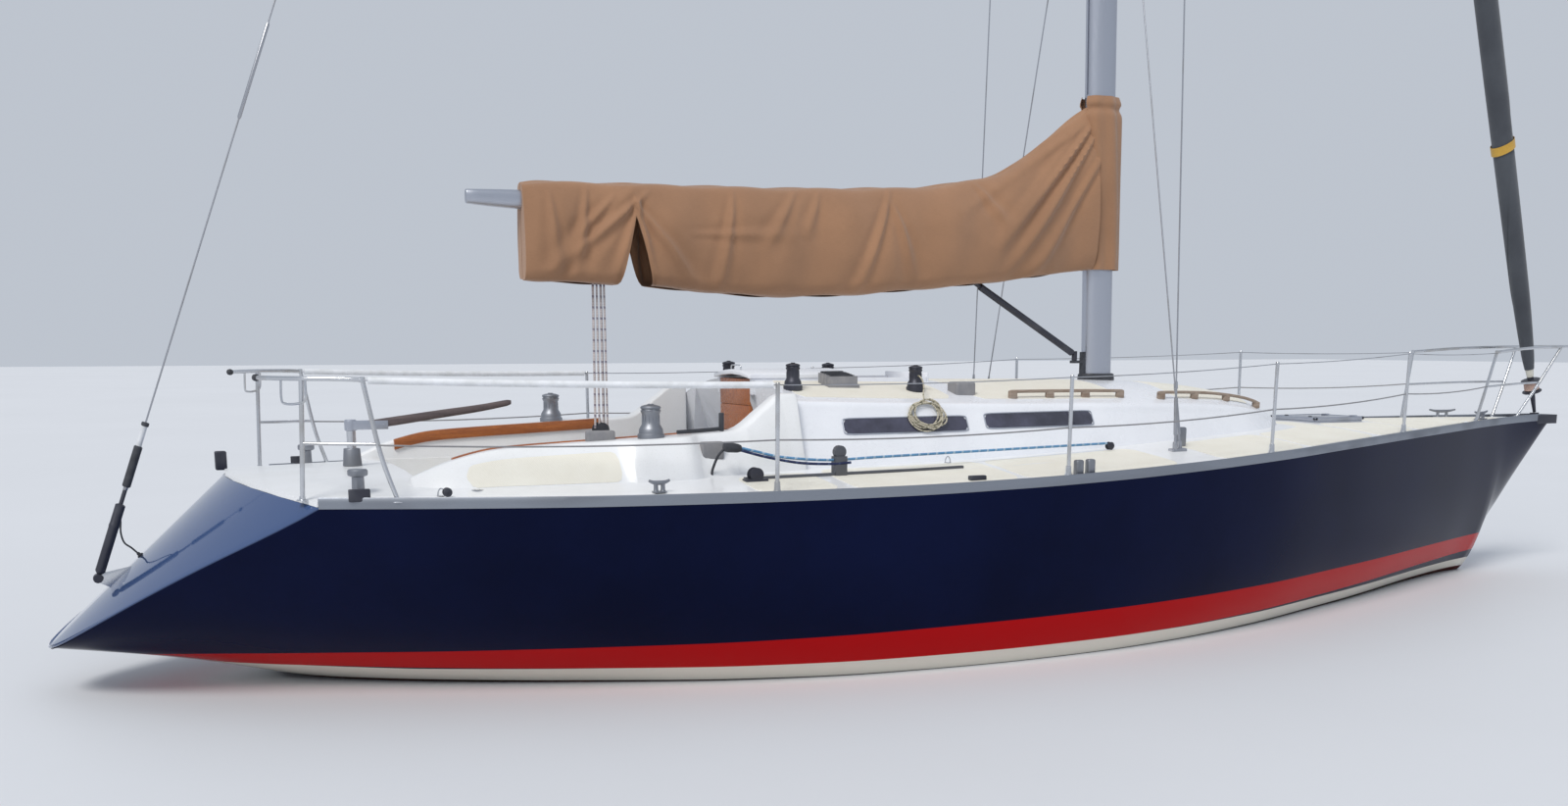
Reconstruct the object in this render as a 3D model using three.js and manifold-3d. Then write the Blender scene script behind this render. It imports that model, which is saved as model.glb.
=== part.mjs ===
// Sailing yacht: a masthead sloop lying afloat, sails furled.
// Millimetres. +X is forward, +Y is port, +Z is up, Z = 0 is the water.
// Positions along the boat are given as "s", measured forward from the
// tip of the transom, and turned into X by X(s).

import * as THREE from "three";
import * as BufferGeometryUtils from "three/addons/utils/BufferGeometryUtils.js";
import Module from "manifold-3d";

const wasm = await Module();
wasm.setup();

// Driving dimensions
const LENGTH = 12074;
const MIDSHIPS = 6000;
const BOW_TIP_Z = 1285;
const SEAT = 0.3;

const TRANSOM_TIP_Z = 270;
const TRANSOM_RAKE = 1.0765;
const TRANSOM_ROUND = 0.000319;

const CAMBER_PER_BEAM = 0.07;
const DECK_THICK = 22;
const DECK_GAP = 0.4;
const RAIL_THICK = 12;
const RAIL_HEIGHT = 52;

const COCKPIT = { aft: 1950, fore: 4110, half: 900, wall: 28, seatZ: 985, soleZ: 610, soleHalf: 360 };
const FOOTWELL = { aft: 2250, fore: 4082 };
const ROOF_AFT = 4200;
const HATCHWAY = { fore: 4860, half: 250, floorZ: 740 };
const SLIDE = { aft: 4175, fore: 4930, half: 300, thick: 34, travel: 560, z: 1748 };
const FORE_HATCH = { aft: 9080, fore: 9600, half: 250, thick: 26, depth: 320, frame: 38 };

const MAST = { s: 7130, footZ: 1690, topZ: 17960, topS: 6690, long: 240, wide: 165 };
const GOOSENECK = { s: 6930, z: 2810 };
const BOOM = { aft: 2457, high: 118, wide: 86 };
const VANG = { footZ: 1865, boomS: 5400, radius: 19 };
const TACKLE = { s: 3270, lowZ: 1330, wide: 56, long: 74 };

const STOCK = { s: 1715, radius: 27, bore: 34, headZ: 1455 };
const RUDDER = { topZ: -150, tipZ: -1680, topChord: 640, tipChord: 430 };
const KEEL = { rootS: 4720, rootChord: 1960, tipS: 4980, tipChord: 1190, tipZ: -2230, rootZ: -420 };
const PROP = { s: 3330, z: -800, radius: 205, hub: 42 };

const FORESTAY = { s: 11790, lowZ: 1660 };
const BACKSTAY = { s: 283, z: 640, adjusterTop: 1132 };
const CHAINPLATE = { s: 6850, y: 1270 };

const X = (s) => s - MIDSHIPS;

// Hull lines. Columns: s, half beam at the sheer, sheer height, centreline height,
// section fullness, section bottom power
const LINES = [
  [0, 770, 1122, 270, 1.04, 0.5],
  [700, 985, 1116, 152, 1.10, 0.5],
  [1330, 1180, 1110, 0, 1.32, 0.5],
  [2000, 1410, 1105, -140, 1.62, 0.5],
  [2840, 1635, 1100, -300, 1.92, 0.5],
  [3730, 1770, 1099, -440, 2.55, 0.5],
  [4500, 1815, 1101, -525, 3.05, 0.5],
  [5300, 1822, 1113, -572, 3.30, 0.5],
  [6000, 1795, 1132, -582, 3.35, 0.5],
  [6700, 1720, 1157, -556, 3.30, 0.5],
  [7450, 1580, 1186, -492, 3.20, 0.51],
  [8400, 1290, 1219, -375, 3.25, 0.53],
  [9330, 955, 1243, -245, 3.60, 0.58],
  [10300, 590, 1263, -105, 3.40, 0.65],
  [10800, 400, 1272, -36, 3.00, 0.70],
  [11090, 295, 1276, 0, 2.60, 0.74],
  [11237, 243, 1278, 288, 2.40, 0.74],
  [11429, 182, 1280, 512, 2.20, 0.74],
  [11653, 118, 1282, 781, 2.00, 0.74],
  [11858, 66, 1284, 1017, 1.80, 0.74],
  [LENGTH, 20, BOW_TIP_Z, 1270, 1.60, 0.74],
];
const HALF_BEAM = 1;
const SHEER = 2;
const KEEL_LINE = 3;
const FULLNESS = 4;
const BOTTOM_POWER = 5;

const HULL_STATIONS = 36;
const HULL_ROWS = 12;
const DECK_LANES = 4;

// Smooth value of one column of a table at s
function lookup(table, column, s) {
  const last = table.length - 1;
  if (s <= table[0][0]) {
    return table[0][column];
  }
  if (s >= table[last][0]) {
    return table[last][column];
  }
  let i = 0;
  while (s > table[i + 1][0]) {
    i += 1;
  }
  const slope = (a, b) => (table[b][column] - table[a][column]) / (table[b][0] - table[a][0]);
  const limited = (k) => {
    if (k === 0) {
      return slope(0, 1);
    }
    if (k === last) {
      return slope(last - 1, last);
    }
    const before = slope(k - 1, k);
    const after = slope(k, k + 1);
    return before * after <= 0 ? 0 : (2 * before * after) / (before + after);
  };
  const width = table[i + 1][0] - table[i][0];
  const u = (s - table[i][0]) / width;
  const h01 = u * u * (3 - 2 * u);
  const h10 = u * (1 - u) * (1 - u);
  const h11 = u * u * (u - 1);
  const start = table[i][column];
  const end = table[i + 1][column];
  return start + (end - start) * h01 + width * (h10 * limited(i) + h11 * limited(i + 1));
}

const halfBeam = (s) => lookup(LINES, HALF_BEAM, s);
const sheer = (s) => lookup(LINES, SHEER, s);
const keelLine = (s) => lookup(LINES, KEEL_LINE, s);

// Half breadth of the hull at a fraction of its depth
function breadth(s, fraction) {
  const fullness = lookup(LINES, FULLNESS, s);
  const power = lookup(LINES, BOTTOM_POWER, s);
  return halfBeam(s) * (1 - (1 - fraction) ** fullness) ** power;
}

// Place of the rounded, raked transom at a point across and up
const transom = (y, z) => TRANSOM_RAKE * (z - TRANSOM_TIP_Z) + TRANSOM_ROUND * y * y;

// Where a line at one fraction of the depth starts at the transom
function transomStart(fraction) {
  let s = 600;
  for (let round = 0; round < 60; round += 1) {
    const z = keelLine(s) + (sheer(s) - keelLine(s)) * fraction;
    s = 0.5 * s + 0.5 * transom(breadth(s, fraction), z);
  }
  return Math.max(s, 0);
}

// Stations spaced closer toward the bow
const spacing = (i) => {
  const u = i / HULL_STATIONS;
  return u + 0.09 * Math.sin(Math.PI * u) * u;
};

const camberAt = (s) => CAMBER_PER_BEAM * halfBeam(s);

// Deck height without the deck's own thickness
function sheerSurface(s, y) {
  const across = Math.min(1, Math.abs(y) / halfBeam(s));
  return sheer(s) + camberAt(s) * (1 - across * across);
}

const DECK_RISE = DECK_GAP + DECK_THICK;
const deckZ = (s, y) => sheerSurface(s, y) + DECK_RISE;

// A closed body from lists of corner places and faces
function bodyFrom(positions, faces) {
  const geometry = new THREE.BufferGeometry();
  geometry.setAttribute("position", new THREE.Float32BufferAttribute(positions.flat(), 3));
  geometry.setIndex(faces.flat());
  return outward(BufferGeometryUtils.mergeVertices(geometry, 1e-3));
}

// Six times the volume, signed
function signedVolume(geometry) {
  const p = geometry.getAttribute("position");
  const index = geometry.getIndex();
  const a = new THREE.Vector3();
  const b = new THREE.Vector3();
  const c = new THREE.Vector3();
  let sum = 0;
  for (let i = 0; i < index.count; i += 3) {
    a.fromBufferAttribute(p, index.getX(i));
    b.fromBufferAttribute(p, index.getX(i + 1));
    c.fromBufferAttribute(p, index.getX(i + 2));
    sum += a.dot(b.cross(c));
  }
  return sum;
}

// Turn the faces of a body outward and drop faces without area
function outward(geometry) {
  const index = Array.from(geometry.getIndex().array);
  const kept = [];
  const flip = signedVolume(geometry) < 0;
  for (let i = 0; i < index.length; i += 3) {
    const [a, b, c] = index.slice(i, i + 3);
    if (a !== b && b !== c && c !== a) {
      kept.push(...(flip ? [a, c, b] : [a, b, c]));
    }
  }
  geometry.setIndex(kept);
  return geometry;
}

// Solid for cutting and joining, from a closed geometry
function solid(geometry) {
  const plain = geometry.clone();
  plain.deleteAttribute("normal");
  plain.deleteAttribute("uv");
  const merged = outward(BufferGeometryUtils.mergeVertices(plain, 1e-3));
  const vertProperties = new Float32Array(merged.getAttribute("position").array);
  const triVerts = new Uint32Array(merged.getIndex().array);
  return new wasm.Manifold(new wasm.Mesh({ numProp: 3, vertProperties, triVerts }));
}

// Geometry from a cut or joined solid
function geometryOf(manifold) {
  const mesh = manifold.getMesh();
  const geometry = new THREE.BufferGeometry();
  geometry.setAttribute("position", new THREE.BufferAttribute(new Float32Array(mesh.vertProperties), 3));
  geometry.setIndex(new THREE.BufferAttribute(new Uint32Array(mesh.triVerts), 1));
  return geometry;
}

const join = (solids) => solids.reduce((sum, next) => sum.add(next));

// Box between two corners, the length given by s
function box(s0, s1, y0, y1, z0, z1) {
  const geometry = new THREE.BoxGeometry(s1 - s0, y1 - y0, z1 - z0);
  geometry.translate(X((s0 + s1) / 2), (y0 + y1) / 2, (z0 + z1) / 2);
  return geometry;
}

// Round rod between two points given as [s, y, z]
function rod(from, to, radius, sides = 12, endRadius = radius) {
  const a = new THREE.Vector3(X(from[0]), from[1], from[2]);
  const b = new THREE.Vector3(X(to[0]), to[1], to[2]);
  const way = b.clone().sub(a);
  const geometry = new THREE.CylinderGeometry(endRadius, radius, way.length(), sides, 1);
  const turn = new THREE.Quaternion().setFromUnitVectors(new THREE.Vector3(0, 1, 0), way.clone().normalize());
  geometry.applyQuaternion(turn);
  geometry.translate((a.x + b.x) / 2, (a.y + b.y) / 2, (a.z + b.z) / 2);
  return geometry;
}

// Round bar through points given as [s, y, z]
function bar(points, radius, sides = 8, steps = points.length * 4, tension = 0.5) {
  const places = points.map(([s, y, z]) => new THREE.Vector3(X(s), y, z));
  const path = new THREE.CatmullRomCurve3(places, false, "catmullrom", tension);
  const section = new THREE.Shape();
  for (let k = 0; k < sides; k += 1) {
    const angle = (2 * Math.PI * k) / sides;
    const place = [radius * Math.cos(angle), radius * Math.sin(angle)];
    if (k === 0) {
      section.moveTo(...place);
    } else {
      section.lineTo(...place);
    }
  }
  section.closePath();
  return new THREE.ExtrudeGeometry(section, { steps, bevelEnabled: false, extrudePath: path });
}

// Closed body through rings of points [s, y, z], capped by fans
function loft(rings) {
  const count = rings[0].length;
  const positions = rings.flat().map(([s, y, z]) => [X(s), y, z]);
  const faces = [];
  for (let r = 0; r + 1 < rings.length; r += 1) {
    for (let k = 0; k < count; k += 1) {
      const a = r * count + k;
      const b = r * count + ((k + 1) % count);
      faces.push([a, b, b + count], [a, b + count, a + count]);
    }
  }
  for (const [ring, turned] of [[0, true], [rings.length - 1, false]]) {
    const centre = new THREE.Vector3();
    for (let k = 0; k < count; k += 1) {
      centre.add(new THREE.Vector3(...positions[ring * count + k]));
    }
    centre.divideScalar(count);
    positions.push(centre.toArray());
    const middle = positions.length - 1;
    for (let k = 0; k < count; k += 1) {
      const a = ring * count + k;
      const b = ring * count + ((k + 1) % count);
      faces.push(turned ? [middle, b, a] : [middle, a, b]);
    }
  }
  return bodyFrom(positions, faces);
}

// Round body along a broken line, with its own radius at each point
function wire(points, radii, sides = 8) {
  const places = points.map(([s, y, z]) => new THREE.Vector3(s, y, z));
  const rings = places.map((place, k) => {
    const before = places[Math.max(k - 1, 0)];
    const after = places[Math.min(k + 1, places.length - 1)];
    const way = after.clone().sub(before).normalize();
    const guide = Math.abs(way.y) > 0.9 ? new THREE.Vector3(0, 0, 1) : new THREE.Vector3(0, 1, 0);
    const u = guide.clone().cross(way).normalize();
    const v = way.clone().cross(u);
    const ring = [];
    for (let n = 0; n < sides; n += 1) {
      const angle = (2 * Math.PI * n) / sides;
      const at = place.clone().addScaledVector(u, radii[k] * Math.cos(angle));
      ring.push(at.addScaledVector(v, radii[k] * Math.sin(angle)).toArray());
    }
    return ring;
  });
  return loft(rings);
}

// Round stepped body on one line. Steps are [distance from the start, radius]
function spindle(from, to, steps, sides = 10) {
  const length = Math.hypot(...from.map((value, k) => to[k] - value));
  const places = steps.map(([distance]) => mixed(from, to, distance / length));
  return wire(places, steps.map(([, radius]) => radius), sides);
}

// Vertical-axis turned shape: profile of [radius, height] placed at a point
function turned(profile, at, sides = 20) {
  const geometry = new THREE.LatheGeometry(profile.map(([r, z]) => new THREE.Vector2(r, z)), sides);
  geometry.rotateX(Math.PI / 2);
  geometry.translate(X(at[0]), at[1], at[2]);
  return geometry;
}

// Places on the deck's grid: station i, lane from -1 at starboard to 1 at port
const EDGE_START = transomStart(1);
function deckPoint(i, lane, rise) {
  const w = spacing(i);
  const edgeS = EDGE_START + (LENGTH - EDGE_START) * w;
  const z = sheer(edgeS) + camberAt(edgeS) * (1 - lane * lane) + rise;
  const arch = camberAt(EDGE_START) * (1 - lane * lane);
  const aft = transom(lane * halfBeam(EDGE_START), sheer(EDGE_START) + arch);
  return [aft + (LENGTH - aft) * w, lane * halfBeam(edgeS), z];
}

// The same place drawn in from the deck's edge
function insetPoint(i, lane, rise, inset) {
  const place = deckPoint(i, lane, rise);
  if (Math.abs(lane) < 1 || inset === 0) {
    return place;
  }
  const inner = deckPoint(i, lane * (1 - 1 / DECK_LANES), rise);
  const part = Math.min(0.8, inset / Math.abs(place[1] - inner[1]));
  return mixed(place, inner, part);
}

// Body under or over the deck's curved surface, used as deck, hull top and cutter
function deckBody(bottomRise, topRise, inset = 0) {
  const lanes = [];
  for (let k = -DECK_LANES; k <= DECK_LANES; k += 1) {
    lanes.push(k / DECK_LANES);
  }
  const rings = [];
  for (let i = 0; i <= HULL_STATIONS; i += 1) {
    const low = lanes.map((lane) => insetPoint(i, lane, bottomRise, inset));
    const high = lanes.map((lane) => insetPoint(i, lane, topRise, inset)).reverse();
    rings.push([...low, ...high]);
  }
  return gridBody(rings, lanes.length);
}

// Closed body through rings whose two halves face each other, capped by strips
function gridBody(rings, half) {
  const count = rings[0].length;
  const positions = rings.flat().map(([s, y, z]) => [X(s), y, z]);
  const faces = [];
  for (let r = 0; r + 1 < rings.length; r += 1) {
    for (let k = 0; k < count; k += 1) {
      const a = r * count + k;
      const b = r * count + ((k + 1) % count);
      faces.push([a, b, b + count], [a, b + count, a + count]);
    }
  }
  for (const ring of [0, rings.length - 1]) {
    for (let k = 0; k + 1 < half; k += 1) {
      const a = ring * count + k;
      const b = a + 1;
      const d = ring * count + (count - 1 - k);
      const c = d - 1;
      faces.push(ring === 0 ? [a, c, b] : [a, b, c], ring === 0 ? [a, d, c] : [a, c, d]);
    }
  }
  return bodyFrom(positions, faces);
}

// Hull body with its side rows and cambered top
function hullBody() {
  const starts = [];
  for (let j = 0; j <= HULL_ROWS; j += 1) {
    starts.push(transomStart((j / HULL_ROWS) ** 1.7));
  }
  const side = (i, j, sign) => {
    const fraction = (j / HULL_ROWS) ** 1.7;
    const s = starts[j] + (LENGTH - starts[j]) * spacing(i);
    const z = keelLine(s) + (sheer(s) - keelLine(s)) * fraction;
    return [s, sign * breadth(s, fraction), z];
  };
  const rings = [];
  for (let i = 0; i <= HULL_STATIONS; i += 1) {
    const ring = [];
    for (let j = HULL_ROWS; j >= 1; j -= 1) {
      ring.push(side(i, j, -1));
    }
    for (let j = 0; j <= HULL_ROWS; j += 1) {
      ring.push(side(i, j, 1));
    }
    for (let k = DECK_LANES - 1; k > -DECK_LANES; k -= 1) {
      ring.push(deckPoint(i, k / DECK_LANES, 0));
    }
    rings.push(ring);
  }
  return hullFrom(rings);
}

// Skin of the hull's rings, with the transom filled row by row
function hullFrom(rings) {
  const count = rings[0].length;
  const positions = rings.flat().map(([s, y, z]) => [X(s), y, z]);
  const faces = [];
  for (let r = 0; r + 1 < rings.length; r += 1) {
    for (let k = 0; k < count; k += 1) {
      const a = r * count + k;
      const b = r * count + ((k + 1) % count);
      faces.push([a, b, b + count], [a, b + count, a + count]);
    }
  }
  const rowParts = 2 * DECK_LANES;
  const starboard = (j) => HULL_ROWS - j;
  const port = (j) => HULL_ROWS + j;
  const row = (j) => {
    if (j === 0) {
      return Array(rowParts + 1).fill(HULL_ROWS);
    }
    if (j === HULL_ROWS) {
      const top = [starboard(j)];
      for (let k = 1; k < rowParts; k += 1) {
        top.push(count - k);
      }
      top.push(port(j));
      return top;
    }
    const a = rings[0][starboard(j)];
    const b = rings[0][port(j)];
    const ids = [starboard(j)];
    for (let k = 1; k < rowParts; k += 1) {
      const y = a[1] + ((b[1] - a[1]) * k) / rowParts;
      positions.push([X(transom(y, a[2])), y, a[2]]);
      ids.push(positions.length - 1);
    }
    ids.push(port(j));
    return ids;
  };
  let below = row(0);
  for (let j = 1; j <= HULL_ROWS; j += 1) {
    const above = row(j);
    for (let k = 0; k < rowParts; k += 1) {
      faces.push([below[k], above[k], above[k + 1]], [below[k], above[k + 1], below[k + 1]]);
    }
    below = above;
  }
  const lastRing = (rings.length - 1) * count;
  for (let k = 1; k + 1 < count; k += 1) {
    faces.push([lastRing, lastRing + k, lastRing + k + 1]);
  }
  return bodyFrom(positions, faces);
}

const group = new THREE.Group();

// Add a named piece with its own material
function piece(name, geometry, colour, roughness, metalness = 0) {
  const shape = geometry.isBufferGeometry ? geometry : geometryOf(geometry);
  const material = new THREE.MeshStandardMaterial({ color: colour, roughness, metalness });
  const mesh = new THREE.Mesh(shape, material);
  mesh.name = name;
  group.add(mesh);
}

const NAVY = 0x0b1030;
const WHITE = 0xf2f2ee;
const ALLOY = 0xa9adb2;
const STEEL = 0xc9ccd0;
const TEAK = 0x8a5a33;
const DARK = 0x202329;
const LEAD = 0x5b2026;
const CLOTH = 0xd9cfb9;

// Solids that pieces on deck are trimmed to
const deckCutter = solid(deckBody(-900, DECK_RISE + SEAT));
const mirrored = (geometry) => {
  const copy = geometry.clone();
  copy.scale(1, -1, 1);
  return copy;
};

// Wells cut through the deck and into the hull
function wells(clearance) {
  const c = COCKPIT;
  const cockpit = box(c.aft - clearance, c.fore + clearance, -c.half - clearance, c.half + clearance,
    c.soleZ - 60 - clearance, 2500);
  const h = HATCHWAY;
  const hatchway = box(ROOF_AFT - 4, h.fore, -h.half, h.half, h.floorZ, 2500);
  const f = FORE_HATCH;
  const fore = box(f.aft + f.frame, f.fore - f.frame, -f.half + f.frame, f.half - f.frame,
    sheer(f.aft) - f.depth, 2500);
  const stock = rod([STOCK.s, 0, -600], [STOCK.s, 0, 2500], STOCK.bore, 20);
  return join([cockpit, hatchway, fore, stock].map(solid));
}

const wellCut = wells(1);
const hull = solid(hullBody()).subtract(wellCut);
piece("hull", hull, NAVY, 0.12);
piece("deck", solid(deckBody(DECK_GAP, DECK_RISE, RAIL_THICK + 1)).subtract(wellCut), WHITE, 0.55);

// Toe rail along one edge of the deck
function toeRail(sign) {
  const rings = [];
  for (let i = 0; i <= HULL_STATIONS - 2; i += 1) {
    const [s, y, z] = deckPoint(i, 1, 0);
    const [innerS, innerY] = insetPoint(i, 1, 0, RAIL_THICK);
    const top = z + RAIL_HEIGHT;
    const outside = [[s, sign * y, z + DECK_GAP], [s, sign * y, top]];
    rings.push([[innerS, sign * innerY, z + 6], ...outside, [innerS, sign * innerY, top]]);
  }
  return loft(rings);
}
piece("toe_rail_starboard", toeRail(-1), ALLOY, 0.35, 0.9);
piece("toe_rail_port", toeRail(1), ALLOY, 0.35, 0.9);

const railKeep = solid(toeRail(-1)).add(solid(toeRail(1)));

// Cockpit liner with seats and footwell
function cockpitLiner() {
  const c = COCKPIT;
  const top = deckZ(c.aft, 0) - 30;
  const outer = box(c.aft, c.fore, -c.half, c.half, c.soleZ - 60, top);
  const seats = box(c.aft + c.wall, c.fore - c.wall, -c.half + c.wall, c.half - c.wall, c.seatZ, top + 500);
  const well = box(FOOTWELL.aft, FOOTWELL.fore, -c.soleHalf, c.soleHalf, c.soleZ, top + 500);
  return solid(outer).subtract(solid(seats)).subtract(solid(well));
}
const linerCutter = () => {
  const c = COCKPIT;
  return solid(box(c.aft - 2, c.fore + 2, -c.half - 2, c.half + 2, 0, deckZ(c.aft, 0) - 30 + SEAT));
};
piece("cockpit", cockpitLiner(), WHITE, 0.5);

// Coaming on one side of the cockpit, wider where its winch stands.
// Columns: s, top height, inner top, outer top, outer foot
const COAMING = [
  [1880, 1225, 905, 945, 1020],
  [2100, 1310, 902, 985, 1110],
  [2370, 1368, 902, 1005, 1170],
  [2700, 1388, 902, 1030, 1215],
  [3020, 1402, 902, 1060, 1240],
  [3110, 1406, 902, 1150, 1262],
  [3420, 1420, 902, 1150, 1262],
  [3540, 1426, 902, 1040, 1225],
  [3760, 1440, 902, 1020, 1180],
  [3980, 1580, 902, 990, 1145],
  [4090, 1650, 902, 975, 1140],
  [ROOF_AFT - SEAT, 1652, 902, 970, 1140],
];
function coaming(sign) {
  const rings = COAMING.map(([s, top, inner, outer, foot]) => [
    [s, sign * 874, 900],
    [s, sign * foot, 900],
    [s, sign * foot, 1150],
    [s, sign * (outer + 14), top - 26],
    [s, sign * (outer - 14), top],
    [s, sign * (inner + 6), top],
    [s, sign * 880, top - 10],
  ]);
  return solid(loft(rings)).subtract(deckCutter).subtract(linerCutter());
}

// Coachroof sections. Columns: s, half width at deck, half width at roof edge, roof edge height, crown height
const ROOF = [
  [ROOF_AFT, 1085, 905, 1600, 1725],
  [4900, 1095, 915, 1578, 1712],
  [5600, 1085, 900, 1562, 1700],
  [6400, 1030, 840, 1545, 1692],
  [7130, 925, 740, 1528, 1682],
  [7700, 800, 625, 1505, 1650],
  [8150, 665, 500, 1470, 1592],
  [8450, 545, 390, 1415, 1510],
  [8620, 450, 300, 1356, 1420],
  [8720, 360, 220, 1240, 1262],
];
const roofEdge = (s) => lookup(ROOF, 3, s);
const roofCrown = (s) => lookup(ROOF, 4, s);
const roofHalf = (s) => lookup(ROOF, 2, s);

// Height of the roof's top surface
function roofZ(s, y) {
  const across = Math.min(1, Math.abs(y) / roofHalf(s));
  return roofCrown(s) - (roofCrown(s) - roofEdge(s)) * across ** 2.2;
}

function roofSolid(rise) {
  const rings = [];
  for (let i = 0; i <= 16; i += 1) {
    const s = ROOF_AFT + ((8720 - ROOF_AFT) * i) / 16;
    const foot = lookup(ROOF, 1, s);
    const half = roofHalf(s);
    const side = [[foot, 900], [foot, 1180], [half + 22, roofEdge(s) - 44 + rise]];
    const top = [1, 0.82, 0.55, 0.27].map((part) => [half * part, roofZ(s, half * part) + rise]);
    const port = [...side, ...top];
    const starboard = port.map(([y, z]) => [-y, z]).reverse();
    rings.push([...port, [0, roofCrown(s) + rise], ...starboard].map(([y, z]) => [s, y, z]));
  }
  return solid(loft(rings));
}
const roofCutter = roofSolid(SEAT);
const hatchwayCut = solid(box(ROOF_AFT - 10, HATCHWAY.fore, -HATCHWAY.half, HATCHWAY.half, 800, 2500));

// Two low runners on the roof that the sliding hatch rides on, and the stop across their fore ends
function hatchRunners() {
  const top = SLIDE.z - 25.6;
  const end = SLIDE.fore + SLIDE.travel;
  const sides = [-1, 1].map((sign) => {
    const y = sign * (HATCHWAY.half + 24);
    return solid(box(ROOF_AFT, end + 20, y - 18, y + 18, 1560, top));
  });
  const nose = solid(box(end + 8, end + 30, -292, 292, 1560, SLIDE.z + 4));
  return join([...sides, nose]);
}
const roofShell = roofSolid(0).add(hatchRunners());
piece("coachroof", roofShell.subtract(deckCutter).subtract(hatchwayCut), WHITE, 0.4);
piece("coaming_starboard", coaming(-1), WHITE, 0.45);
piece("coaming_port", coaming(1), WHITE, 0.45);

// Boards that close the companionway, standing in its mouth
const boards = box(ROOF_AFT + 2, ROOF_AFT + 26, -HATCHWAY.half + SEAT, HATCHWAY.half - SEAT, 1205, 1722);
piece("washboards", boards, TEAK, 0.6);

// Sliding hatch over the companionway, a low cambered lid
function slidingHatch() {
  const rings = [];
  for (const s of [SLIDE.aft, SLIDE.aft + 30, (SLIDE.aft + SLIDE.fore) / 2, SLIDE.fore - 30, SLIDE.fore]) {
    const end = s === SLIDE.aft || s === SLIDE.fore ? 8 : 0;
    const ring = [];
    for (const part of [-1, -0.5, 0, 0.5, 1]) {
      ring.push([s, SLIDE.half * part, SLIDE.z - 26 * part * part]);
    }
    for (const part of [1, 0.5, 0, -0.5, -1]) {
      ring.push([s, (SLIDE.half - end) * part, SLIDE.z - 26 * part * part + SLIDE.thick - end]);
    }
    rings.push(ring);
  }
  return gridBody(rings, 5);
}
piece("sliding_hatch", slidingHatch(), WHITE, 0.35);

// Fore hatch lid, lying on the deck over its opening
function foreHatch() {
  const f = FORE_HATCH;
  const z = deckZ((f.aft + f.fore) / 2, 0) + 12;
  const lid = box(f.aft, f.fore, -f.half, f.half, z, z + f.thick);
  return solid(lid);
}
piece("fore_hatch", foreHatch(), DARK, 0.15);

function foreHatchFrame() {
  const f = FORE_HATCH;
  const z = deckZ((f.aft + f.fore) / 2, 0) + 12 - SEAT;
  const inner = 12;
  const frame = solid(box(f.aft + inner, f.fore - inner, -f.half + inner, f.half - inner, 1000, z));
  const half = f.half - f.frame;
  const hole = solid(box(f.aft + f.frame, f.fore - f.frame, -half, half, 900, z + 10));
  return frame.subtract(hole).subtract(deckCutter);
}
piece("fore_hatch_frame", foreHatchFrame(), ALLOY, 0.4, 0.8);

// Foil section: points around a chord from the nose, thickness as a part of the chord
function foilRing(noseS, chord, thickness, z) {
  const ring = [];
  const stations = [0, 0.02, 0.08, 0.2, 0.36, 0.56, 0.78, 1];
  const halfThick = (u) => 5 * thickness * chord * (0.2969 * Math.sqrt(u) - 0.126 * u - 0.3516 * u * u
    + 0.2843 * u ** 3 - 0.0986 * u ** 4);
  for (const u of stations) {
    ring.push([noseS - chord * u, Math.max(halfThick(u), u === 0 ? 0 : 2), z]);
  }
  for (const u of [...stations].reverse().slice(0, -1)) {
    ring.push([noseS - chord * u, -Math.max(halfThick(u), 2), z]);
  }
  return ring;
}

// Fin keel, trimmed to the bottom of the hull
function keelBody() {
  const rings = [];
  for (const part of [0, 0.18, 0.4, 0.62, 0.82, 0.94, 0.985, 1]) {
    const rounded = part > 0.9 ? (part - 0.9) / 0.1 : 0;
    const chord = KEEL.rootChord + (KEEL.tipChord - KEEL.rootChord) * part - 60 * rounded;
    const trail = KEEL.rootS + (KEEL.tipS - KEEL.rootS) * part + 30 * rounded;
    const z = KEEL.rootZ + (KEEL.tipZ - KEEL.rootZ) * part;
    const thick = 0.095 + 0.035 * part - 0.045 * rounded * rounded;
    rings.push(foilRing(trail + chord, chord, thick, z));
  }
  return solid(loft(rings));
}
const solidHull = solid(hullBody());
const hullGrown = (() => {
  const shifts = [[0, 0, -SEAT], [0, 0, SEAT], [-SEAT, 0, 0], [SEAT, 0, 0]];
  return shifts.reduce((sum, shift) => sum.add(solidHull.translate(shift)), solidHull);
})();
piece("keel", keelBody().subtract(hullGrown), LEAD, 0.5);

// Spade rudder with its stock, turning about the stock
function rudderBody() {
  const rings = [];
  for (const part of [0, 0.25, 0.5, 0.75, 0.93, 1]) {
    const rounded = part > 0.9 ? (part - 0.9) / 0.1 : 0;
    const chord = RUDDER.topChord + (RUDDER.tipChord - RUDDER.topChord) * part - 40 * rounded;
    const z = RUDDER.topZ + (RUDDER.tipZ - RUDDER.topZ) * part;
    rings.push(foilRing(STOCK.s + 0.24 * chord, chord, 0.14 - 0.05 * rounded, z));
  }
  const stock = rod([STOCK.s, 0, RUDDER.topZ - 500], [STOCK.s, 0, STOCK.headZ], STOCK.radius, 16);
  return solid(loft(rings)).add(solid(stock));
}
piece("rudder", rudderBody(), LEAD, 0.5);

// Bearing collar on the aft deck round the stock
function stockBearing() {
  const z = deckZ(STOCK.s, 0);
  const tube = solid(rod([STOCK.s, 0, z - 60], [STOCK.s, 0, z + 110], 62, 20, 48));
  const bore = solid(rod([STOCK.s, 0, z - 80], [STOCK.s, 0, z + 200], STOCK.radius + 0.9, 20));
  return tube.subtract(bore).subtract(deckCutter);
}
piece("rudder_bearing", stockBearing(), ALLOY, 0.4, 0.8);

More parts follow.
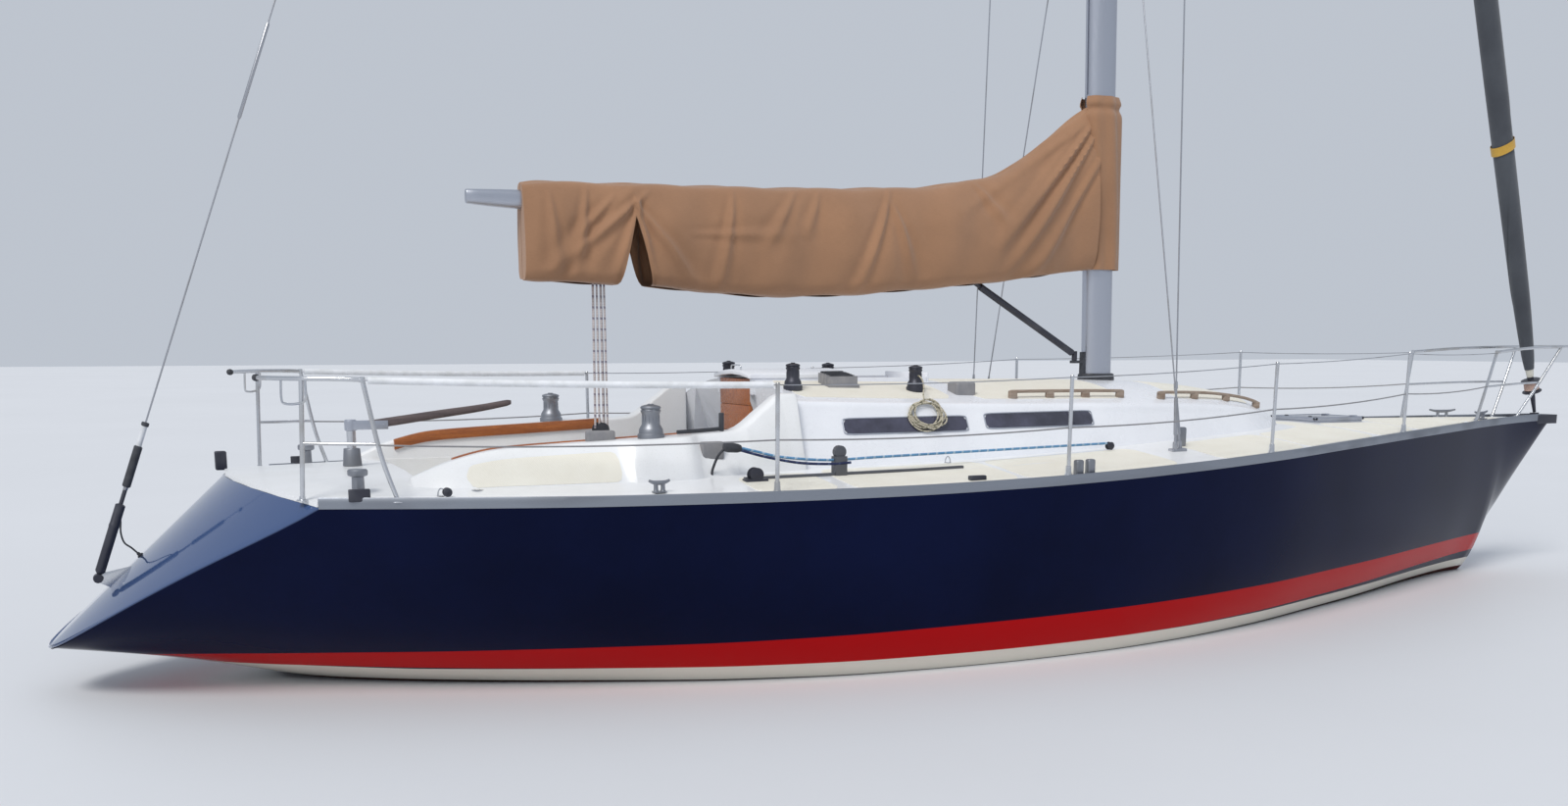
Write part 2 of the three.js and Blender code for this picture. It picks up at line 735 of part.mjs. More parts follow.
// Tiller with its head clamped round the top of the stock. Columns: s, height, half width, half depth
const TILLER = [
  [1650, 1452, 34, 26],
  [1715, 1458, 40, 28],
  [1800, 1466, 32, 26],
  [1950, 1484, 24, 27],
  [2250, 1524, 20, 25],
  [2500, 1556, 18, 22],
  [2690, 1588, 17, 18],
];
function tillerBody() {
  const rings = TILLER.map(([s, z, half, deep]) => {
    const ring = [];
    for (let k = 0; k < 10; k += 1) {
      const angle = (2 * Math.PI * k) / 10;
      ring.push([s, half * Math.cos(angle), z + deep * Math.sin(angle)]);
    }
    return ring;
  });
  const bore = solid(rod([STOCK.s, 0, 1380], [STOCK.s, 0, STOCK.headZ + SEAT], STOCK.radius + SEAT, 16));
  return solid(loft(rings)).subtract(bore);
}
piece("tiller", tillerBody(), TEAK, 0.35);

// Propeller leg under the hull
function propellerLeg() {
  const rings = [[PROP.z + 70, 250], [PROP.z + 200, 240], [-380, 300]].map(([z, chord]) =>
    foilRing(PROP.s + 100 + chord, chord, 0.24, z));
  const pod = rod([PROP.s + 60, 0, PROP.z], [PROP.s + 420, 0, PROP.z], 62, 16, 40);
  return solid(loft([...rings].reverse())).add(solid(pod)).add(solid(box(PROP.s + 150, PROP.s + 330, -22, 22,
    PROP.z, PROP.z + 90))).subtract(hullGrown);
}
piece("propeller_leg", propellerLeg(), DARK, 0.5);

// Propeller blade. Columns: part of the radius, chord, pitch angle in degrees
const BLADE = [[0.12, 50, 62], [0.4, 110, 44], [0.7, 118, 30], [0.92, 74, 24], [1, 24, 22]];

// Two-bladed propeller turning on the leg
function propeller() {
  const hub = solid(rod([PROP.s - 70, 0, PROP.z], [PROP.s + 54, 0, PROP.z], PROP.hub - 14, 16, PROP.hub));
  const shaft = solid(rod([PROP.s + 40, 0, PROP.z], [PROP.s + 59.6, 0, PROP.z], 20, 12));
  const blades = [1, -1].map((sign) => {
    const rings = [];
    for (const [part, chord, pitch] of BLADE) {
      const z = part * PROP.radius;
      const angle = (pitch * Math.PI) / 180;
      const ring = [];
      for (const [along, thick] of [[-0.5, 0], [-0.2, 5], [0.2, 5], [0.5, 0], [0.2, -5], [-0.2, -5]]) {
        const across = along * chord;
        const y = across * Math.cos(angle) - thick * Math.sin(angle);
        const s = across * Math.sin(angle) + thick * Math.cos(angle);
        ring.push([PROP.s - 8 + s, sign * y, PROP.z + sign * z]);
      }
      rings.push(ring);
    }
    return solid(loft(rings));
  });
  return join([hub, shaft, ...blades]);
}
piece("propeller", propeller(), 0x8d7240, 0.3, 0.9);

// Mast with its foot on the coachroof, raked aft
const mastAt = (z) => MAST.s + ((MAST.topS - MAST.s) * (z - MAST.footZ)) / (MAST.topZ - MAST.footZ);
function mastRing(z, grow = 0, sides = 16) {
  const ring = [];
  const taper = z > 14500 ? 1 - (0.32 * (z - 14500)) / (MAST.topZ - 14500) : 1;
  for (let k = 0; k < sides; k += 1) {
    const angle = (2 * Math.PI * k) / sides;
    const s = mastAt(z) + (MAST.long / 2) * taper * Math.cos(angle) + grow * Math.cos(angle);
    ring.push([s, ((MAST.wide / 2) * taper + grow) * Math.sin(angle), z]);
  }
  return ring;
}
const mastSolid = (from, to, grow, sides = 16) =>
  solid(loft([from, ...[14500].filter((z) => z > from && z < to), to].map((z) => mastRing(z, grow, sides))));
const mastGrown = mastSolid(MAST.footZ - 400, MAST.topZ - 0.5, SEAT);
function mastBody() {
  const tube = mastSolid(MAST.footZ - 200, MAST.topZ, 0);
  const crane = box(MAST.topS - 210, MAST.topS + 170, -32, 32, MAST.topZ - 40, MAST.topZ + 60);
  return tube.add(solid(crane)).subtract(roofCutter);
}
piece("mast", mastBody(), ALLOY, 0.4, 0.8);

// Foot collar round the mast on the roof
function mastFoot() {
  const z = roofZ(MAST.s, 0);
  const ring = solid(loft([mastRing(z - 60, 34), mastRing(z + 40, 24), mastRing(z + 46, 14)]));
  const { s } = GOOSENECK;
  const reach = mastAt(VANG.footZ);
  const plate = box(s - 26, reach, -20, 20, VANG.footZ - 62, VANG.footZ - 42);
  const spine = box(reach - MAST.long / 2 - 12, reach, -24, 24, z + 10, VANG.footZ + 20);
  return join([ring, solid(plate), solid(spine)]).subtract(mastGrown).subtract(roofCutter);
}
piece("mast_foot", mastFoot(), DARK, 0.6);

// Pairs of swept spreaders. Columns: height, half span, sweep aft, root chord
const SPREADERS = [
  ["spreaders_lower", 6650, 1040, 150, 120],
  ["spreaders_upper", 12150, 800, 120, 105],
];
function spreaderPair(z, span, sweep, chord) {
  const arms = [-1, 1].map((sign) => {
    const ring = (y, s, width, thick) => [
      [s + width / 2, sign * y, z + 14 + y * 0.05],
      [s, sign * y, z + 14 + thick + y * 0.05],
      [s - width / 2, sign * y, z + 14 + y * 0.05],
      [s, sign * y, z + 14 - thick + y * 0.05],
    ];
    const middle = mastAt(z);
    return solid(loft([ring(20, middle, chord, 17), ring(span, middle - sweep, chord * 0.6, 10)]));
  });
  const bracket = solid(loft([mastRing(z - 40, 9), mastRing(z + 70, 9)]));
  return join([...arms, bracket]).subtract(mastGrown);
}
for (const [name, z, span, sweep, chord] of SPREADERS) {
  piece(name, spreaderPair(z, span, sweep, chord), ALLOY, 0.4, 0.8);
}
const spreaderTip = ([, z, span, sweep], sign) => {
  return [mastAt(z) - sweep, sign * (span + 12), z + 14 + span * 0.05];
};

// Shrouds of one side: the cap shroud over both spreader tips, the lower shroud, and their chainplate
function shrouds(sign) {
  const { s, y } = CHAINPLATE;
  const foot = [s, sign * y, deckZ(s, y) + 0.5];
  const low = spreaderTip(SPREADERS[0], sign);
  const high = spreaderTip(SPREADERS[1], sign);
  const head = [mastAt(MAST.topZ - 120), sign * 66, MAST.topZ - 120];
  const route = [foot, mixed(foot, low, 0.08), mixed(foot, low, 0.086), low, high, head];
  const cap = solid(wire(route, [14, 14, 6, 8, 7, 6]));
  const tips = SPREADERS.map(([, ...sizes]) => spreaderPair(...sizes));
  const inner = [s + 70, sign * (y - 30), deckZ(s + 70, y - 30) + 0.5];
  const mastSide = [mastAt(6480), sign * (MAST.wide / 2 + 7), 6480];
  const lowerRoute = [inner, mixed(inner, mastSide, 0.08), mixed(inner, mastSide, 0.086), mastSide];
  const lower = solid(wire(lowerRoute, [12, 12, 5, 5]));
  const middle = sign * (y - 15);
  const plate = solid(box(s - 26, s + 96, middle - 30, middle + 30, foot[2] - 30, foot[2] + 22));
  return cap.subtract(join(tips)).add(lower).add(plate).subtract(mastGrown).subtract(deckCutter);
}
piece("shrouds_starboard", shrouds(-1), STEEL, 0.3, 0.9);
piece("shrouds_port", shrouds(1), STEEL, 0.3, 0.9);

function mixed(a, b, part) {
  return a.map((value, k) => value + (b[k] - value) * part);
}

// Furled headsail. Columns: part of the way up the stay, radius
const FURL = [
  [0, 30],
  [0.012, 52],
  [0.05, 74],
  [0.2, 90],
  [0.5, 82],
  [0.8, 56],
  [0.93, 34],
  [0.955, 16],
];

// Furled headsail rolled round its foil on the forestay
const masthead = [MAST.topS + 150, 0, MAST.topZ - 10];
function furledHeadsail() {
  const low = [FORESTAY.s, 0, FORESTAY.lowZ];
  const rings = [];
  for (const [part, radius] of FURL) {
    const [s, , z] = mixed(low, masthead, part);
    const ring = [];
    for (let k = 0; k < 12; k += 1) {
      const angle = (2 * Math.PI * k) / 12;
      const ahead = radius * Math.cos(angle);
      ring.push([s + ahead, radius * Math.sin(angle), z + 0.31 * radius * Math.cos(angle)]);
    }
    rings.push(ring);
  }
  const stay = rod(mixed(low, masthead, 0.94), mixed(low, masthead, 0.9985), 7, 8);
  return solid(loft(rings)).add(solid(stay));
}
const craneGrown = solid(
  box(MAST.topS - 210.3, MAST.topS + 170.3, -32.3, 32.3, MAST.topZ - 40.3, MAST.topZ + 60.3),
);
piece("furled_headsail", furledHeadsail().subtract(craneGrown), 0x3f4657, 0.75);

// Furler drum. Columns: distance up the stay, radius
const DRUM = [
  [2, 26],
  [24, 26],
  [26, 78],
  [40, 78],
  [44, 44],
  [124, 44],
  [128, 78],
  [142, 78],
  [146, 20],
  [324, 14],
];

// Furler drum with its toggle on the stemhead
function furlerDrum() {
  const low = [FORESTAY.s, 0, FORESTAY.lowZ];
  const way = mixed(low, masthead, -1 / 1000).map((value, k) => value - low[k]);
  const length = Math.hypot(...way);
  const at = (distance) => low.map((value, k) => value + (way[k] / length) * distance);
  return solid(spindle(at(0), at(400), DRUM, 14));
}
piece("furler_drum", furlerDrum().subtract(deckCutter), DARK, 0.4);

// Stemhead plate and bow roller cheeks
function stemhead() {
  const s0 = 11620;
  const z = deckZ(s0, 0);
  const plate = solid(box(s0, 12090, -70, 70, 1250, z + 14));
  const eye = solid(box(11840, 11930, -12, 12, z, z + 32));
  return plate.add(eye).subtract(deckCutter).subtract(hullGrown).subtract(railKeep);
}

// Hose of the backstay adjuster: the port on the cylinder and the gland in the transom that it runs between
const HOSE = { port: [418, 42, 1016.5], gland: [514, 90, 745], radius: 5, reach: 22 };
const TRANSOM_NORMAL = [-0.68, 0.04, 0.732];
const alongNormal = (distance) => HOSE.gland.map((value, k) => value + TRANSOM_NORMAL[k] * distance);

// Backstay wire and the adjuster at its foot
function backstay() {
  const foot = [BACKSTAY.s, 0, BACKSTAY.z];
  const head = [MAST.topS - 200, 0, MAST.topZ - 10];
  const length = Math.hypot(...foot.map((value, k) => head[k] - value));
  const split = ((BACKSTAY.adjusterTop - BACKSTAY.z) * length) / (head[2] - foot[2]);
  const rodSteps = [[split * 0.86, 12], [split, 12]];
  const cylinder = spindle(foot, head, [[24, 14], [40, 27], [split * 0.84, 27], ...rodSteps], 12);
  const eye = solid(rod([BACKSTAY.s, -22, BACKSTAY.z], [BACKSTAY.s, 22, BACKSTAY.z], 26, 12));
  const port = solid(rod([HOSE.port[0], 10, HOSE.port[2]], HOSE.port, 9, 12));
  const insulator = [[2700, 5], [2710, 11], [3260, 11], [3270, 5]];
  const steps = [[split + 0.4, 13], [split + 320, 13], [split + 330, 5], ...insulator, [length, 5]];
  return [join([solid(cylinder), eye, port]), solid(spindle(foot, head, steps, 8)).subtract(craneGrown)];
}
// Gusset on the transom that holds the adjuster's foot. Columns: s, z
const GUSSET = [
  [268, 626],
  [286, 664],
  [478, 702],
  [362, 574],
];
function aftChainplate() {
  const outline = (y) => GUSSET.map(([s, z]) => [s, y, z]);
  return solid(loft([outline(-9), outline(9)]));
}
const [adjuster, stay] = backstay();
piece("backstay_adjuster", adjuster.add(aftChainplate()).subtract(hullGrown), DARK, 0.3, 0.5);
piece("backstay", stay, STEEL, 0.3, 0.9);

// Gland in the transom, and the hose hanging between it and the cylinder's port
const glandRoute = [-14, 6, 7, HOSE.reach].map(alongNormal);
const gland = solid(wire(glandRoute, [18, 18, 11, 9], 12));
piece("hose_gland", gland.subtract(hullGrown), DARK, 0.5);
const hoseRoute = [
  [418, 42.3, 1016.5],
  [418, 51, 1016.5],
  [423, 64, 1002],
  [424, 68, 950],
  [420, 71, 885],
  [434, 77, 826],
  [468, 87.5, 794],
  alongNormal(HOSE.reach + 8),
  alongNormal(HOSE.reach + SEAT),
];
piece("backstay_hose", bar(hoseRoute, HOSE.radius, 8, 28), DARK, 0.7);

// Beam of the boom, or the same shape grown all round
function boomBeam(grow = 0) {
  const { s: pivot, z } = GOOSENECK;
  const ring = (s, high, wide, lift = 0) => {
    const points = [];
    for (let k = 0; k < 12; k += 1) {
      const angle = (2 * Math.PI * (k + 0.5)) / 12;
      const round = (value) => Math.sign(value) * Math.abs(value) ** 0.8;
      const across = (wide / 2 + grow) * round(Math.cos(angle));
      points.push([s, across, z + lift + (high / 2 + grow) * round(Math.sin(angle))]);
    }
    return points;
  };
  const tip = [ring(BOOM.aft, 84, 62, 8), ring(BOOM.aft + 60, 102, 74, 4)];
  const beam = [BOOM.aft + 500, pivot - 70].map((s) => ring(s, BOOM.high, BOOM.wide));
  return loft([...tip, ...beam]);
}

// Boom with its sheet bail and knuckle, swinging about the gooseneck
function boomBody() {
  const { s: pivot, z } = GOOSENECK;
  const tongue = box(pivot - 90, pivot + 14, -16, 16, z - 30, z + 30);
  const knuckle = rod([pivot, 0, z - 49.1], [pivot, 0, z + 49.1], 24, 14);
  const bail = box(TACKLE.s - 18, TACKLE.s + 18, -8, 8, z - BOOM.high / 2 - 40, z);
  return join([boomBeam(), tongue, knuckle, bail].map(solid));
}
piece("boom", boomBody(), ALLOY, 0.35, 0.85);

// Gooseneck bracket on the mast's aft face, above and below the boom's knuckle
function gooseneckBracket() {
  const { s, z } = GOOSENECK;
  const levels = [[z - 62, z - 49.5], [z + 49.5, z + 62]];
  const plates = levels.map(([low, high]) => box(s - 26, mastAt(z), -26, 26, low, high));
  const spine = box(mastAt(z) - MAST.long / 2 - 14, mastAt(z), -30, 30, z - 110, z + 110);
  return join([...plates, spine].map(solid)).subtract(mastGrown);
}
piece("gooseneck", gooseneckBracket(), ALLOY, 0.4, 0.8);

// Vang strut from the mast's foot up to the boom
function vang() {
  const foot = [GOOSENECK.s, 0, VANG.footZ];
  const top = [VANG.boomS, 0, GOOSENECK.z - BOOM.high / 2 - 8];
  const tube = rod(mixed(foot, top, 0.012), mixed(foot, top, 0.55), VANG.radius + 6, 12);
  const rodPart = rod(mixed(foot, top, 0.5), top, VANG.radius - 3, 12);
  const knuckle = rod([foot[0], 0, foot[2] - 41.7], [foot[0], 0, foot[2] + 26], 20, 12);
  const boomEnd = solid(box(VANG.boomS - 40, VANG.boomS + 40, -14, 14, top[2] - 26, top[2] + 7.7));
  return join([tube, rodPart, knuckle].map(solid)).add(boomEnd);
}
const vangBody = vang();
const boomGrown = solid(boomBeam(SEAT));
piece("boom_vang", vangBody.subtract(boomGrown), DARK, 0.4);

// Sail cover with the flaked sail. Columns: s, top, bottom, half width at top, middle and bottom
const COVER = [
  [2790, 2884, 2420, 52, 86, 66],
  [2850, 2890, 2352, 66, 120, 104],
  [3430, 2902, 2312, 84, 165, 150],
  [4500, 2935, 2252, 96, 185, 168],
  [5100, 2968, 2274, 92, 195, 175],
  [5550, 3002, 2313, 82, 200, 178],
  [5930, 3058, 2346, 72, 204, 180],
  [6180, 3114, 2374, 67, 202, 175],
  [6360, 3200, 2396, 63, 199, 171],
  [6600, 3368, 2425, 58, 195, 165],
  [6820, 3525, 2462, 50, 150, 120],
];
function coverBody() {
  const rings = COVER.map(([s, top, bottom, a, b, c]) => {
    const height = top - bottom;
    const half = [
      [a * 0.5, top],
      [a, top - 0.06 * height],
      [b, top - 0.45 * height],
      [c, bottom + 0.12 * height],
      [c * 0.55, bottom],
    ];
    const port = half.map(([y, z]) => [s, y, z]);
    const starboard = half.map(([y, z]) => [s, -y, z]).reverse();
    return [...port, ...starboard];
  });
  const { z } = GOOSENECK;
  const sheetSlot = solid(box(TACKLE.s - 60, TACKLE.s + 60, -46, 46, 2000, z));
  const top = GOOSENECK.z - BOOM.high / 2;
  const vangSlot = solid(loft(slotRings(top)));
  return solid(loft(rings)).subtract(boomGrown).subtract(sheetSlot).subtract(vangSlot);
}

// Slot under the boom that the vang lies in
function slotRings(top) {
  const aft = VANG.boomS - 90;
  const outline = [[aft, top + 10], [7000, top + 10], [7000, 1700], [6500, 1700], [aft, top - 90]];
  return [-36, 36].map((y) => outline.map(([s, z]) => [s, y, z]));
}
piece("sail_cover", coverBody(), CLOTH, 0.9);

// Collar of the cover round the mast
function coverCollar() {
  const rings = [[2470, 20], [2520, 32], [3000, 40], [3400, 40], [3640, 30], [3690, 16]];
  const outer = solid(loft(rings.map(([z, grow]) => mastRing(z, grow))));
  const { s, z } = GOOSENECK;
  const room = solid(box(s - 400, mastAt(z), -200, 200, 2300, 3900));
  return outer.subtract(mastGrown).subtract(room);
}
piece("cover_collar", coverCollar(), CLOTH, 0.9);

// Mainsheet tackle between the traveller car and the boom
function mainsheet() {
  const half = TACKLE.wide / 2;
  const top = GOOSENECK.z - BOOM.high / 2 - 40.3;
  const { s } = TACKLE;
  const ring = (z, a, b) => [[s - b, -a, z], [s + b, -a, z], [s + b, a, z], [s - b, a, z]];
  return solid(loft([ring(TACKLE.lowZ, 16, 24), ring(TACKLE.lowZ + 40, half, TACKLE.long / 2),
    ring(TACKLE.lowZ + 130, half, TACKLE.long / 2), ring(TACKLE.lowZ + 200, 22, 26), ring(top - 150, 18, 22),
    ring(top - 110, 26, 34), ring(top - 30, 26, 34), ring(top, 14, 18)]));
}
piece("mainsheet", mainsheet(), DARK, 0.6);

// Traveller bridge across the cockpit with its track and car
function traveller() {
  const inner = COCKPIT.half - COCKPIT.wall - SEAT;
  const bridge = box(TACKLE.s - 62, TACKLE.s + 62, -inner, inner, 1120, 1180);
  const track = box(TACKLE.s - 17, TACKLE.s + 17, -inner + 40, inner - 40, 1178, 1206);
  const car = box(TACKLE.s - 60, TACKLE.s + 60, -62, 62, 1200, 1248);
  const eye = box(TACKLE.s - 10, TACKLE.s + 10, -24, 24, 1240, TACKLE.lowZ - SEAT);
  return join([bridge, track, car, eye].map(solid));
}
piece("traveller", traveller(), ALLOY, 0.4, 0.8);

// Winches. Columns: name, s, y, base radius, height
const WINCHES = [
  ["primary_winch_starboard", 3240, -1035, 70, 185],
  ["primary_winch_port", 3240, 1035, 70, 185],
  ["roof_winch_starboard", 4330, -640, 54, 150],
  ["roof_winch_port", 4430, 640, 54, 150],
  ["mast_winch_starboard", 5215, -640, 54, 150],
  ["mast_winch_port", 5215, 640, 54, 150],
];
const winchProfile = (radius, height) => [
  [0, -120], [radius * 1.12, -120], [radius * 1.12, 14], [radius, 20], [radius * 0.98, 40],
  [radius * 0.72, 62], [radius * 0.68, height - 46], [radius * 0.84, height - 28],
  [radius * 0.84, height - 12], [radius * 0.5, height], [0, height],
];
const winchFoot = (s, y) => (s > ROOF_AFT ? roofZ(s, y) + 12 : lookup(COAMING, 1, s) + 6);

// What a coaming winch stands on: the coaming, filled flat under the winch
function coamingSeat(s, y) {
  const pad = box(s - 150, s + 150, y - 90, y + 90, 1000, lookup(COAMING, 1, s) + SEAT);
  return coaming(Math.sign(y)).translate([0, 0, SEAT]).add(solid(pad));
}
for (const [name, s, y, radius, height] of WINCHES) {
  const shape = solid(turned(winchProfile(radius, height), [s, y, winchFoot(s, y)], 14));
  const onRoof = s > ROOF_AFT;
  const seat = onRoof ? roofCutter : coamingSeat(s, y);
  piece(name, shape.subtract(seat), DARK, 0.35, 0.6);
}

// Bank of line clutches on the roof
function clutches() {
  const parts = [];
  for (let k = 0; k < 4; k += 1) {
    const y = -430 - 44 * k;
    parts.push(box(4620, 4820, y - 19, y + 19, 1500, roofZ(4720, y) + 70));
  }
  parts.push(box(4610, 4830, -590, -400, 1500, roofZ(4720, -500) + 10));
  return join(parts.map(solid)).subtract(roofCutter);
}
piece("line_clutches", clutches(), 0x3b3f45, 0.5);

// Rails round the stern and the bow, bent from tube
const RAIL = { radius: 12.5, middle: 9, knob: 13.5, end: 18, sides: 6 };
const PUSHPIT_TOP = 1765;
const PULPIT_TOP = 1905;

// Top rail of the pushpit's starboard half, open astern. Columns: s, y, height over PUSHPIT_TOP
const PUSHPIT = [
  [1597, -1262, 0],
  [1500, -1230, 4],
  [1310, -1130, 6],
  [1200, -985, 6],
  [1120, -820, 6],
];
// Top rail of the pulpit, starboard half. Columns: s, y, height over PULPIT_TOP
const PULPIT = [
  [10830, -430, -30],
  [11300, -335, 0],
  [11800, -235, 12],
  [12130, -170, 14],
];

// Route of a top rail: its starboard half, its point on the centreline, and the half mirrored
function topRoute(half, top, middle) {
  const starboard = half.map(([s, y, rise]) => [s, y, top + rise]);
  const port = starboard.map(([s, y, z]) => [s, -y, z]).reverse();
  return [...starboard, middle, ...port];
}

const railFoot = (s, y) => [s, y, deckZ(s, Math.abs(y)) - 20];

// Starboard half of the pushpit: a top rail with a free end, two legs, a middle rail and two knobs
function pushpitRails() {
  const top = PUSHPIT_TOP;
  const { radius, sides } = RAIL;
  const topRail = PUSHPIT.map(([s, y, rise]) => [s, y, top + rise]);
  const aftLeg = [railFoot(1288, -1104), [1301, -1120, top - 300], [1312, -1130, top]];
  const foreLeg = [railFoot(1745, -1297), [1668, -1280, top - 380], [1597, -1262, top]];
  const middle = [[1659, -1278, top - 330], [1480, -1203, top - 328], [1300, -1119, top - 325]];
  return [
    bar(topRail, radius, sides, 14),
    bar(aftLeg, radius, sides, 3),
    bar(foreLeg, radius, sides, 5),
    bar(middle, RAIL.middle, sides, 4),
    rod([1597, -1262, top - 14], [1597, -1262, top + 13.5], RAIL.knob, 8),
    rod([1129, -838, top + 6], [1113, -806, top + 6], RAIL.end, 8),
  ];
}
for (const [side, placed] of [["starboard", (rail) => rail], ["port", mirrored]]) {
  const half = join(pushpitRails().map(placed).map(solid)).subtract(deckCutter);
  piece(`pushpit_${side}`, half, STEEL, 0.2, 0.95);
}

function pulpit() {
  const top = PULPIT_TOP;
  const { radius, sides } = RAIL;
  const rails = [bar(topRoute(PULPIT, top, [12235, 0, top + 14]), radius, sides, 28)];
  for (const sign of [-1, 1]) {
    const corner = [10830, sign * 430, top - 30];
    const aftLeg = [railFoot(10700, sign * 385), [10770, sign * 410, top - 300], corner];
    const shoulder = [11860, sign * 228, top + 12];
    const foreLeg = [railFoot(11500, sign * 120), [11700, sign * 180, top - 270], shoulder];
    const middleEnds = [[10768, sign * 409, top - 310], [11676, sign * 174, top - 290]];
    const middle = [middleEnds[0], [11250, sign * 290, top - 295], middleEnds[1]];
    rails.push(bar(aftLeg, radius, sides, 3));
    rails.push(bar(foreLeg, radius, sides, 5));
    rails.push(bar(middle, RAIL.middle, sides, 6));
  }
  const knobAt = (sign, z) => [10830, sign * 430, z];
  const knobs = [-1, 1].map((sign) => rod(knobAt(sign, top - 44), knobAt(sign, top - 16.5), RAIL.knob, 8));
  return join([...rails, ...knobs].map(solid)).subtract(deckCutter);
}
piece("pulpit", pulpit(), STEEL, 0.2, 0.95);

// Stanchions along both sides. Columns: number, s, half breadth
const STANCHIONS = [
  [1, 3725, 1726],
  [2, 5640, 1762],
  [3, 7450, 1525],
  [4, 9325, 902],
];
for (const [number, s, y] of STANCHIONS) {
  for (const [side, sign] of [["starboard", -1], ["port", 1]]) {
    const base = deckZ(s, y);
    const post = solid(rod([s, sign * y, base - 30], [s, sign * (y + 8), base + 610], 12, 12));
    const foot = solid(rod([s, sign * y, base - 30], [s, sign * y, base + 70], 22, 12, 17));
    piece(`stanchion_${side}_${number}`, post.add(foot).subtract(deckCutter), STEEL, 0.25, 0.9);
  }
}

// Genoa tracks on the side decks, each with its car and the car's block
const TRACK = { aft: 3700, fore: 5160, y: 1330, half: 16, rise: 16 };
const CAR = { s: 4310, half: 38, side: 30, rise: 112, wheel: 38, wheelRise: 138 };
function genoaTrack(sign) {
  const { aft, fore, y, half, rise } = TRACK;
  const rings = [0, 0.25, 0.5, 0.75, 1].map((part) => {
    const s = aft + (fore - aft) * part;
    const z = deckZ(s, y);
    const [inner, outer] = [sign * (y - half), sign * (y + half)];
    return [[s, inner, z - 30], [s, outer, z - 30], [s, outer, z + rise], [s, inner, z + rise]];
  });
  const deck = deckZ(CAR.s, y);
  const [inner, outer] = [sign * y - CAR.side, sign * y + CAR.side];
  const car = box(CAR.s - CAR.half, CAR.s + CAR.half, inner, outer, 1150, deck + CAR.rise);
  const wheelAt = (side) => [CAR.s, sign * y + side, deck + CAR.wheelRise];
  const wheel = rod(wheelAt(-18), wheelAt(18), CAR.wheel, 14);
  return join([solid(loft(rings)), solid(car), solid(wheel)]).subtract(deckCutter);
}
piece("genoa_track_starboard", genoaTrack(-1), DARK, 0.4, 0.5);
piece("genoa_track_port", genoaTrack(1), DARK, 0.4, 0.5);

piece("stemhead", stemhead(), STEEL, 0.3, 0.9);

// Rope of a roof winch: its hank hangs against the cabin side, from the stretch that comes off the winch
const HANK = { s: 5115, z: 1505, long: 290, high: 210, thick: 36, clear: 4 };
function hankFrame() {
  const top = [HANK.s, -(roofHalf(HANK.s) + 22), roofEdge(HANK.s) - 44];
  const foot = [HANK.s, -lookup(ROOF, 1, HANK.s), 1180];
  const up = new THREE.Vector3(0, top[1] - foot[1], top[2] - foot[2]).normalize();
  const out = new THREE.Vector3(1, 0, 0).cross(up);
  const off = HANK.thick / 2 + HANK.clear;
  const along = (HANK.z - top[2] - out.z * off) / up.z;
  const at = new THREE.Vector3(X(HANK.s), top[1], top[2]);
  at.addScaledVector(up, along).addScaledVector(out, off);
  return { at, up, out };
}
const hank = hankFrame();
const onHank = (rise) => {
  const place = hank.at.clone().addScaledVector(hank.up, rise);
  return [place.x + MIDSHIPS, place.y, place.z];
};
function ropeHank() {
  const half = HANK.high / 2;
  const straight = HANK.long / 2 - half;
  const outline = new THREE.Shape();
  outline.absarc(straight, 0, half, -Math.PI / 2, Math.PI / 2, false);
  outline.absarc(-straight, 0, half, Math.PI / 2, (3 * Math.PI) / 2, false);
  const settings = { depth: HANK.thick, bevelEnabled: false, curveSegments: 10 };
  const geometry = new THREE.ExtrudeGeometry(outline, settings);
  geometry.translate(0, 0, -HANK.thick / 2);
  const turn = new THREE.Matrix4().makeBasis(new THREE.Vector3(1, 0, 0), hank.up, hank.out);
  return geometry.applyMatrix4(turn).translate(hank.at.x, hank.at.y, hank.at.z);
}
piece("rope_hank", solid(ropeHank()), 0xa8a596, 0.9);
const tailRoute = [
  [5215, -678.3, 1740],
  [5215, -690, 1740],
  [5198, -760, 1714],
  [5163, -840, 1673],
  [5128, -896, 1638],
  onHank(HANK.high / 2 + 12),
  onHank(HANK.high / 2 + SEAT),
];
piece("rope_tail", bar(tailRoute, 5, 8, 16), 0xa8a596, 0.9);

export default group;
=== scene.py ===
"""Finished look of a sailing yacht, laid out as an add-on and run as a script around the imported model."""

import math
from contextlib import contextmanager
from functools import lru_cache

import bpy
from mathutils import Matrix, Vector


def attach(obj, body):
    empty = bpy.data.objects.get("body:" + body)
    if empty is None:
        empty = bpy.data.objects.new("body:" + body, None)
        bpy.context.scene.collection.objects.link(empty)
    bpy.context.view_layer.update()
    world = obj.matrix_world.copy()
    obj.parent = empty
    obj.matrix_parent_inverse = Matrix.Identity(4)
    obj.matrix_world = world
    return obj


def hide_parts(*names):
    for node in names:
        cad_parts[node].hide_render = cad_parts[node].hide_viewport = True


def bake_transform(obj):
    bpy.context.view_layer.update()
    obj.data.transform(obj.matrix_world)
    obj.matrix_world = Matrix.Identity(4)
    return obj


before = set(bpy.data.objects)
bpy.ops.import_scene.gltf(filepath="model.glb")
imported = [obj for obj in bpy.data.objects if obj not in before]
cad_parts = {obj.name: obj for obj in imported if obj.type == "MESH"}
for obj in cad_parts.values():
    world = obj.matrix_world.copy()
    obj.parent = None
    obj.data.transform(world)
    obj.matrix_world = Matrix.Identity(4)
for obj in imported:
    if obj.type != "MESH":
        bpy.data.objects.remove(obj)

bl_info = {
    "name": "Sailing Yacht",
    "version": (1, 0, 0),
    "blender": (4, 5, 0),
    "location": "3D View > Sidebar > Yacht",
    "description": "Finishes a masthead sloop: hull, deck, cockpit, rig, rails, ropes and sail cover",
    "category": "Add Mesh",
}

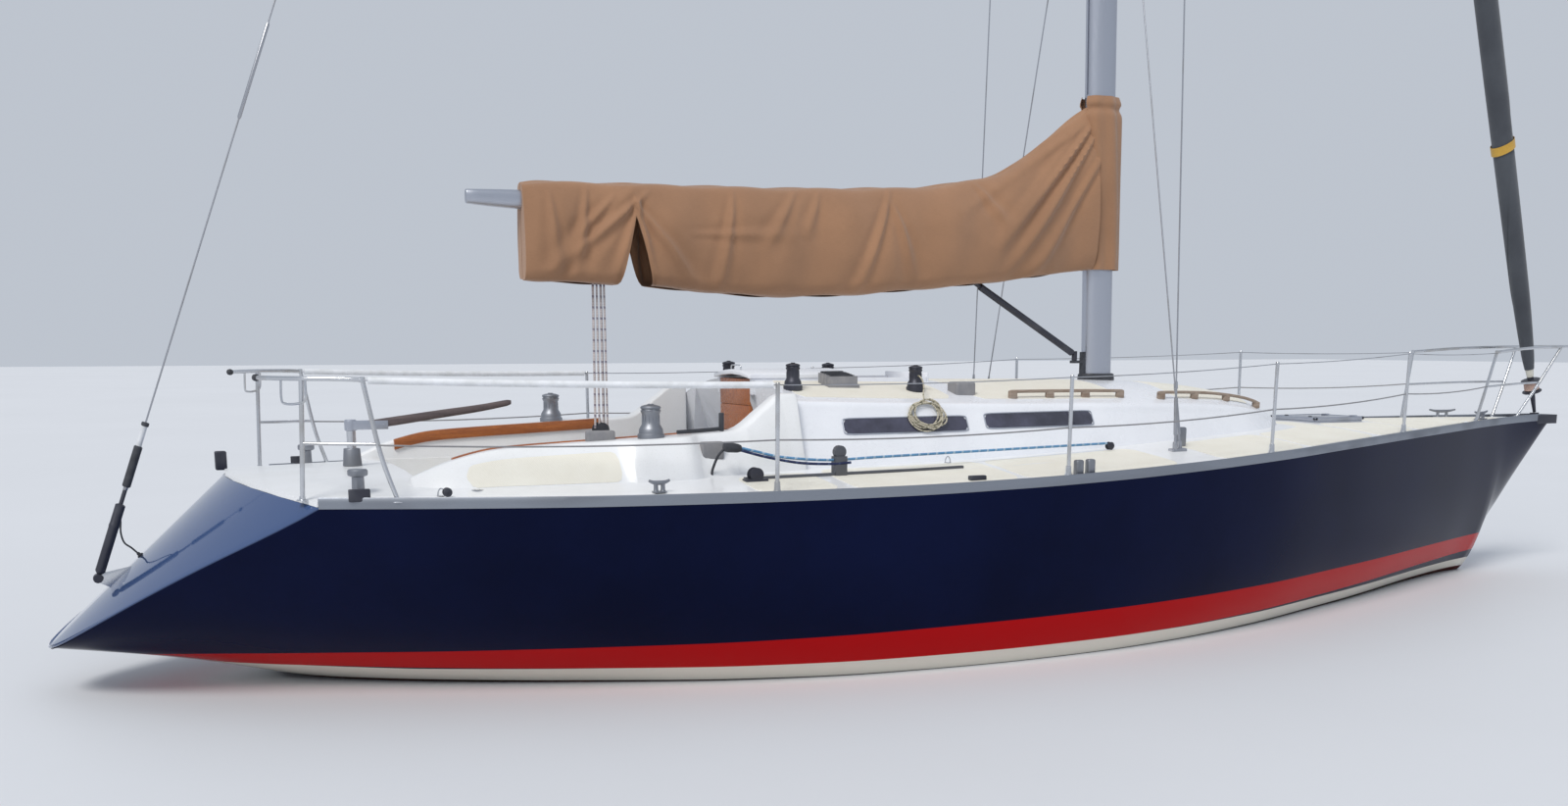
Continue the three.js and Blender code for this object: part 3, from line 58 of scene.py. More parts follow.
# Both sides of the boat: name, sign of Y
SIDES = (("starboard", -1), ("port", 1))
# Places along the boat are metres forward of the transom's tip
MIDSHIPS = 6.0
LENGTH = 12.074
TRANSOM_TIP_Z = 0.27
TRANSOM_RAKE = 1.0765
TRANSOM_ROUND = 0.319
CAMBER_PER_BEAM = 0.07
DECK_RISE = 0.0224
RAIL_HEIGHT = 0.052
ROOF_AFT = 4.2
ROOF_FORE = 8.72

MAST = {"s": 7.13, "foot_z": 1.69, "top_z": 17.96, "top_s": 6.69, "long": 0.24, "wide": 0.165}
MAST_TRACK = (3.7, 17.8)
GOOSENECK = {"s": 6.93, "z": 2.81}
BOOM = {"aft": 2.457, "high": 0.118, "wide": 0.086}
TACKLE_S = 3.27
BACKSTAY_FOOT = (0.283, 0.0, 0.64)
BACKSTAY_HEAD = (6.49, 0.0, 17.95)
FORESTAY_FOOT = (11.79, 0.0, 1.66)
FORESTAY_HEAD = (6.84, 0.0, 17.95)
SLIDE = {"aft": 4.175, "fore": 4.93, "half": 0.3, "thick": 0.034, "travel": 0.56, "z": 1.748}
FORE_HATCH = {"aft": 9.08, "fore": 9.6, "half": 0.25, "z": 1.3445, "thick": 0.026}
COCKPIT = {"aft": 1.95, "fore": 4.11, "half": 0.9, "wall": 0.028, "seat_z": 0.985, "sole_z": 0.61, "sole_half": 0.36}

# Hull lines: s, half beam, sheer height, height on the centreline, fullness, power at the bottom
LINES = [
    (0.0, 0.770, 1.122, 0.270, 1.04, 0.5),
    (0.7, 0.985, 1.116, 0.152, 1.10, 0.5),
    (1.33, 1.180, 1.110, 0.0, 1.32, 0.5),
    (2.0, 1.410, 1.105, -0.140, 1.62, 0.5),
    (2.84, 1.635, 1.100, -0.300, 1.92, 0.5),
    (3.73, 1.770, 1.099, -0.440, 2.55, 0.5),
    (4.5, 1.815, 1.101, -0.525, 3.05, 0.5),
    (5.3, 1.822, 1.113, -0.572, 3.30, 0.5),
    (6.0, 1.795, 1.132, -0.582, 3.35, 0.5),
    (6.7, 1.720, 1.157, -0.556, 3.30, 0.5),
    (7.45, 1.580, 1.186, -0.492, 3.20, 0.51),
    (8.4, 1.290, 1.219, -0.375, 3.25, 0.53),
    (9.33, 0.955, 1.243, -0.245, 3.60, 0.58),
    (10.3, 0.590, 1.263, -0.105, 3.40, 0.65),
    (10.8, 0.400, 1.272, -0.036, 3.00, 0.70),
    (11.09, 0.295, 1.276, 0.0, 2.60, 0.74),
    (11.237, 0.243, 1.278, 0.288, 2.40, 0.74),
    (11.429, 0.182, 1.280, 0.512, 2.20, 0.74),
    (11.653, 0.118, 1.282, 0.781, 2.00, 0.74),
    (11.858, 0.066, 1.284, 1.017, 1.80, 0.74),
    (LENGTH, 0.020, 1.285, 1.270, 1.60, 0.74),
]
# Coachroof: s, half width at the deck, half width at the roof's edge, edge height, crown height
ROOF = [
    (ROOF_AFT, 1.085, 0.905, 1.600, 1.725),
    (4.9, 1.095, 0.915, 1.578, 1.712),
    (5.6, 1.085, 0.900, 1.562, 1.700),
    (6.4, 1.030, 0.840, 1.545, 1.692),
    (7.13, 0.925, 0.740, 1.528, 1.682),
    (7.7, 0.800, 0.625, 1.505, 1.650),
    (8.15, 0.665, 0.500, 1.470, 1.592),
    (8.45, 0.545, 0.390, 1.415, 1.510),
    (8.62, 0.450, 0.300, 1.356, 1.420),
    (ROOF_FORE, 0.360, 0.220, 1.240, 1.262),
]
# Coamings: s, top height, inner top, outer top, outer foot
COAMING = [
    (1.88, 1.225, 0.905, 0.945, 1.020),
    (2.1, 1.310, 0.902, 0.985, 1.110),
    (2.37, 1.368, 0.902, 1.005, 1.170),
    (2.7, 1.388, 0.902, 1.030, 1.215),
    (3.02, 1.402, 0.902, 1.060, 1.240),
    (3.11, 1.406, 0.902, 1.150, 1.262),
    (3.42, 1.420, 0.902, 1.150, 1.262),
    (3.54, 1.426, 0.902, 1.040, 1.225),
    (3.76, 1.440, 0.902, 1.020, 1.180),
    (3.98, 1.580, 0.902, 0.990, 1.145),
    (4.09, 1.650, 0.902, 0.975, 1.140),
    (4.1997, 1.652, 0.902, 0.970, 1.140),
]
# Stanchions: s, half breadth
STANCHIONS = [(3.725, 1.726), (5.64, 1.762), (7.45, 1.525), (9.325, 0.902)]
# Winches: node, s, y, base radius, height
WINCHES = [
    ("primary_winch_starboard", 3.24, -1.035, 0.070, 0.185),
    ("primary_winch_port", 3.24, 1.035, 0.070, 0.185),
    ("roof_winch_starboard", 4.33, -0.64, 0.054, 0.15),
    ("roof_winch_port", 4.43, 0.64, 0.054, 0.15),
    ("mast_winch_starboard", 5.215, -0.64, 0.054, 0.15),
    ("mast_winch_port", 5.215, 0.64, 0.054, 0.15),
]
# Spreaders: node, height, half span, sweep aft, root chord
SPREADERS = [
    ("spreaders_lower", 6.65, 1.04, 0.15, 0.12),
    ("spreaders_upper", 12.15, 0.8, 0.12, 0.105),
]


def lookup(table, column, s):
    """Smooth value of one column of a table at s."""
    last = len(table) - 1
    if s <= table[0][0]:
        return table[0][column]
    if s >= table[last][0]:
        return table[last][column]
    i = 0
    while s > table[i + 1][0]:
        i += 1

    def slope(a, b):
        return (table[b][column] - table[a][column]) / (table[b][0] - table[a][0])

    def limited(k):
        if k == 0:
            return slope(0, 1)
        if k == last:
            return slope(last - 1, last)
        before, after = slope(k - 1, k), slope(k, k + 1)
        return 0.0 if before * after <= 0 else 2 * before * after / (before + after)

    width = table[i + 1][0] - table[i][0]
    u = (s - table[i][0]) / width
    rise = u * u * (3 - 2 * u)
    leave, arrive = u * (1 - u) ** 2, u * u * (u - 1)
    start, end = table[i][column], table[i + 1][column]
    return start + (end - start) * rise + width * (leave * limited(i) + arrive * limited(i + 1))


def half_beam(s):
    return lookup(LINES, 1, s)


def sheer(s):
    return lookup(LINES, 2, s)


def keel_line(s):
    return lookup(LINES, 3, s)


def breadth(s, fraction):
    """Half breadth of the hull at a fraction of its depth."""
    return half_beam(s) * (1 - (1 - fraction) ** lookup(LINES, 4, s)) ** lookup(LINES, 5, s)


def transom(y, z):
    return TRANSOM_RAKE * (z - TRANSOM_TIP_Z) + TRANSOM_ROUND * y * y


@lru_cache(maxsize=None)
def transom_start(fraction):
    """Where a line at one fraction of the depth starts at the transom."""
    s = 0.6
    for _ in range(60):
        z = keel_line(s) + (sheer(s) - keel_line(s)) * fraction
        s = 0.5 * s + 0.5 * transom(breadth(s, fraction), z)
    return max(s, 0.0)


def spacing(u):
    return u + 0.09 * math.sin(math.pi * u) * u


def camber(s):
    return CAMBER_PER_BEAM * half_beam(s)


def deck_z(s, y):
    """Height of the deck's upper surface."""
    across = min(1.0, abs(y) / half_beam(s))
    return sheer(s) + camber(s) * (1 - across * across) + DECK_RISE


def edge_place(w, lane, rise):
    """Place on the deck's grid: w from transom to bow, lane from -1 at starboard to 1 at port."""
    start = transom_start(1.0)
    edge_s = start + (LENGTH - start) * w
    arch = camber(start) * (1 - lane * lane)
    aft = transom(lane * half_beam(start), sheer(start) + arch)
    z = sheer(edge_s) + camber(edge_s) * (1 - lane * lane) + rise
    return at(aft + (LENGTH - aft) * w, lane * half_beam(edge_s), z)


def roof_half(s):
    return lookup(ROOF, 2, s)


def roof_edge(s):
    return lookup(ROOF, 3, s)


def roof_z(s, y):
    """Height of the coachroof's top."""
    across = min(1.0, abs(y) / roof_half(s))
    crown = lookup(ROOF, 4, s)
    return crown - (crown - roof_edge(s)) * across**2.2


def cabin_side(s, part, stand=0.0):
    """Place on the starboard cabin side, part 0 at the deck and 1 under the roof's edge, standing off it."""
    foot = Vector((0, -lookup(ROOF, 1, s), 1.18))
    top = Vector((0, -(roof_half(s) + 0.022), roof_edge(s) - 0.044))
    up = (top - foot).normalized()
    out = Vector((1, 0, 0)).cross(up)
    place = foot.lerp(top, part) + out * stand
    return at(s, place.y, place.z)


def mast_at(z):
    rise = (z - MAST["foot_z"]) / (MAST["top_z"] - MAST["foot_z"])
    return MAST["s"] + (MAST["top_s"] - MAST["s"]) * rise


def at(s, y, z):
    """A place in the shared frame from its place along the boat."""
    return Vector((s - MIDSHIPS, y, z))


def between(a, b, part):
    return tuple(p + (q - p) * part for p, q in zip(a, b))


# Ways of making a piece
def deselect():
    if bpy.context.object and bpy.context.object.mode != "OBJECT":
        bpy.ops.object.mode_set(mode="OBJECT")
    bpy.ops.object.select_all(action="DESELECT")


def only(piece):
    deselect()
    piece.select_set(True)
    bpy.context.view_layer.objects.active = piece
    return piece


def named(piece, name):
    piece.name = name
    piece.data.name = name
    return piece


@contextmanager
def editing(piece):
    """Edit mode on a piece with its whole mesh selected."""
    only(piece)
    bpy.ops.object.mode_set(mode="EDIT")
    bpy.ops.mesh.select_all(action="SELECT")
    yield
    bpy.ops.object.mode_set(mode="OBJECT")


def settle(piece):
    only(piece)
    bpy.ops.object.transform_apply(location=True, rotation=True, scale=True)
    return piece


def worked(piece, kind, **values):
    """Adds one modifier and applies it."""
    only(piece)
    modifier = piece.modifiers.new(kind, kind)
    for key, value in values.items():
        setattr(modifier, key, value)
    bpy.ops.object.modifier_apply(modifier=modifier.name)
    return piece


def block(name, low, high, bevel=0.004, segments=2):
    """A block between two corners given as (s, y, z), with rounded edges."""
    deselect()
    low, high = at(*low), at(*high)
    bpy.ops.mesh.primitive_cube_add(size=1, location=(low + high) / 2)
    piece = named(bpy.context.object, name)
    piece.scale = [abs(side) for side in high - low]
    settle(piece)
    if bevel:
        worked(piece, "BEVEL", width=bevel, segments=segments, limit_method="NONE")
    return piece


def slab(name, s0, s1, y, half, low, high, bevel=0.004, segments=2):
    """A block from s0 to s1 and from low to high, half its width on either side of y."""
    return block(name, (s0, y - half, low), (s1, y + half, high), bevel, segments)


def for_side(side, points):
    """Places of one side from places given for the port side; one without a height stands on the deck."""
    return [at(s, side * y, deck_z(s, y) if z is None else z) for s, y, z in points]


def turned(name, profile, place, way=(0, 0, 1), sides=24):
    """A solid turned on an axis, from (radius, height) steps along it."""
    deselect()
    radius, height = profile[0]
    bpy.ops.mesh.primitive_circle_add(vertices=sides, radius=radius, fill_type="NGON", location=(0, 0, height))
    piece = named(bpy.context.object, name)
    bpy.ops.object.transform_apply(location=True)
    bpy.ops.object.mode_set(mode="EDIT")
    for next_radius, next_height in profile[1:]:
        move = {"value": (0, 0, next_height - height)}
        bpy.ops.mesh.extrude_region_move(TRANSFORM_OT_translate=move)
        grow = next_radius / radius
        bpy.ops.transform.resize(value=(grow, grow, 1), center_override=(0, 0, next_height))
        radius, height = next_radius, next_height
    bpy.ops.mesh.select_all(action="SELECT")
    bpy.ops.mesh.normals_make_consistent(inside=False)
    bpy.ops.object.mode_set(mode="OBJECT")
    turn = Vector((0, 0, 1)).rotation_difference(Vector(way)).to_matrix().to_4x4()
    piece.matrix_world = Matrix.Translation(place) @ turn
    return settle(piece)


def rod(name, start, end, radius, sides=16, bevel=0.0):
    """A straight round rod between two places in the shared frame."""
    way = Vector(end) - Vector(start)
    soft = min(bevel, radius * 0.5)
    profile = [(radius, 0.0), (radius, way.length)]
    if soft:
        profile = [(radius - soft, 0.0), (radius, soft), (radius, way.length - soft), (radius - soft, way.length)]
    return turned(name, profile, Vector(start), way.normalized(), sides)


def surface(name, across, along, place):
    """A grid whose points are set by place(u, v), with u and v from 0 to 1."""
    deselect()
    bpy.ops.mesh.primitive_grid_add(x_subdivisions=across, y_subdivisions=along, size=1, location=(0, 0, 0))
    piece = named(bpy.context.object, name)
    for vertex in piece.data.vertices:
        vertex.co = place(round(vertex.co.x + 0.5, 6), round(vertex.co.y + 0.5, 6))
    return piece


def closed(piece, fill=True, merge=1e-5):
    """Merges seams, fills open ends and turns the faces outward."""
    with editing(piece):
        bpy.ops.mesh.remove_doubles(threshold=merge)
        if fill:
            bpy.ops.mesh.fill_holes(sides=0)
        bpy.ops.mesh.select_all(action="SELECT")
        bpy.ops.mesh.normals_make_consistent(inside=False)
    return piece


def eased(piece, width, angle, segments=2):
    """Rounds the edges that are sharper than an angle in degrees."""
    return worked(piece, "BEVEL", width=width, segments=segments, limit_method="ANGLE", angle_limit=math.radians(angle))


def faced(piece, way):
    """Turns an open sheet's faces so that most of them look along way."""
    if sum(face.normal.dot(Vector(way)) * face.area for face in piece.data.polygons) < 0:
        piece.data.flip_normals()
    return piece


def corner_at(corners, v):
    """The corner of a closed outline that a grid's row at share v stands for."""
    return corners[round(v * len(corners)) % len(corners)]


def squared(value, power):
    """A sine or cosine that fills its circle out towards a square; the power is under 1."""
    return math.copysign(abs(value) ** power, value)


def walled(piece, thickness, offset=-1.0):
    return worked(piece, "SOLIDIFY", thickness=thickness, offset=offset, use_even_offset=True)


def curve_through(points, steps):
    """Places spaced along a smooth curve through the points."""
    points = [Vector(p) for p in points]
    if len(points) == 2:
        return [points[0].lerp(points[1], k / steps) for k in range(steps + 1)]
    ends = [points[0] * 2 - points[1]] + points + [points[-1] * 2 - points[-2]]
    fine = []
    for k in range(1, len(ends) - 2):
        a, b, c, d = ends[k - 1 : k + 3]
        for n in range(24):
            t = n / 24
            bend = (c - a) * t + (a * 2 - b * 5 + c * 4 - d) * t * t + (b * 3 - a - c * 3 + d) * t**3
            fine.append(b + bend / 2)
    fine.append(points[-1])
    gone = [0.0]
    for p, q in zip(fine, fine[1:]):
        gone.append(gone[-1] + (q - p).length)
    places, i = [], 0
    for k in range(steps + 1):
        target = gone[-1] * k / steps
        while i + 2 < len(gone) and gone[i + 1] < target:
            i += 1
        part = (target - gone[i]) / max(gone[i + 1] - gone[i], 1e-9)
        places.append(fine[i].lerp(fine[i + 1], min(max(part, 0.0), 1.0)))
    return places


def axes_along(line):
    """At each place of a line, two directions square to it that don't twist."""
    ways = [(line[min(k + 1, len(line) - 1)] - line[max(k - 1, 0)]).normalized() for k in range(len(line))]
    guide = Vector((0, 0, 1)) if abs(ways[0].z) < 0.9 else Vector((0, 1, 0))
    side = guide.cross(ways[0]).normalized()
    axes = []
    for k, way in enumerate(ways):
        if k:
            side = ways[k - 1].rotation_difference(way) @ side
        side = (side - way * side.dot(way)).normalized()
        axes.append((side, way.cross(side)))
    return axes


def pipe(name, points, radius, steps=24, sides=12, smooth=True):
    """A round tube through places in the shared frame; radius is a number or a function of the way along."""
    line = curve_through(points, steps) if smooth else [Vector(p) for p in points]
    axes = axes_along(line)
    count = len(line) - 1

    def place(u, v):
        k = round(u * count)
        side, rise = axes[k]
        size = radius(u) if callable(radius) else radius
        angle = 2 * math.pi * v
        return line[k] + side * (size * math.cos(angle)) + rise * (size * math.sin(angle))

    return closed(surface(name, count, sides, place))


def joined(name, pieces):
    only(pieces[0])
    for piece in pieces[1:]:
        piece.select_set(True)
    bpy.ops.object.join()
    return named(bpy.context.object, name)


def smoothed(name, node, bevel=0.0, segments=2, flat=0.6):
    """A merged copy of a CAD node with its flat faces whole and its edges rounded."""
    piece = bpy.data.objects.new(name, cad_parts[node].data.copy())
    bpy.context.scene.collection.objects.link(piece)
    named(piece, name)
    with editing(piece):
        bpy.ops.mesh.customdata_custom_splitnormals_clear()
        bpy.ops.mesh.remove_doubles(threshold=2e-5)
        bpy.ops.mesh.dissolve_limited(angle_limit=math.radians(flat))
    if bevel:
        eased(piece, bevel, 40, segments)
    return piece


def cut(piece, cutter):
    """Cuts one piece with another and removes the cutter."""
    worked(piece, "BOOLEAN", object=cutter, operation="DIFFERENCE", solver="EXACT")
    bpy.data.objects.remove(cutter)
    return piece


def open_box(name, low, high, wall=0.003):
    """A thin-walled box without a lid, between two inner corners given as (s, y, z)."""
    piece = block(name, low, high, 0.0)
    only(piece)
    bpy.ops.object.mode_set(mode="EDIT")
    bpy.ops.mesh.select_mode(type="FACE")
    bpy.ops.mesh.select_all(action="DESELECT")
    bpy.ops.object.mode_set(mode="OBJECT")
    for face in piece.data.polygons:
        face.select = face.normal.z > 0.5
    bpy.ops.object.mode_set(mode="EDIT")
    bpy.ops.mesh.delete(type="FACE")
    bpy.ops.mesh.select_all(action="SELECT")
    bpy.ops.mesh.flip_normals()
    bpy.ops.object.mode_set(mode="OBJECT")
    return walled(piece, wall)


def measured(piece, along, across):
    """Sizes a grid's own UV map in metres: U runs along it, V across."""
    for corner in piece.data.uv_layers.active.data:
        corner.uv = (corner.uv[0] * along, corner.uv[1] * across)
    return piece


def length_of(line):
    return sum((q - p).length for p, q in zip(line, line[1:]))


def dressed(piece, look):
    """Gives the whole piece one of the finishes."""
    piece.data.materials.clear()
    piece.data.materials.append(FINISHES[look])
    return piece


def finish(piece, body, look=None, replaces=(), angle=35.0):
    """Shades a piece, dresses it unless its parts are dressed already, and hangs it on its body."""
    only(piece)
    bpy.ops.object.shade_smooth_by_angle(angle=math.radians(angle))
    if look:
        dressed(piece, look)
    if body:
        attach(piece, body)
    if replaces:
        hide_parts(*replaces)
    return piece


# Finishes
def rgb(red, green, blue):
    """Scene-linear colour from screen values of 0 to 255."""
    def linear(value):
        value /= 255
        return value / 12.92 if value <= 0.04045 else ((value + 0.055) / 1.055) ** 2.4

    return (linear(red), linear(green), linear(blue), 1.0)


def node(tree, kind, inputs=None, **settings):
    """Adds a shader node; an input is a value or another node's output."""
    made = tree.nodes.new("ShaderNode" + kind)
    for key, value in settings.items():
        setattr(made, key, value)
    for key, value in (inputs or {}).items():
        if isinstance(value, bpy.types.NodeSocket):
            tree.links.new(value, made.inputs[key])
        else:
            made.inputs[key].default_value = value
    return made


def math_node(tree, operation, a, b=0.0, c=0.0):
    return node(tree, "Math", {0: a, 1: b, 2: c}, operation=operation).outputs[0]


def times(tree, a, b):
    return math_node(tree, "MULTIPLY", a, b)


def scaled(tree, a, factor, more):
    """a times a factor, and more on top."""
    return math_node(tree, "MULTIPLY_ADD", a, factor, more)


def together(tree, a, b):
    return math_node(tree, "ADD", a, b)


def less(tree, a, b):
    return math_node(tree, "SUBTRACT", a, b)


def opaque(colour, share=1.0, more=0.0):
    """A colour with its alpha, made darker or lighter by a share."""
    return tuple(channel * share + more for channel in colour[:3]) + (1.0,)


def mix_colour(tree, factor, a, b):
    mixed = node(tree, "Mix", data_type="RGBA")
    for key, value in (("Factor", factor), ("A", a), ("B", b)):
        socket = next(s for s in mixed.inputs if s.name == key and s.type == ("VALUE" if key == "Factor" else "RGBA"))
        if isinstance(value, bpy.types.NodeSocket):
            tree.links.new(value, socket)
        else:
            socket.default_value = value
    return next(s for s in mixed.outputs if s.type == "RGBA")


def ramp(tree, value, low, high):
    """0 below low, 1 above high."""
    return node(tree, "MapRange", {"Value": value, "From Min": low, "From Max": high}).outputs["Result"]


def stretched(tree, vector, scale):
    return node(tree, "Mapping", {"Vector": vector, "Scale": scale}).outputs["Vector"]


def effect(name, inputs, outputs):
    """A new shader node group with its named sockets."""
    tree = bpy.data.node_groups.new(name, "ShaderNodeTree")
    for label, kind, value in inputs:
        socket = tree.interface.new_socket(label, in_out="INPUT", socket_type="NodeSocket" + kind)
        if value is not None:
            socket.default_value = value
    for label in outputs:
        tree.interface.new_socket(label, in_out="OUTPUT", socket_type="NodeSocketFloat")
    return tree, tree.nodes.new("NodeGroupInput").outputs, tree.nodes.new("NodeGroupOutput").inputs


def weathering_effect():
    """Soft blotches and fine specks."""
    tree, given, out = effect("Weathering", [("Vector", "Vector", None), ("Scale", "Float", 1.0)], ["Blotch", "Speck"])
    broad = node(tree, "TexNoise", {"Vector": given["Vector"], "Scale": given["Scale"], "Detail": 6.0,
                                    "Roughness": 0.62})
    fine_scale = times(tree, given["Scale"], 60.0)
    fine = node(tree, "TexNoise", {"Vector": given["Vector"], "Scale": fine_scale, "Detail": 3.0})
    tree.links.new(ramp(tree, broad.outputs[0], 0.35, 0.68), out["Blotch"])
    tree.links.new(ramp(tree, fine.outputs[0], 0.58, 0.74), out["Speck"])
    return tree


def weave_effect():
    """Over-and-under threads of a plain weave."""
    tree, given, out = effect("Plain Weave", [("Vector", "Vector", None), ("Threads", "Float", 400.0)],
                              ["Height", "Thread"])
    apart = node(tree, "SeparateXYZ", {0: given["Vector"]})
    turn = times(tree, given["Threads"], math.pi)
    warp = math_node(tree, "SINE", times(tree, apart.outputs[0], turn))
    weft = math_node(tree, "SINE", times(tree, apart.outputs[1], turn))
    height = math_node(tree, "ABSOLUTE", times(tree, warp, weft))
    slub = node(tree, "TexNoise", {"Vector": stretched(tree, given["Vector"], (4.0, 90.0, 1.0)), "Scale": 6.0})
    tree.links.new(height, out["Height"])
    tree.links.new(ramp(tree, slub.outputs[0], 0.35, 0.65), out["Thread"])
    return tree


def grain_effect():
    """Wood grain running along X."""
    tree, given, out = effect("Wood Grain", [("Vector", "Vector", None), ("Scale", "Float", 1.0)], ["Figure", "Pores"])
    long = stretched(tree, given["Vector"], (0.6, 9.0, 9.0))
    figure = node(tree, "TexNoise", {"Vector": long, "Scale": given["Scale"], "Detail": 5.0, "Distortion": 0.8})
    fine = stretched(tree, given["Vector"], (6.0, 220.0, 220.0))
    pores = node(tree, "TexNoise", {"Vector": fine, "Scale": given["Scale"], "Detail": 2.0})
    tree.links.new(ramp(tree, figure.outputs[0], 0.3, 0.7), out["Figure"])
    tree.links.new(ramp(tree, pores.outputs[0], 0.45, 0.7), out["Pores"])
    return tree


def brushed_effect():
    """Fine drawn lines along one direction."""
    tree, given, out = effect("Drawn Metal", [("Vector", "Vector", None), ("Scale", "Float", 1.0)], ["Line", "Stain"])
    lines = node(tree, "TexNoise", {"Vector": given["Vector"], "Scale": times(tree, given["Scale"], 300.0)})
    stain = node(tree, "TexNoise", {"Vector": given["Vector"], "Scale": times(tree, given["Scale"], 5.0)})
    tree.links.new(ramp(tree, lines.outputs[0], 0.3, 0.7), out["Line"])
    tree.links.new(ramp(tree, stain.outputs[0], 0.5, 0.75), out["Stain"])
    return tree


def braid_effect():
    """Crossing strands of a braided rope, from its own UV map."""
    tree, given, out = effect("Braid", [("Along", "Float", 100.0), ("Around", "Float", 8.0),
                                        ("Vector", "Vector", None)], ["Height", "Tracer"])
    apart = node(tree, "SeparateXYZ", {0: given["Vector"]})
    along = times(tree, apart.outputs[0], times(tree, given["Along"], math.pi * 2))
    around = times(tree, apart.outputs[1], times(tree, given["Around"], math.pi * 2))
    left = math_node(tree, "SINE", together(tree, along, around))
    right = math_node(tree, "SINE", less(tree, along, around))
    height = math_node(tree, "MAXIMUM", left, right)
    slow = math_node(tree, "SINE", together(tree, times(tree, along, 0.25), around))
    tree.links.new(scaled(tree, height, 0.5, 0.5), out["Height"])
    tree.links.new(ramp(tree, slow, 0.72, 0.86), out["Tracer"])
    return tree


def tread_effect():
    """Small raised diamonds of a moulded non-slip surface."""
    tree, given, out = effect("Moulded Tread", [("Vector", "Vector", None), ("Pitch", "Float", 0.01)], ["Height"])
    apart = node(tree, "SeparateXYZ", {0: given["Vector"]})
    turn = math_node(tree, "DIVIDE", math.pi, given["Pitch"])
    plus = together(tree, apart.outputs[0], apart.outputs[1])
    minus = less(tree, apart.outputs[0], apart.outputs[1])
    a = math_node(tree, "ABSOLUTE", math_node(tree, "SINE", times(tree, plus, turn)))
    b = math_node(tree, "ABSOLUTE", math_node(tree, "SINE", times(tree, minus, turn)))
    tree.links.new(ramp(tree, times(tree, a, b), 0.15, 0.5), out["Height"])
    return tree


EFFECTS = {
    "Weathering": weathering_effect,
    "Plain Weave": weave_effect,
    "Wood Grain": grain_effect,
    "Drawn Metal": brushed_effect,
    "Braid": braid_effect,
    "Moulded Tread": tread_effect,
}


def use_effect(tree, name, vector, **values):
    group = bpy.data.node_groups.get(name) or EFFECTS[name]()
    placed = node(tree, "Group", node_tree=group)
    tree.links.new(vector, placed.inputs["Vector"])
    for key, value in values.items():
        placed.inputs[key.capitalize()].default_value = value
    return placed.outputs


def blank_finish(name, rough, metal=0.0, **shader):
    """A material with its shader and object coordinates, ready for its pattern."""
    material = bpy.data.materials.new(name)
    material.use_nodes = True
    tree = material.node_tree
    principled = tree.nodes["Principled BSDF"]
    principled.inputs["Roughness"].default_value = rough
    principled.inputs["Metallic"].default_value = metal
    for key, value in shader.items():
        principled.inputs[key.replace("_", " ")].default_value = value
    places = node(tree, "TexCoord").outputs
    return material, tree, principled.inputs, places


def bumped(tree, shader, height, distance, strength=1.0):
    bump = node(tree, "Bump", {"Height": height, "Distance": distance, "Strength": strength})
    tree.links.new(bump.outputs["Normal"], shader["Normal"])


def band(tree, z, low, high):
    """1 where z lies between two heights."""
    above = ramp(tree, less(tree, z, low), -0.0015, 0.0015)
    below = ramp(tree, less(tree, high, z), -0.0015, 0.0015)
    return times(tree, above, below)


def stripe_edge(tree, x, base, slope, bend):
    """Height of a stripe's edge: a quadratic whose bend is nothing at two stations."""
    d, e = (together(tree, x, MIDSHIPS - station) for station in STRIPE_STATIONS)
    curve = times(tree, times(tree, d, e), bend)
    return together(tree, scaled(tree, d, slope, base), curve)


# Paler blue over the transom's navy: a painted reflection of the sky
TRANSOM_SKY_REFLECTION = rgb(58, 80, 122)
STRIPE_STATIONS = (1.9, 4.5)
# Stripe edges: height at the first station, slope, bend
STRIPES = {
    "red low": (0.122, -0.0094, 0.00263),
    "red high": (0.243, 0.0176, -0.00105),
    "white low": (0.02, -0.006, 0.00132),
    "white high": (0.112, -0.0038, 0.00073),
}


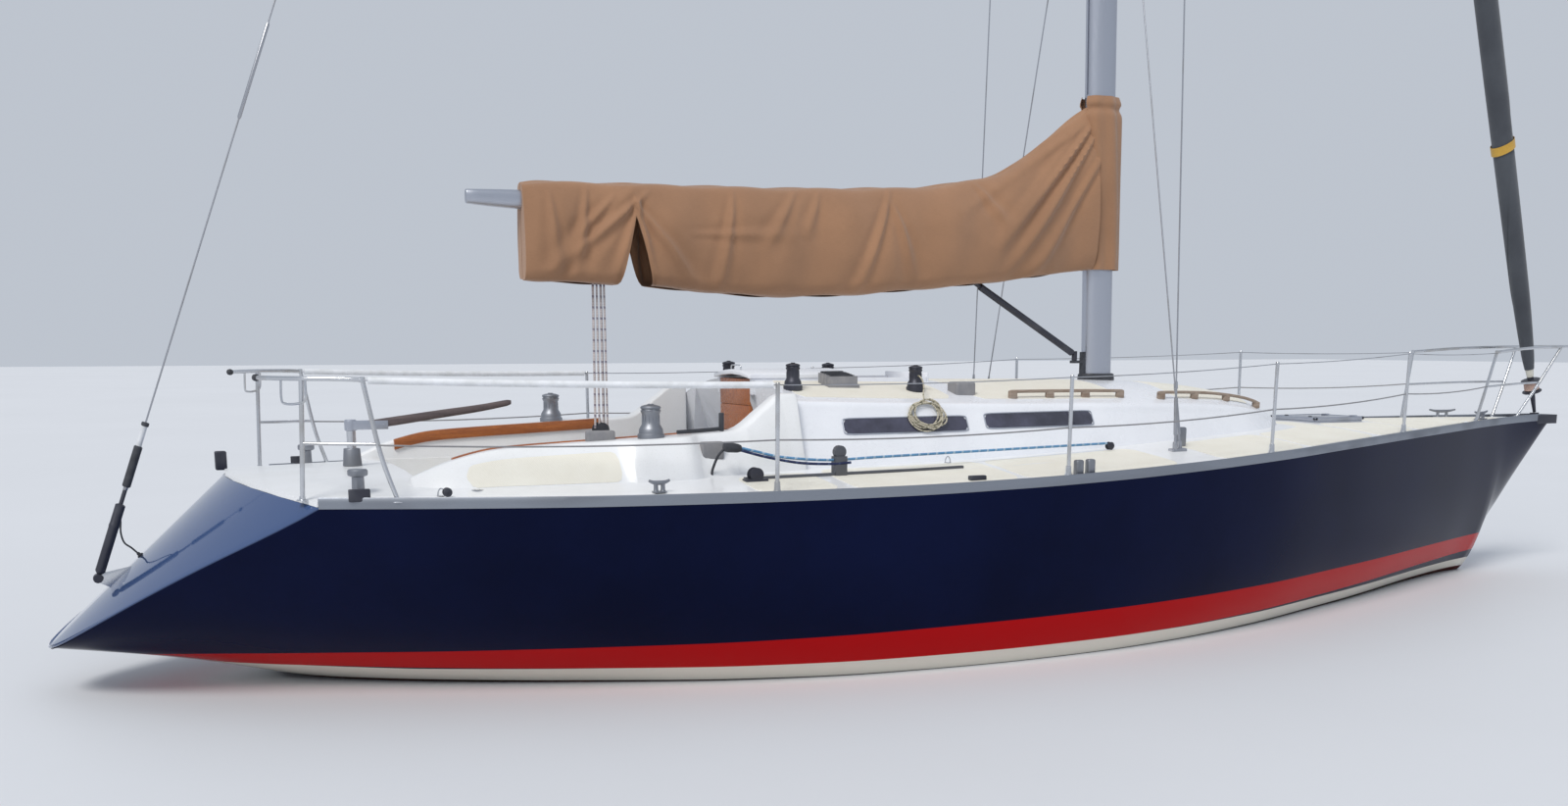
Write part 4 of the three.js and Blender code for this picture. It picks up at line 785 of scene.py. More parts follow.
def topsides_finish(settings):
    material, tree, shader, places = blank_finish("topsides_paint", 0.09, Specular_IOR_Level=0.05, Coat_Roughness=0.06)
    apart = node(tree, "SeparateXYZ", {0: places["Object"]})
    x, y, z = apart.outputs
    edges = {name: stripe_edge(tree, x, *STRIPES[name]) for name in STRIPES}
    aft = ramp(tree, x, 1.9 - MIDSHIPS, 1.3 - MIDSHIPS)
    gap = less(tree, edges["red low"], edges["white high"])
    edges["white high"] = scaled(tree, aft, gap, edges["white high"])
    marks = use_effect(tree, "Weathering", places["Object"], scale=0.9)
    dark = opaque(settings.topsides)
    faded = opaque(settings.topsides, 1.5, 0.0008)
    paint = mix_colour(tree, marks["Blotch"], dark, faded)
    across = times(tree, times(tree, y, y), TRANSOM_ROUND)
    face = together(tree, scaled(tree, z, TRANSOM_RAKE, -TRANSOM_RAKE * TRANSOM_TIP_Z - MIDSHIPS), across)
    stern = ramp(tree, less(tree, x, face), 0.016, 0.006)
    # The transom turns paler blue: painted reflection of the sky
    paint = mix_colour(tree, stern, paint, TRANSOM_SKY_REFLECTION)
    paint = mix_colour(tree, band(tree, z, edges["red low"], edges["red high"]), paint, (*settings.boot_stripe, 1.0))
    paint = mix_colour(tree, band(tree, z, edges["white low"], edges["white high"]), paint, rgb(228, 224, 212))
    below = ramp(tree, less(tree, edges["white low"], z), 0.0, 0.003)
    under = mix_colour(tree, marks["Blotch"], opaque(settings.antifouling), rgb(40, 16, 18))
    weed = times(tree, ramp(tree, z, 0.035, 0.0), marks["Blotch"])
    under = mix_colour(tree, weed, under, rgb(58, 66, 38))
    tree.links.new(mix_colour(tree, below, paint, under), shader["Base Color"])
    rough = scaled(tree, marks["Speck"], 0.06, 0.08)
    tree.links.new(scaled(tree, below, 0.5, rough), shader["Roughness"])
    gloss = scaled(tree, stern, 0.94, 0.06)
    tree.links.new(times(tree, gloss, less(tree, 1.0, below)), shader["Coat Weight"])
    bumped(tree, shader, marks["Blotch"], 0.002, 0.1)
    return material


def gelcoat_finish(name, colour, soiled, rough=0.3):
    material, tree, shader, places = blank_finish(name, rough, Coat_Weight=0.25, Coat_Roughness=0.12)
    marks = use_effect(tree, "Weathering", places["Object"], scale=2.2)
    base = mix_colour(tree, times(tree, marks["Blotch"], 0.55), colour, soiled)
    tree.links.new(mix_colour(tree, times(tree, marks["Speck"], 0.12), base, rgb(120, 112, 98)), shader["Base Color"])
    tree.links.new(scaled(tree, marks["Blotch"], 0.14, rough), shader["Roughness"])
    bumped(tree, shader, marks["Blotch"], 0.001, 0.2)
    return material


def tread_finish(settings):
    material, tree, shader, places = blank_finish("cream_tread", 0.62)
    marks = use_effect(tree, "Weathering", places["Object"], scale=3.0)
    studs = use_effect(tree, "Moulded Tread", places["Object"], pitch=0.009)
    cream = opaque(settings.tread)
    base = mix_colour(tree, times(tree, marks["Blotch"], 0.5), cream, rgb(232, 227, 212))
    # Darker between the raised diamonds: painted shade in the tread's hollows
    low = mix_colour(tree, less(tree, 0.3, times(tree, studs["Height"], 0.3)), base, rgb(206, 200, 184))
    tree.links.new(low, shader["Base Color"])
    bumped(tree, shader, studs["Height"], 0.0008, 0.7)
    return material


def dull_paint_finish(name, colour, worn):
    material, tree, shader, places = blank_finish(name, 0.72)
    marks = use_effect(tree, "Weathering", places["Object"], scale=4.0)
    base = mix_colour(tree, marks["Blotch"], colour, worn)
    tree.links.new(mix_colour(tree, times(tree, marks["Speck"], 0.5), base, rgb(52, 58, 40)), shader["Base Color"])
    tree.links.new(scaled(tree, marks["Speck"], 0.15, 0.68), shader["Roughness"])
    bumped(tree, shader, marks["Speck"], 0.001, 0.5)
    return material


def wood_finish(name, light, dark, rough):
    material, tree, shader, places = blank_finish(name, rough)
    grain = use_effect(tree, "Wood Grain", places["Object"], scale=6.0)
    base = mix_colour(tree, grain["Figure"], light, dark)
    deep = opaque(dark, 0.45)
    tree.links.new(mix_colour(tree, times(tree, grain["Pores"], 0.6), base, deep), shader["Base Color"])
    tree.links.new(scaled(tree, grain["Figure"], 0.15, rough), shader["Roughness"])
    bumped(tree, shader, grain["Pores"], 0.0006, -0.5)
    return material


def cloth_finish(name, colour, faded, threads, rough=0.9):
    """Woven cloth whose weave follows the piece's own UV map, one unit to a metre."""
    material, tree, shader, places = blank_finish(name, rough, Sheen_Weight=0.25, Sheen_Roughness=0.5)
    marks = use_effect(tree, "Weathering", places["Object"], scale=1.6)
    weave = use_effect(tree, "Plain Weave", places["UV"], threads=threads)
    base = mix_colour(tree, marks["Blotch"], colour, faded)
    shade = opaque(colour, 0.72)
    base = mix_colour(tree, times(tree, weave["Thread"], 0.18), base, shade)
    tree.links.new(mix_colour(tree, times(tree, marks["Speck"], 0.2), base, shade), shader["Base Color"])
    bumped(tree, shader, weave["Height"], 0.0006, 0.6)
    return material


def metal_finish(name, colour, stain, rough, along=(1.0, 1.0, 1.0), metal=1.0):
    material, tree, shader, places = blank_finish(name, rough, metal)
    lines = use_effect(tree, "Drawn Metal", stretched(tree, places["Object"], along))
    tree.links.new(mix_colour(tree, times(tree, lines["Stain"], 0.6), colour, stain), shader["Base Color"])
    uneven = scaled(tree, lines["Line"], 0.12, rough)
    tree.links.new(scaled(tree, lines["Stain"], 0.15, uneven), shader["Roughness"])
    bumped(tree, shader, lines["Line"], 0.0002, 0.25)
    return material


def moulded_finish(name, colour, worn, rough):
    material, tree, shader, places = blank_finish(name, rough)
    marks = use_effect(tree, "Weathering", places["Object"], scale=12.0)
    tree.links.new(mix_colour(tree, times(tree, marks["Blotch"], 0.7), colour, worn), shader["Base Color"])
    tree.links.new(scaled(tree, marks["Speck"], 0.2, rough), shader["Roughness"])
    bumped(tree, shader, marks["Speck"], 0.0004, 0.4)
    return material


def acrylic_finish():
    material, tree, shader, places = blank_finish("smoked_acrylic", 0.06, Coat_Weight=0.5)
    marks = use_effect(tree, "Weathering", places["Object"], scale=5.0)
    tree.links.new(mix_colour(tree, marks["Blotch"], rgb(48, 48, 62), rgb(78, 78, 98)), shader["Base Color"])
    tree.links.new(scaled(tree, marks["Speck"], 0.12, 0.05), shader["Roughness"])
    return material


def rope_finish(name, colour, tracer, pitch=60.0):
    """Braided rope: the braid follows the rope's own UV map, which runs in metres along it."""
    material, tree, shader, places = blank_finish(name, 0.85)
    braid = use_effect(tree, "Braid", places["UV"], along=pitch, around=4.0)
    marks = use_effect(tree, "Weathering", places["Object"], scale=9.0)
    base = mix_colour(tree, braid["Tracer"], colour, tracer)
    dirty = opaque(colour, 0.6)
    base = mix_colour(tree, times(tree, marks["Blotch"], 0.6), base, dirty)
    # Darker between the braid's strands: painted shade in the gaps
    gap = less(tree, 0.32, times(tree, braid["Height"], 0.32))
    tree.links.new(mix_colour(tree, gap, base, opaque(colour, 0.4)), shader["Base Color"])
    bumped(tree, shader, braid["Height"], 0.001, 0.8)
    return material


def floor_finish(settings):
    material, tree, shader, places = blank_finish("pale_floor", 0.55)
    marks = use_effect(tree, "Weathering", places["Object"], scale=0.15)
    pale = opaque(settings.floor)
    tone = opaque(settings.floor, 0.97)
    tree.links.new(mix_colour(tree, marks["Blotch"], pale, tone), shader["Base Color"])
    return material


FINISHES = {}


def make_finishes(scene):
    """Builds every finish once."""
    hull, deck, canvas = scene.yacht_hull, scene.yacht_deck, scene.yacht_canvas
    cover = opaque(canvas.cover)
    FINISHES.update({
        "topsides": topsides_finish(hull),
        "gelcoat": gelcoat_finish("white_gelcoat", rgb(240, 241, 243), rgb(224, 225, 224)),
        "liner": gelcoat_finish("liner_gelcoat", rgb(236, 237, 238), rgb(214, 214, 210), 0.42),
        "cabin": gelcoat_finish("cabin_gelcoat", rgb(240, 242, 247), rgb(226, 228, 234), 0.2),
        "tread": tread_finish(deck),
        "antifouling": dull_paint_finish("antifouling", opaque(hull.antifouling), rgb(66, 26, 26)),
        "teak": wood_finish("weathered_teak", rgb(176, 140, 104), rgb(138, 102, 70), 0.6),
        "varnish": wood_finish("varnished_wood", rgb(186, 112, 60), rgb(146, 80, 42), 0.22),
        "dark_wood": wood_finish("dark_wood", rgb(112, 98, 96), rgb(78, 68, 70), 0.35),
        "track": metal_finish("track_alloy", rgb(104, 106, 112), rgb(78, 80, 86), 0.42, (0.05, 1.0, 1.0), 0.8),
        "navy_rope": rope_finish("navy_rope", rgb(34, 44, 84), rgb(70, 84, 120)),
        "rail_wood": wood_finish("bleached_wood", rgb(172, 156, 142), rgb(142, 122, 106), 0.6),
        "canvas": cloth_finish("cover_canvas", cover, opaque(canvas.cover, 1.22), 520.0),
        "sun_strip": cloth_finish("sun_strip", rgb(56, 60, 68), rgb(74, 79, 86), 420.0, 0.8),
        "sailcloth": cloth_finish("sailcloth", rgb(226, 224, 214), rgb(206, 202, 190), 500.0, 0.7),
        "stainless": metal_finish("stainless_tube", rgb(206, 208, 212), rgb(168, 164, 156), 0.16),
        "wire": metal_finish("stainless_wire", rgb(176, 178, 184), rgb(140, 138, 134), 0.3),
        "anodised": metal_finish("anodised_spar", rgb(186, 190, 200), rgb(158, 160, 166), 0.34, (1.0, 1.0, 0.05)),
        "casting": metal_finish("alloy_casting", rgb(150, 153, 160), rgb(112, 112, 112), 0.42),
        "rail": metal_finish("rail_alloy", rgb(150, 155, 164), rgb(112, 114, 120), 0.4, (0.05, 1.0, 1.0)),
        "bronze": metal_finish("bronze", rgb(176, 138, 78), rgb(104, 118, 92), 0.32),
        "dark_alloy": metal_finish("dark_alloy", rgb(66, 67, 76), rgb(100, 102, 108), 0.38, metal=0.6),
        "dark_moulding": moulded_finish("dark_moulding", rgb(40, 42, 48), rgb(72, 74, 80), 0.5),
        "grey_moulding": moulded_finish("grey_moulding", rgb(128, 128, 132), rgb(152, 150, 150), 0.5),
        "pale_moulding": moulded_finish("pale_moulding", rgb(222, 224, 228), rgb(190, 192, 194), 0.4),
        "rubber": moulded_finish("rubber_hose", rgb(26, 28, 34), rgb(48, 50, 56), 0.6),
        "sheath": moulded_finish("white_sheath", rgb(238, 240, 244), rgb(206, 208, 208), 0.35),
        "acrylic": acrylic_finish(),
        "grey_rope": rope_finish("grey_rope", rgb(204, 196, 176), rgb(132, 130, 108)),
        "blue_rope": rope_finish("blue_rope", rgb(104, 156, 198), rgb(190, 208, 222)),
        "white_rope": rope_finish("white_rope", rgb(208, 198, 196), rgb(120, 112, 132)),
        "red_rope": rope_finish("furling_rope", rgb(222, 196, 182), rgb(196, 132, 118)),
        "ochre_tie": cloth_finish("ochre_tie", rgb(186, 140, 44), rgb(206, 164, 70), 600.0),
    })


# Sizes and colours that a user may change
def colour_property(label, about, value):
    return bpy.props.FloatVectorProperty(name=label, description=about, default=value[:3], size=3, min=0.0, max=1.0,
                                         subtype="COLOR")


def length_property(label, about, value, **limits):
    return bpy.props.FloatProperty(name=label, description=about, default=value, unit="LENGTH", **limits)


class YachtHullSettings(bpy.types.PropertyGroup):
    topsides: colour_property("Topsides", "Colour of the gloss paint above the stripes", (0.0004, 0.0026, 0.0215))
    boot_stripe: colour_property("Boot stripe", "Colour of the broad stripe over the waterline", rgb(182, 9, 15))
    antifouling: colour_property("Antifouling", "Colour of the paint under water", rgb(92, 30, 30))
    shell: length_property("Shell", "Thickness of the hull's skin", 0.014, min=0.004, max=0.03)


class YachtDeckSettings(bpy.types.PropertyGroup):
    tread: colour_property("Tread", "Colour of the non-slip panels", rgb(246, 243, 232))
    tread_rise: length_property("Tread rise", "How far the non-slip panels stand over the deck", 0.0022, min=0.001,
                                max=0.006)
    rail_wall: length_property("Rail wall", "Thickness of the toe rail's upright", 0.006, min=0.003, max=0.01)


class YachtRigSettings(bpy.types.PropertyGroup):
    rail_tube: length_property("Rail tube", "Diameter of the tubes of pushpit and pulpit", 0.025, min=0.02, max=0.03)
    lifeline: length_property("Lifeline", "Diameter of an upper lifeline wire", 0.006, min=0.004, max=0.01)
    covered_line: length_property("Covered line", "Diameter of the covered lower lifeline", 0.0095, min=0.006,
                                  max=0.012)
    gate_tube: length_property("Gate tube", "Diameter of the padded upper line beside the cockpit", 0.038, min=0.02,
                               max=0.045)
    shroud: length_property("Shroud", "Diameter of a shroud wire", 0.01, min=0.006, max=0.014)


class YachtCanvasSettings(bpy.types.PropertyGroup):
    cover: colour_property("Cover", "Colour of the sail cover", rgb(154, 115, 86))
    fold_depth: bpy.props.FloatProperty(name="Fold depth", description="How deep the cover's folds are", default=1.0,
                                        min=0.0, max=1.5)


class YachtRopeSettings(bpy.types.PropertyGroup):
    hank_rope: length_property("Hank rope", "Diameter of the rope on the roof winch", 0.01, min=0.008, max=0.014)
    sheet: length_property("Sheet", "Diameter of the sheets on the side decks", 0.016, min=0.01, max=0.016)
    hose: length_property("Hose", "Diameter of the adjuster's hose", 0.01, min=0.006, max=0.014)


class YachtStageSettings(bpy.types.PropertyGroup):
    floor: colour_property("Floor", "Colour of the plain floor", rgb(222, 224, 228))
    sun: bpy.props.FloatProperty(name="Key light", description="Strength of the key light", default=1.9, min=0.0,
                                 max=10.0)
    sky: bpy.props.FloatProperty(name="Fill light", description="Strength of the even light from all round",
                                 default=0.62, min=0.0, max=3.0)


# Hull, keel, rudder and propeller
HULL_STATIONS = 100
HULL_ROWS = 56
TRANSOM_COLUMNS = 32


def fraction_of(row):
    """Share of the hull's depth at a row from 0 at the keel to 1 at the sheer."""
    return round(row**1.7, 9)


def hull_place(u, v):
    row = abs(2 * v - 1)
    fraction = fraction_of(row)
    start = transom_start(fraction)
    s = start + (LENGTH - start) * spacing(u)
    z = keel_line(s) + (sheer(s) - keel_line(s)) * fraction
    return at(s, math.copysign(breadth(s, fraction), 2 * v - 1), z)


def transom_place(u, v):
    fraction, lane = fraction_of(v), 2 * u - 1
    start = transom_start(fraction)
    edge_z = keel_line(start) + (sheer(start) - keel_line(start)) * fraction
    y = lane * breadth(start, fraction)
    z = edge_z + camber(start) * (1 - lane * lane) * v**8
    return at(transom(y, z), y, z)


def hull_shell(settings):
    sides = surface("hull_sides", HULL_STATIONS, HULL_ROWS, hull_place)
    stern = surface("hull_stern", TRANSOM_COLUMNS, HULL_ROWS // 2, transom_place)
    shell = closed(joined("hull_shell", [sides, stern]), fill=False, merge=5e-4)
    eased(shell, 0.009, 48, 3)
    return walled(shell, settings.shell)


def foil_half(chord, thickness, u):
    shape = 0.2969 * math.sqrt(u) - 0.126 * u - 0.3516 * u * u + 0.2843 * u**3 - 0.1036 * u**4
    return max(5 * thickness * chord * shape, 0.0012)


def foil(name, rows, around, section):
    """A foil through sections; section(part) gives nose s, chord, thickness and height."""
    def place(u, v):
        nose, chord, thickness, z = section(u)
        angle = 2 * math.pi * v
        back = (1 + math.cos(angle)) / 2
        return at(nose - chord * back, math.copysign(foil_half(chord, thickness, back), math.sin(angle) + 1e-12), z)

    return closed(surface(name, rows, around, place))


def rounding(part):
    return max(0.0, (part - 0.9) / 0.1)


def keel_section(part):
    tip = rounding(part)
    chord = 1.96 - 0.77 * part - 0.06 * tip
    trail = 4.72 + 0.26 * part + 0.03 * tip
    return trail + chord, chord, 0.095 + 0.035 * part - 0.045 * tip * tip, -0.42 - 1.81 * part


def rudder_section(part):
    tip = rounding(part)
    chord = 0.64 - 0.21 * part - 0.04 * tip
    return 1.715 + 0.24 * chord, chord, 0.14 - 0.05 * tip, -0.15 - 1.53 * part


# Propeller blade: share of the radius, chord, pitch angle in degrees
BLADE = [(0.12, 0.05, 62), (0.4, 0.11, 44), (0.7, 0.118, 30), (0.92, 0.074, 24), (1.0, 0.024, 22)]
PROPELLER = {"s": 3.33, "z": -0.8, "radius": 0.205}


def blade(name, sign):
    def place(u, v):
        part = 0.12 + 0.88 * u
        chord, pitch = lookup(BLADE, 1, part), math.radians(lookup(BLADE, 2, part))
        angle = 2 * math.pi * v
        across, thick = 0.5 * chord * math.cos(angle), 0.006 * math.sin(angle) * (1.1 - u)
        y = across * math.cos(pitch) - thick * math.sin(pitch)
        s = across * math.sin(pitch) + thick * math.cos(pitch)
        return at(PROPELLER["s"] - 0.008 + s, sign * y, PROPELLER["z"] + sign * part * PROPELLER["radius"])

    return closed(surface(name, 20, 20, place))


class YACHT_OT_hull(bpy.types.Operator):
    """Builds the hull's shell with its painted stripes"""
    bl_idname = "yacht.hull"
    bl_label = "Hull"

    def execute(self, context):
        shell = hull_shell(context.scene.yacht_hull)
        finish(shell, "boat", "topsides", ["hull"], angle=40)
        return {"FINISHED"}


class YACHT_OT_underwater(bpy.types.Operator):
    """Builds the keel, rudder, propeller leg and propeller"""
    bl_idname = "yacht.underwater"
    bl_label = "Keel, rudder and propeller"

    def execute(self, context):
        paint = "antifouling"
        finish(foil("keel_fin", 28, 48, keel_section), "boat", paint, ["keel"])
        blade_piece = foil("rudder_foil", 24, 40, rudder_section)
        stock = turned("rudder_stock", [(0.027, 0.0), (0.027, 2.1), (0.022, 2.105)], at(1.715, 0, -0.65), sides=24)
        finish(blade_piece, "rudder", paint, ["rudder"])
        finish(stock, "rudder", "stainless")
        finish(smoothed("sail_drive", "propeller_leg", 0.006, 3), "boat", "dark_alloy",
               ["propeller_leg"])
        profile = [(0.006, 0.0), (0.018, 0.006), (0.026, 0.02), (0.034, 0.05), (0.041, 0.1), (0.042, 0.122),
                   (0.02, 0.1235), (0.02, 0.1294)]
        hub = turned("propeller_hub", profile, at(3.26, 0, PROPELLER["z"]), (1, 0, 0), 28)
        blades = [blade(f"propeller_blade_{k}", sign) for k, sign in enumerate((1, -1))]
        screw = joined("propeller_screw", [hub] + blades)
        finish(screw, "propeller", "bronze", ["propeller"], angle=45)
        return {"FINISHED"}


# Deck, its non-slip panels, toe rails and small fittings
def inner_edge(s):
    """Half breadth of what stands on the deck at s, where the side deck's panels begin."""
    if s < ROOF_AFT:
        return lookup(COAMING, 4, s) + 0.07
    if s < ROOF_FORE:
        return lookup(ROOF, 1, s) + 0.06
    return 0.03


def deck_panel(name, s0, s1, inner, outer, rise, corner=0.07, height=deck_z, side=-1, columns=40, rows=8):
    """A thin raised panel with round corners between two edges given as functions of s."""
    length = s1 - s0

    def place(u, v):
        s = s0 + length * u
        near = min(s - s0, s1 - s)
        pinch = corner - math.sqrt(max(corner**2 - max(corner - near, 0.0) ** 2, 0.0))
        low, high = inner(s) + pinch, outer(s) - pinch
        if high < low:
            low = high = (low + high) / 2
        y = side * (low + (high - low) * v)
        return at(s, y, height(s, y) + rise)

    panel = surface(name, columns, rows, place)
    with editing(panel):
        bpy.ops.mesh.normals_make_consistent(inside=False)
    return walled(faced(panel, (0, 0, 1)), rise + 0.003)


def panel_outer(s):
    return half_beam(s) - 0.11


# Non-slip panels of one side: name, first s, last s
SIDE_PANELS = [
    ("coaming", 3.66, 4.15), ("cabin_aft", 4.25, 5.35), ("cabin_mid", 5.4, 6.62), ("cabin_fore", 7.02, 7.95),
    ("shoulder", 8.0, 8.95), ("hatch", 9.04, 9.64), ("foredeck", 9.7, 10.65), ("anchor", 10.7, 11.35),
]


def hatch_edge(s):
    return FORE_HATCH["half"] + 0.05


def tread_panels(side, rise):
    panels = []
    for name, s0, s1 in SIDE_PANELS:
        inner = hatch_edge if name == "hatch" else inner_edge
        columns = max(16, round((s1 - s0) / 0.03))
        panels.append(deck_panel(f"tread_{name}", s0, s1, inner, panel_outer, rise, side=side, columns=columns))
    return joined("tread_panels_" + ("port" if side > 0 else "starboard"), panels)


# Section of the toe rail: how far in from the deck's edge, and how high
RAIL_SECTION = [(-0.001, -0.008), (-0.0015, 0.02), (-0.001, RAIL_HEIGHT - 0.004), (0.002, RAIL_HEIGHT),
                (0.009, RAIL_HEIGHT), (0.012, RAIL_HEIGHT - 0.004)]


def toe_rail(name, side, wall):
    """A rail along the deck's edge: an upright with a rounded lip, and a flange on the deck."""
    inner = [(0.012, RAIL_HEIGHT - 0.009), (wall, RAIL_HEIGHT - 0.013), (wall, 0.0262), (0.04, 0.0262), (0.04, 0.0232),
             (wall, 0.0228), (wall, -0.008)]
    section = RAIL_SECTION + inner

    def place(u, v):
        across, rise = corner_at(section, v)
        return edge_place(u * 0.985, side, 0.0) + Vector((0, -side * across, rise))

    return closed(surface(name, 150, len(section), place))


def cleat(name, s, y, turn=0.0, long=0.24):
    """A horn cleat on two feet."""
    z = deck_z(s, y) + 0.002
    base = block(name + "_base", (-long * 0.3 + MIDSHIPS, -0.028, 0.0), (long * 0.3 + MIDSHIPS, 0.028, 0.008), 0.003)
    feet = [
        turned(f"{name}_foot_{k}", [(0.016, 0.006), (0.0125, 0.016), (0.012, 0.04), (0.014, 0.052)], (x, 0, 0),
               sides=16)
        for k, x in enumerate((-long * 0.17, long * 0.17))
    ]
    line = [(-long / 2, 0, 0.066), (-long * 0.28, 0, 0.056), (0, 0, 0.053), (long * 0.28, 0, 0.056),
            (long / 2, 0, 0.066)]
    horn = pipe(name + "_horn", line, lambda t: 0.007 + 0.0055 * math.sin(math.pi * t), steps=20, sides=12)
    piece = joined(name, [base] + feet + [horn])
    piece.data.transform(Matrix.Translation(at(s, y, z)) @ Matrix.Rotation(turn, 4, "Z"))
    return piece


def deck_cap(name, s, y, radius):
    """A screwed deck filler with its key slots."""
    z = deck_z(s, y)
    ring = turned(name + "_ring", [(radius, 0.0), (radius, 0.004), (radius - 0.004, 0.006), (radius * 0.78, 0.006),
                                   (radius * 0.76, 0.003)],
                  at(s, y, z - 0.001), sides=28)
    lid = turned(name + "_lid", [(radius * 0.74, 0.0), (radius * 0.74, 0.005), (radius * 0.7, 0.0065)],
                 at(s, y, z - 0.001), sides=28)
    pins = [rod(f"{name}_pin_{k}", at(s + x, y, z + 0.004), at(s + x, y, z + 0.0072), 0.003, 10)
            for k, x in enumerate((-0.012, 0.012))]
    return joined(name, [ring, lid] + pins)


def pad_eye(name, s, y, size=0.024):
    z = deck_z(s, y)
    plate = turned(name + "_plate", [(size, 0.0), (size, 0.003), (size - 0.002, 0.005)], at(s, y, z - 0.001), sides=20)
    arch = [at(s + size * 0.75 * math.cos(a), y, z + 0.004 + size * 1.5 * math.sin(a))
            for a in [math.pi * k / 8 for k in range(9)]]
    return joined(name, [plate, pipe(name + "_ring", arch, 0.0035, steps=16, sides=8)])


def deck_block(name, place, way=(1, 0, 0), size=0.03, cheeks=0.016):
    """A rope block: two cheeks, a sheave and its pin, lying across the way the rope runs."""
    way = Vector(way).normalized()
    across = Vector((0, 0, 1)).cross(way).normalized()
    place = Vector(place)
    sides = []
    for k, sign in enumerate((-1, 1)):
        start = place + across * (sign * cheeks * 0.75)
        sides.append(turned(f"{name}_cheek_{k}",
                            [(size * 0.9, 0.0), (size, 0.002), (size, 0.004), (size * 0.75, 0.007)],
                            start, across * sign, 20))
    rim = [(size * 0.62, 0.0), (size * 0.82, 0.002), (size * 0.6, 0.006), (size * 0.6, cheeks * 1.3 - 0.006),
           (size * 0.82, cheeks * 1.3 - 0.002), (size * 0.62, cheeks * 1.3)]
    sheave = turned(name + "_sheave", rim, place - across * (cheeks * 0.65), across, 20)
    pin = rod(name + "_pin", place - across * (cheeks * 0.75 + 0.009), place + across * (cheeks * 0.75 + 0.009),
              size * 0.2, 12, 0.001)
    return joined(name, sides + [sheave, pin])


# Fittings of one side: s, y
FITTINGS = {
    "stern_post": (1.58, 1.06), "small_cleat": (3.11, 1.52), "bow_cleat": (10.98, 0.2), "filler": (2.19, 1.17),
    "aft_eye": (1.98, 1.24), "track_eye": (5.17, 1.14), "turning_block": (3.75, 1.37), "lead_block": (2.0, 1.3),
    "roof_lead": (6.46, 1.08), "track_stop": (5.05, 1.67), "shroud_block": (7.03, 1.1),
}
SPRING_POSTS = {"s": (5.7, 5.785), "long": 0.055, "y": 1.745, "half": 0.022, "high": 0.1}
# Profile of a stern post: radius, height
STERN_POST = [
    (0.046, -0.004), (0.046, 0.006), (0.034, 0.012), (0.032, 0.095), (0.05, 0.102), (0.053, 0.108), (0.053, 0.128),
    (0.046, 0.135),
]


def on_deck(name, side, rise=0.0):
    """Place of a fitting, a rise over the deck."""
    s, y = FITTINGS[name]
    return at(s, side * y, deck_z(s, y) + rise)


class YACHT_OT_deck(bpy.types.Operator):
    """Builds the deck with its cream non-slip panels"""
    bl_idname = "yacht.deck"
    bl_label = "Deck"

    def execute(self, context):
        rise = context.scene.yacht_deck.tread_rise
        finish(smoothed("deck_skin", "deck", flat=0.2), "boat", "gelcoat", ["deck"])
        for side in (-1, 1):
            finish(tread_panels(side, rise), "boat", "tread")
        return {"FINISHED"}


class YACHT_OT_toe_rails(bpy.types.Operator):
    """Builds the toe rails along both edges of the deck"""
    bl_idname = "yacht.toe_rails"
    bl_label = "Toe rails"

    def execute(self, context):
        wall = context.scene.yacht_deck.rail_wall
        for tag, side in SIDES:
            finish(toe_rail("lipped_toe_rail_" + tag, side, wall), "boat", "rail", ["toe_rail_" + tag])
        return {"FINISHED"}


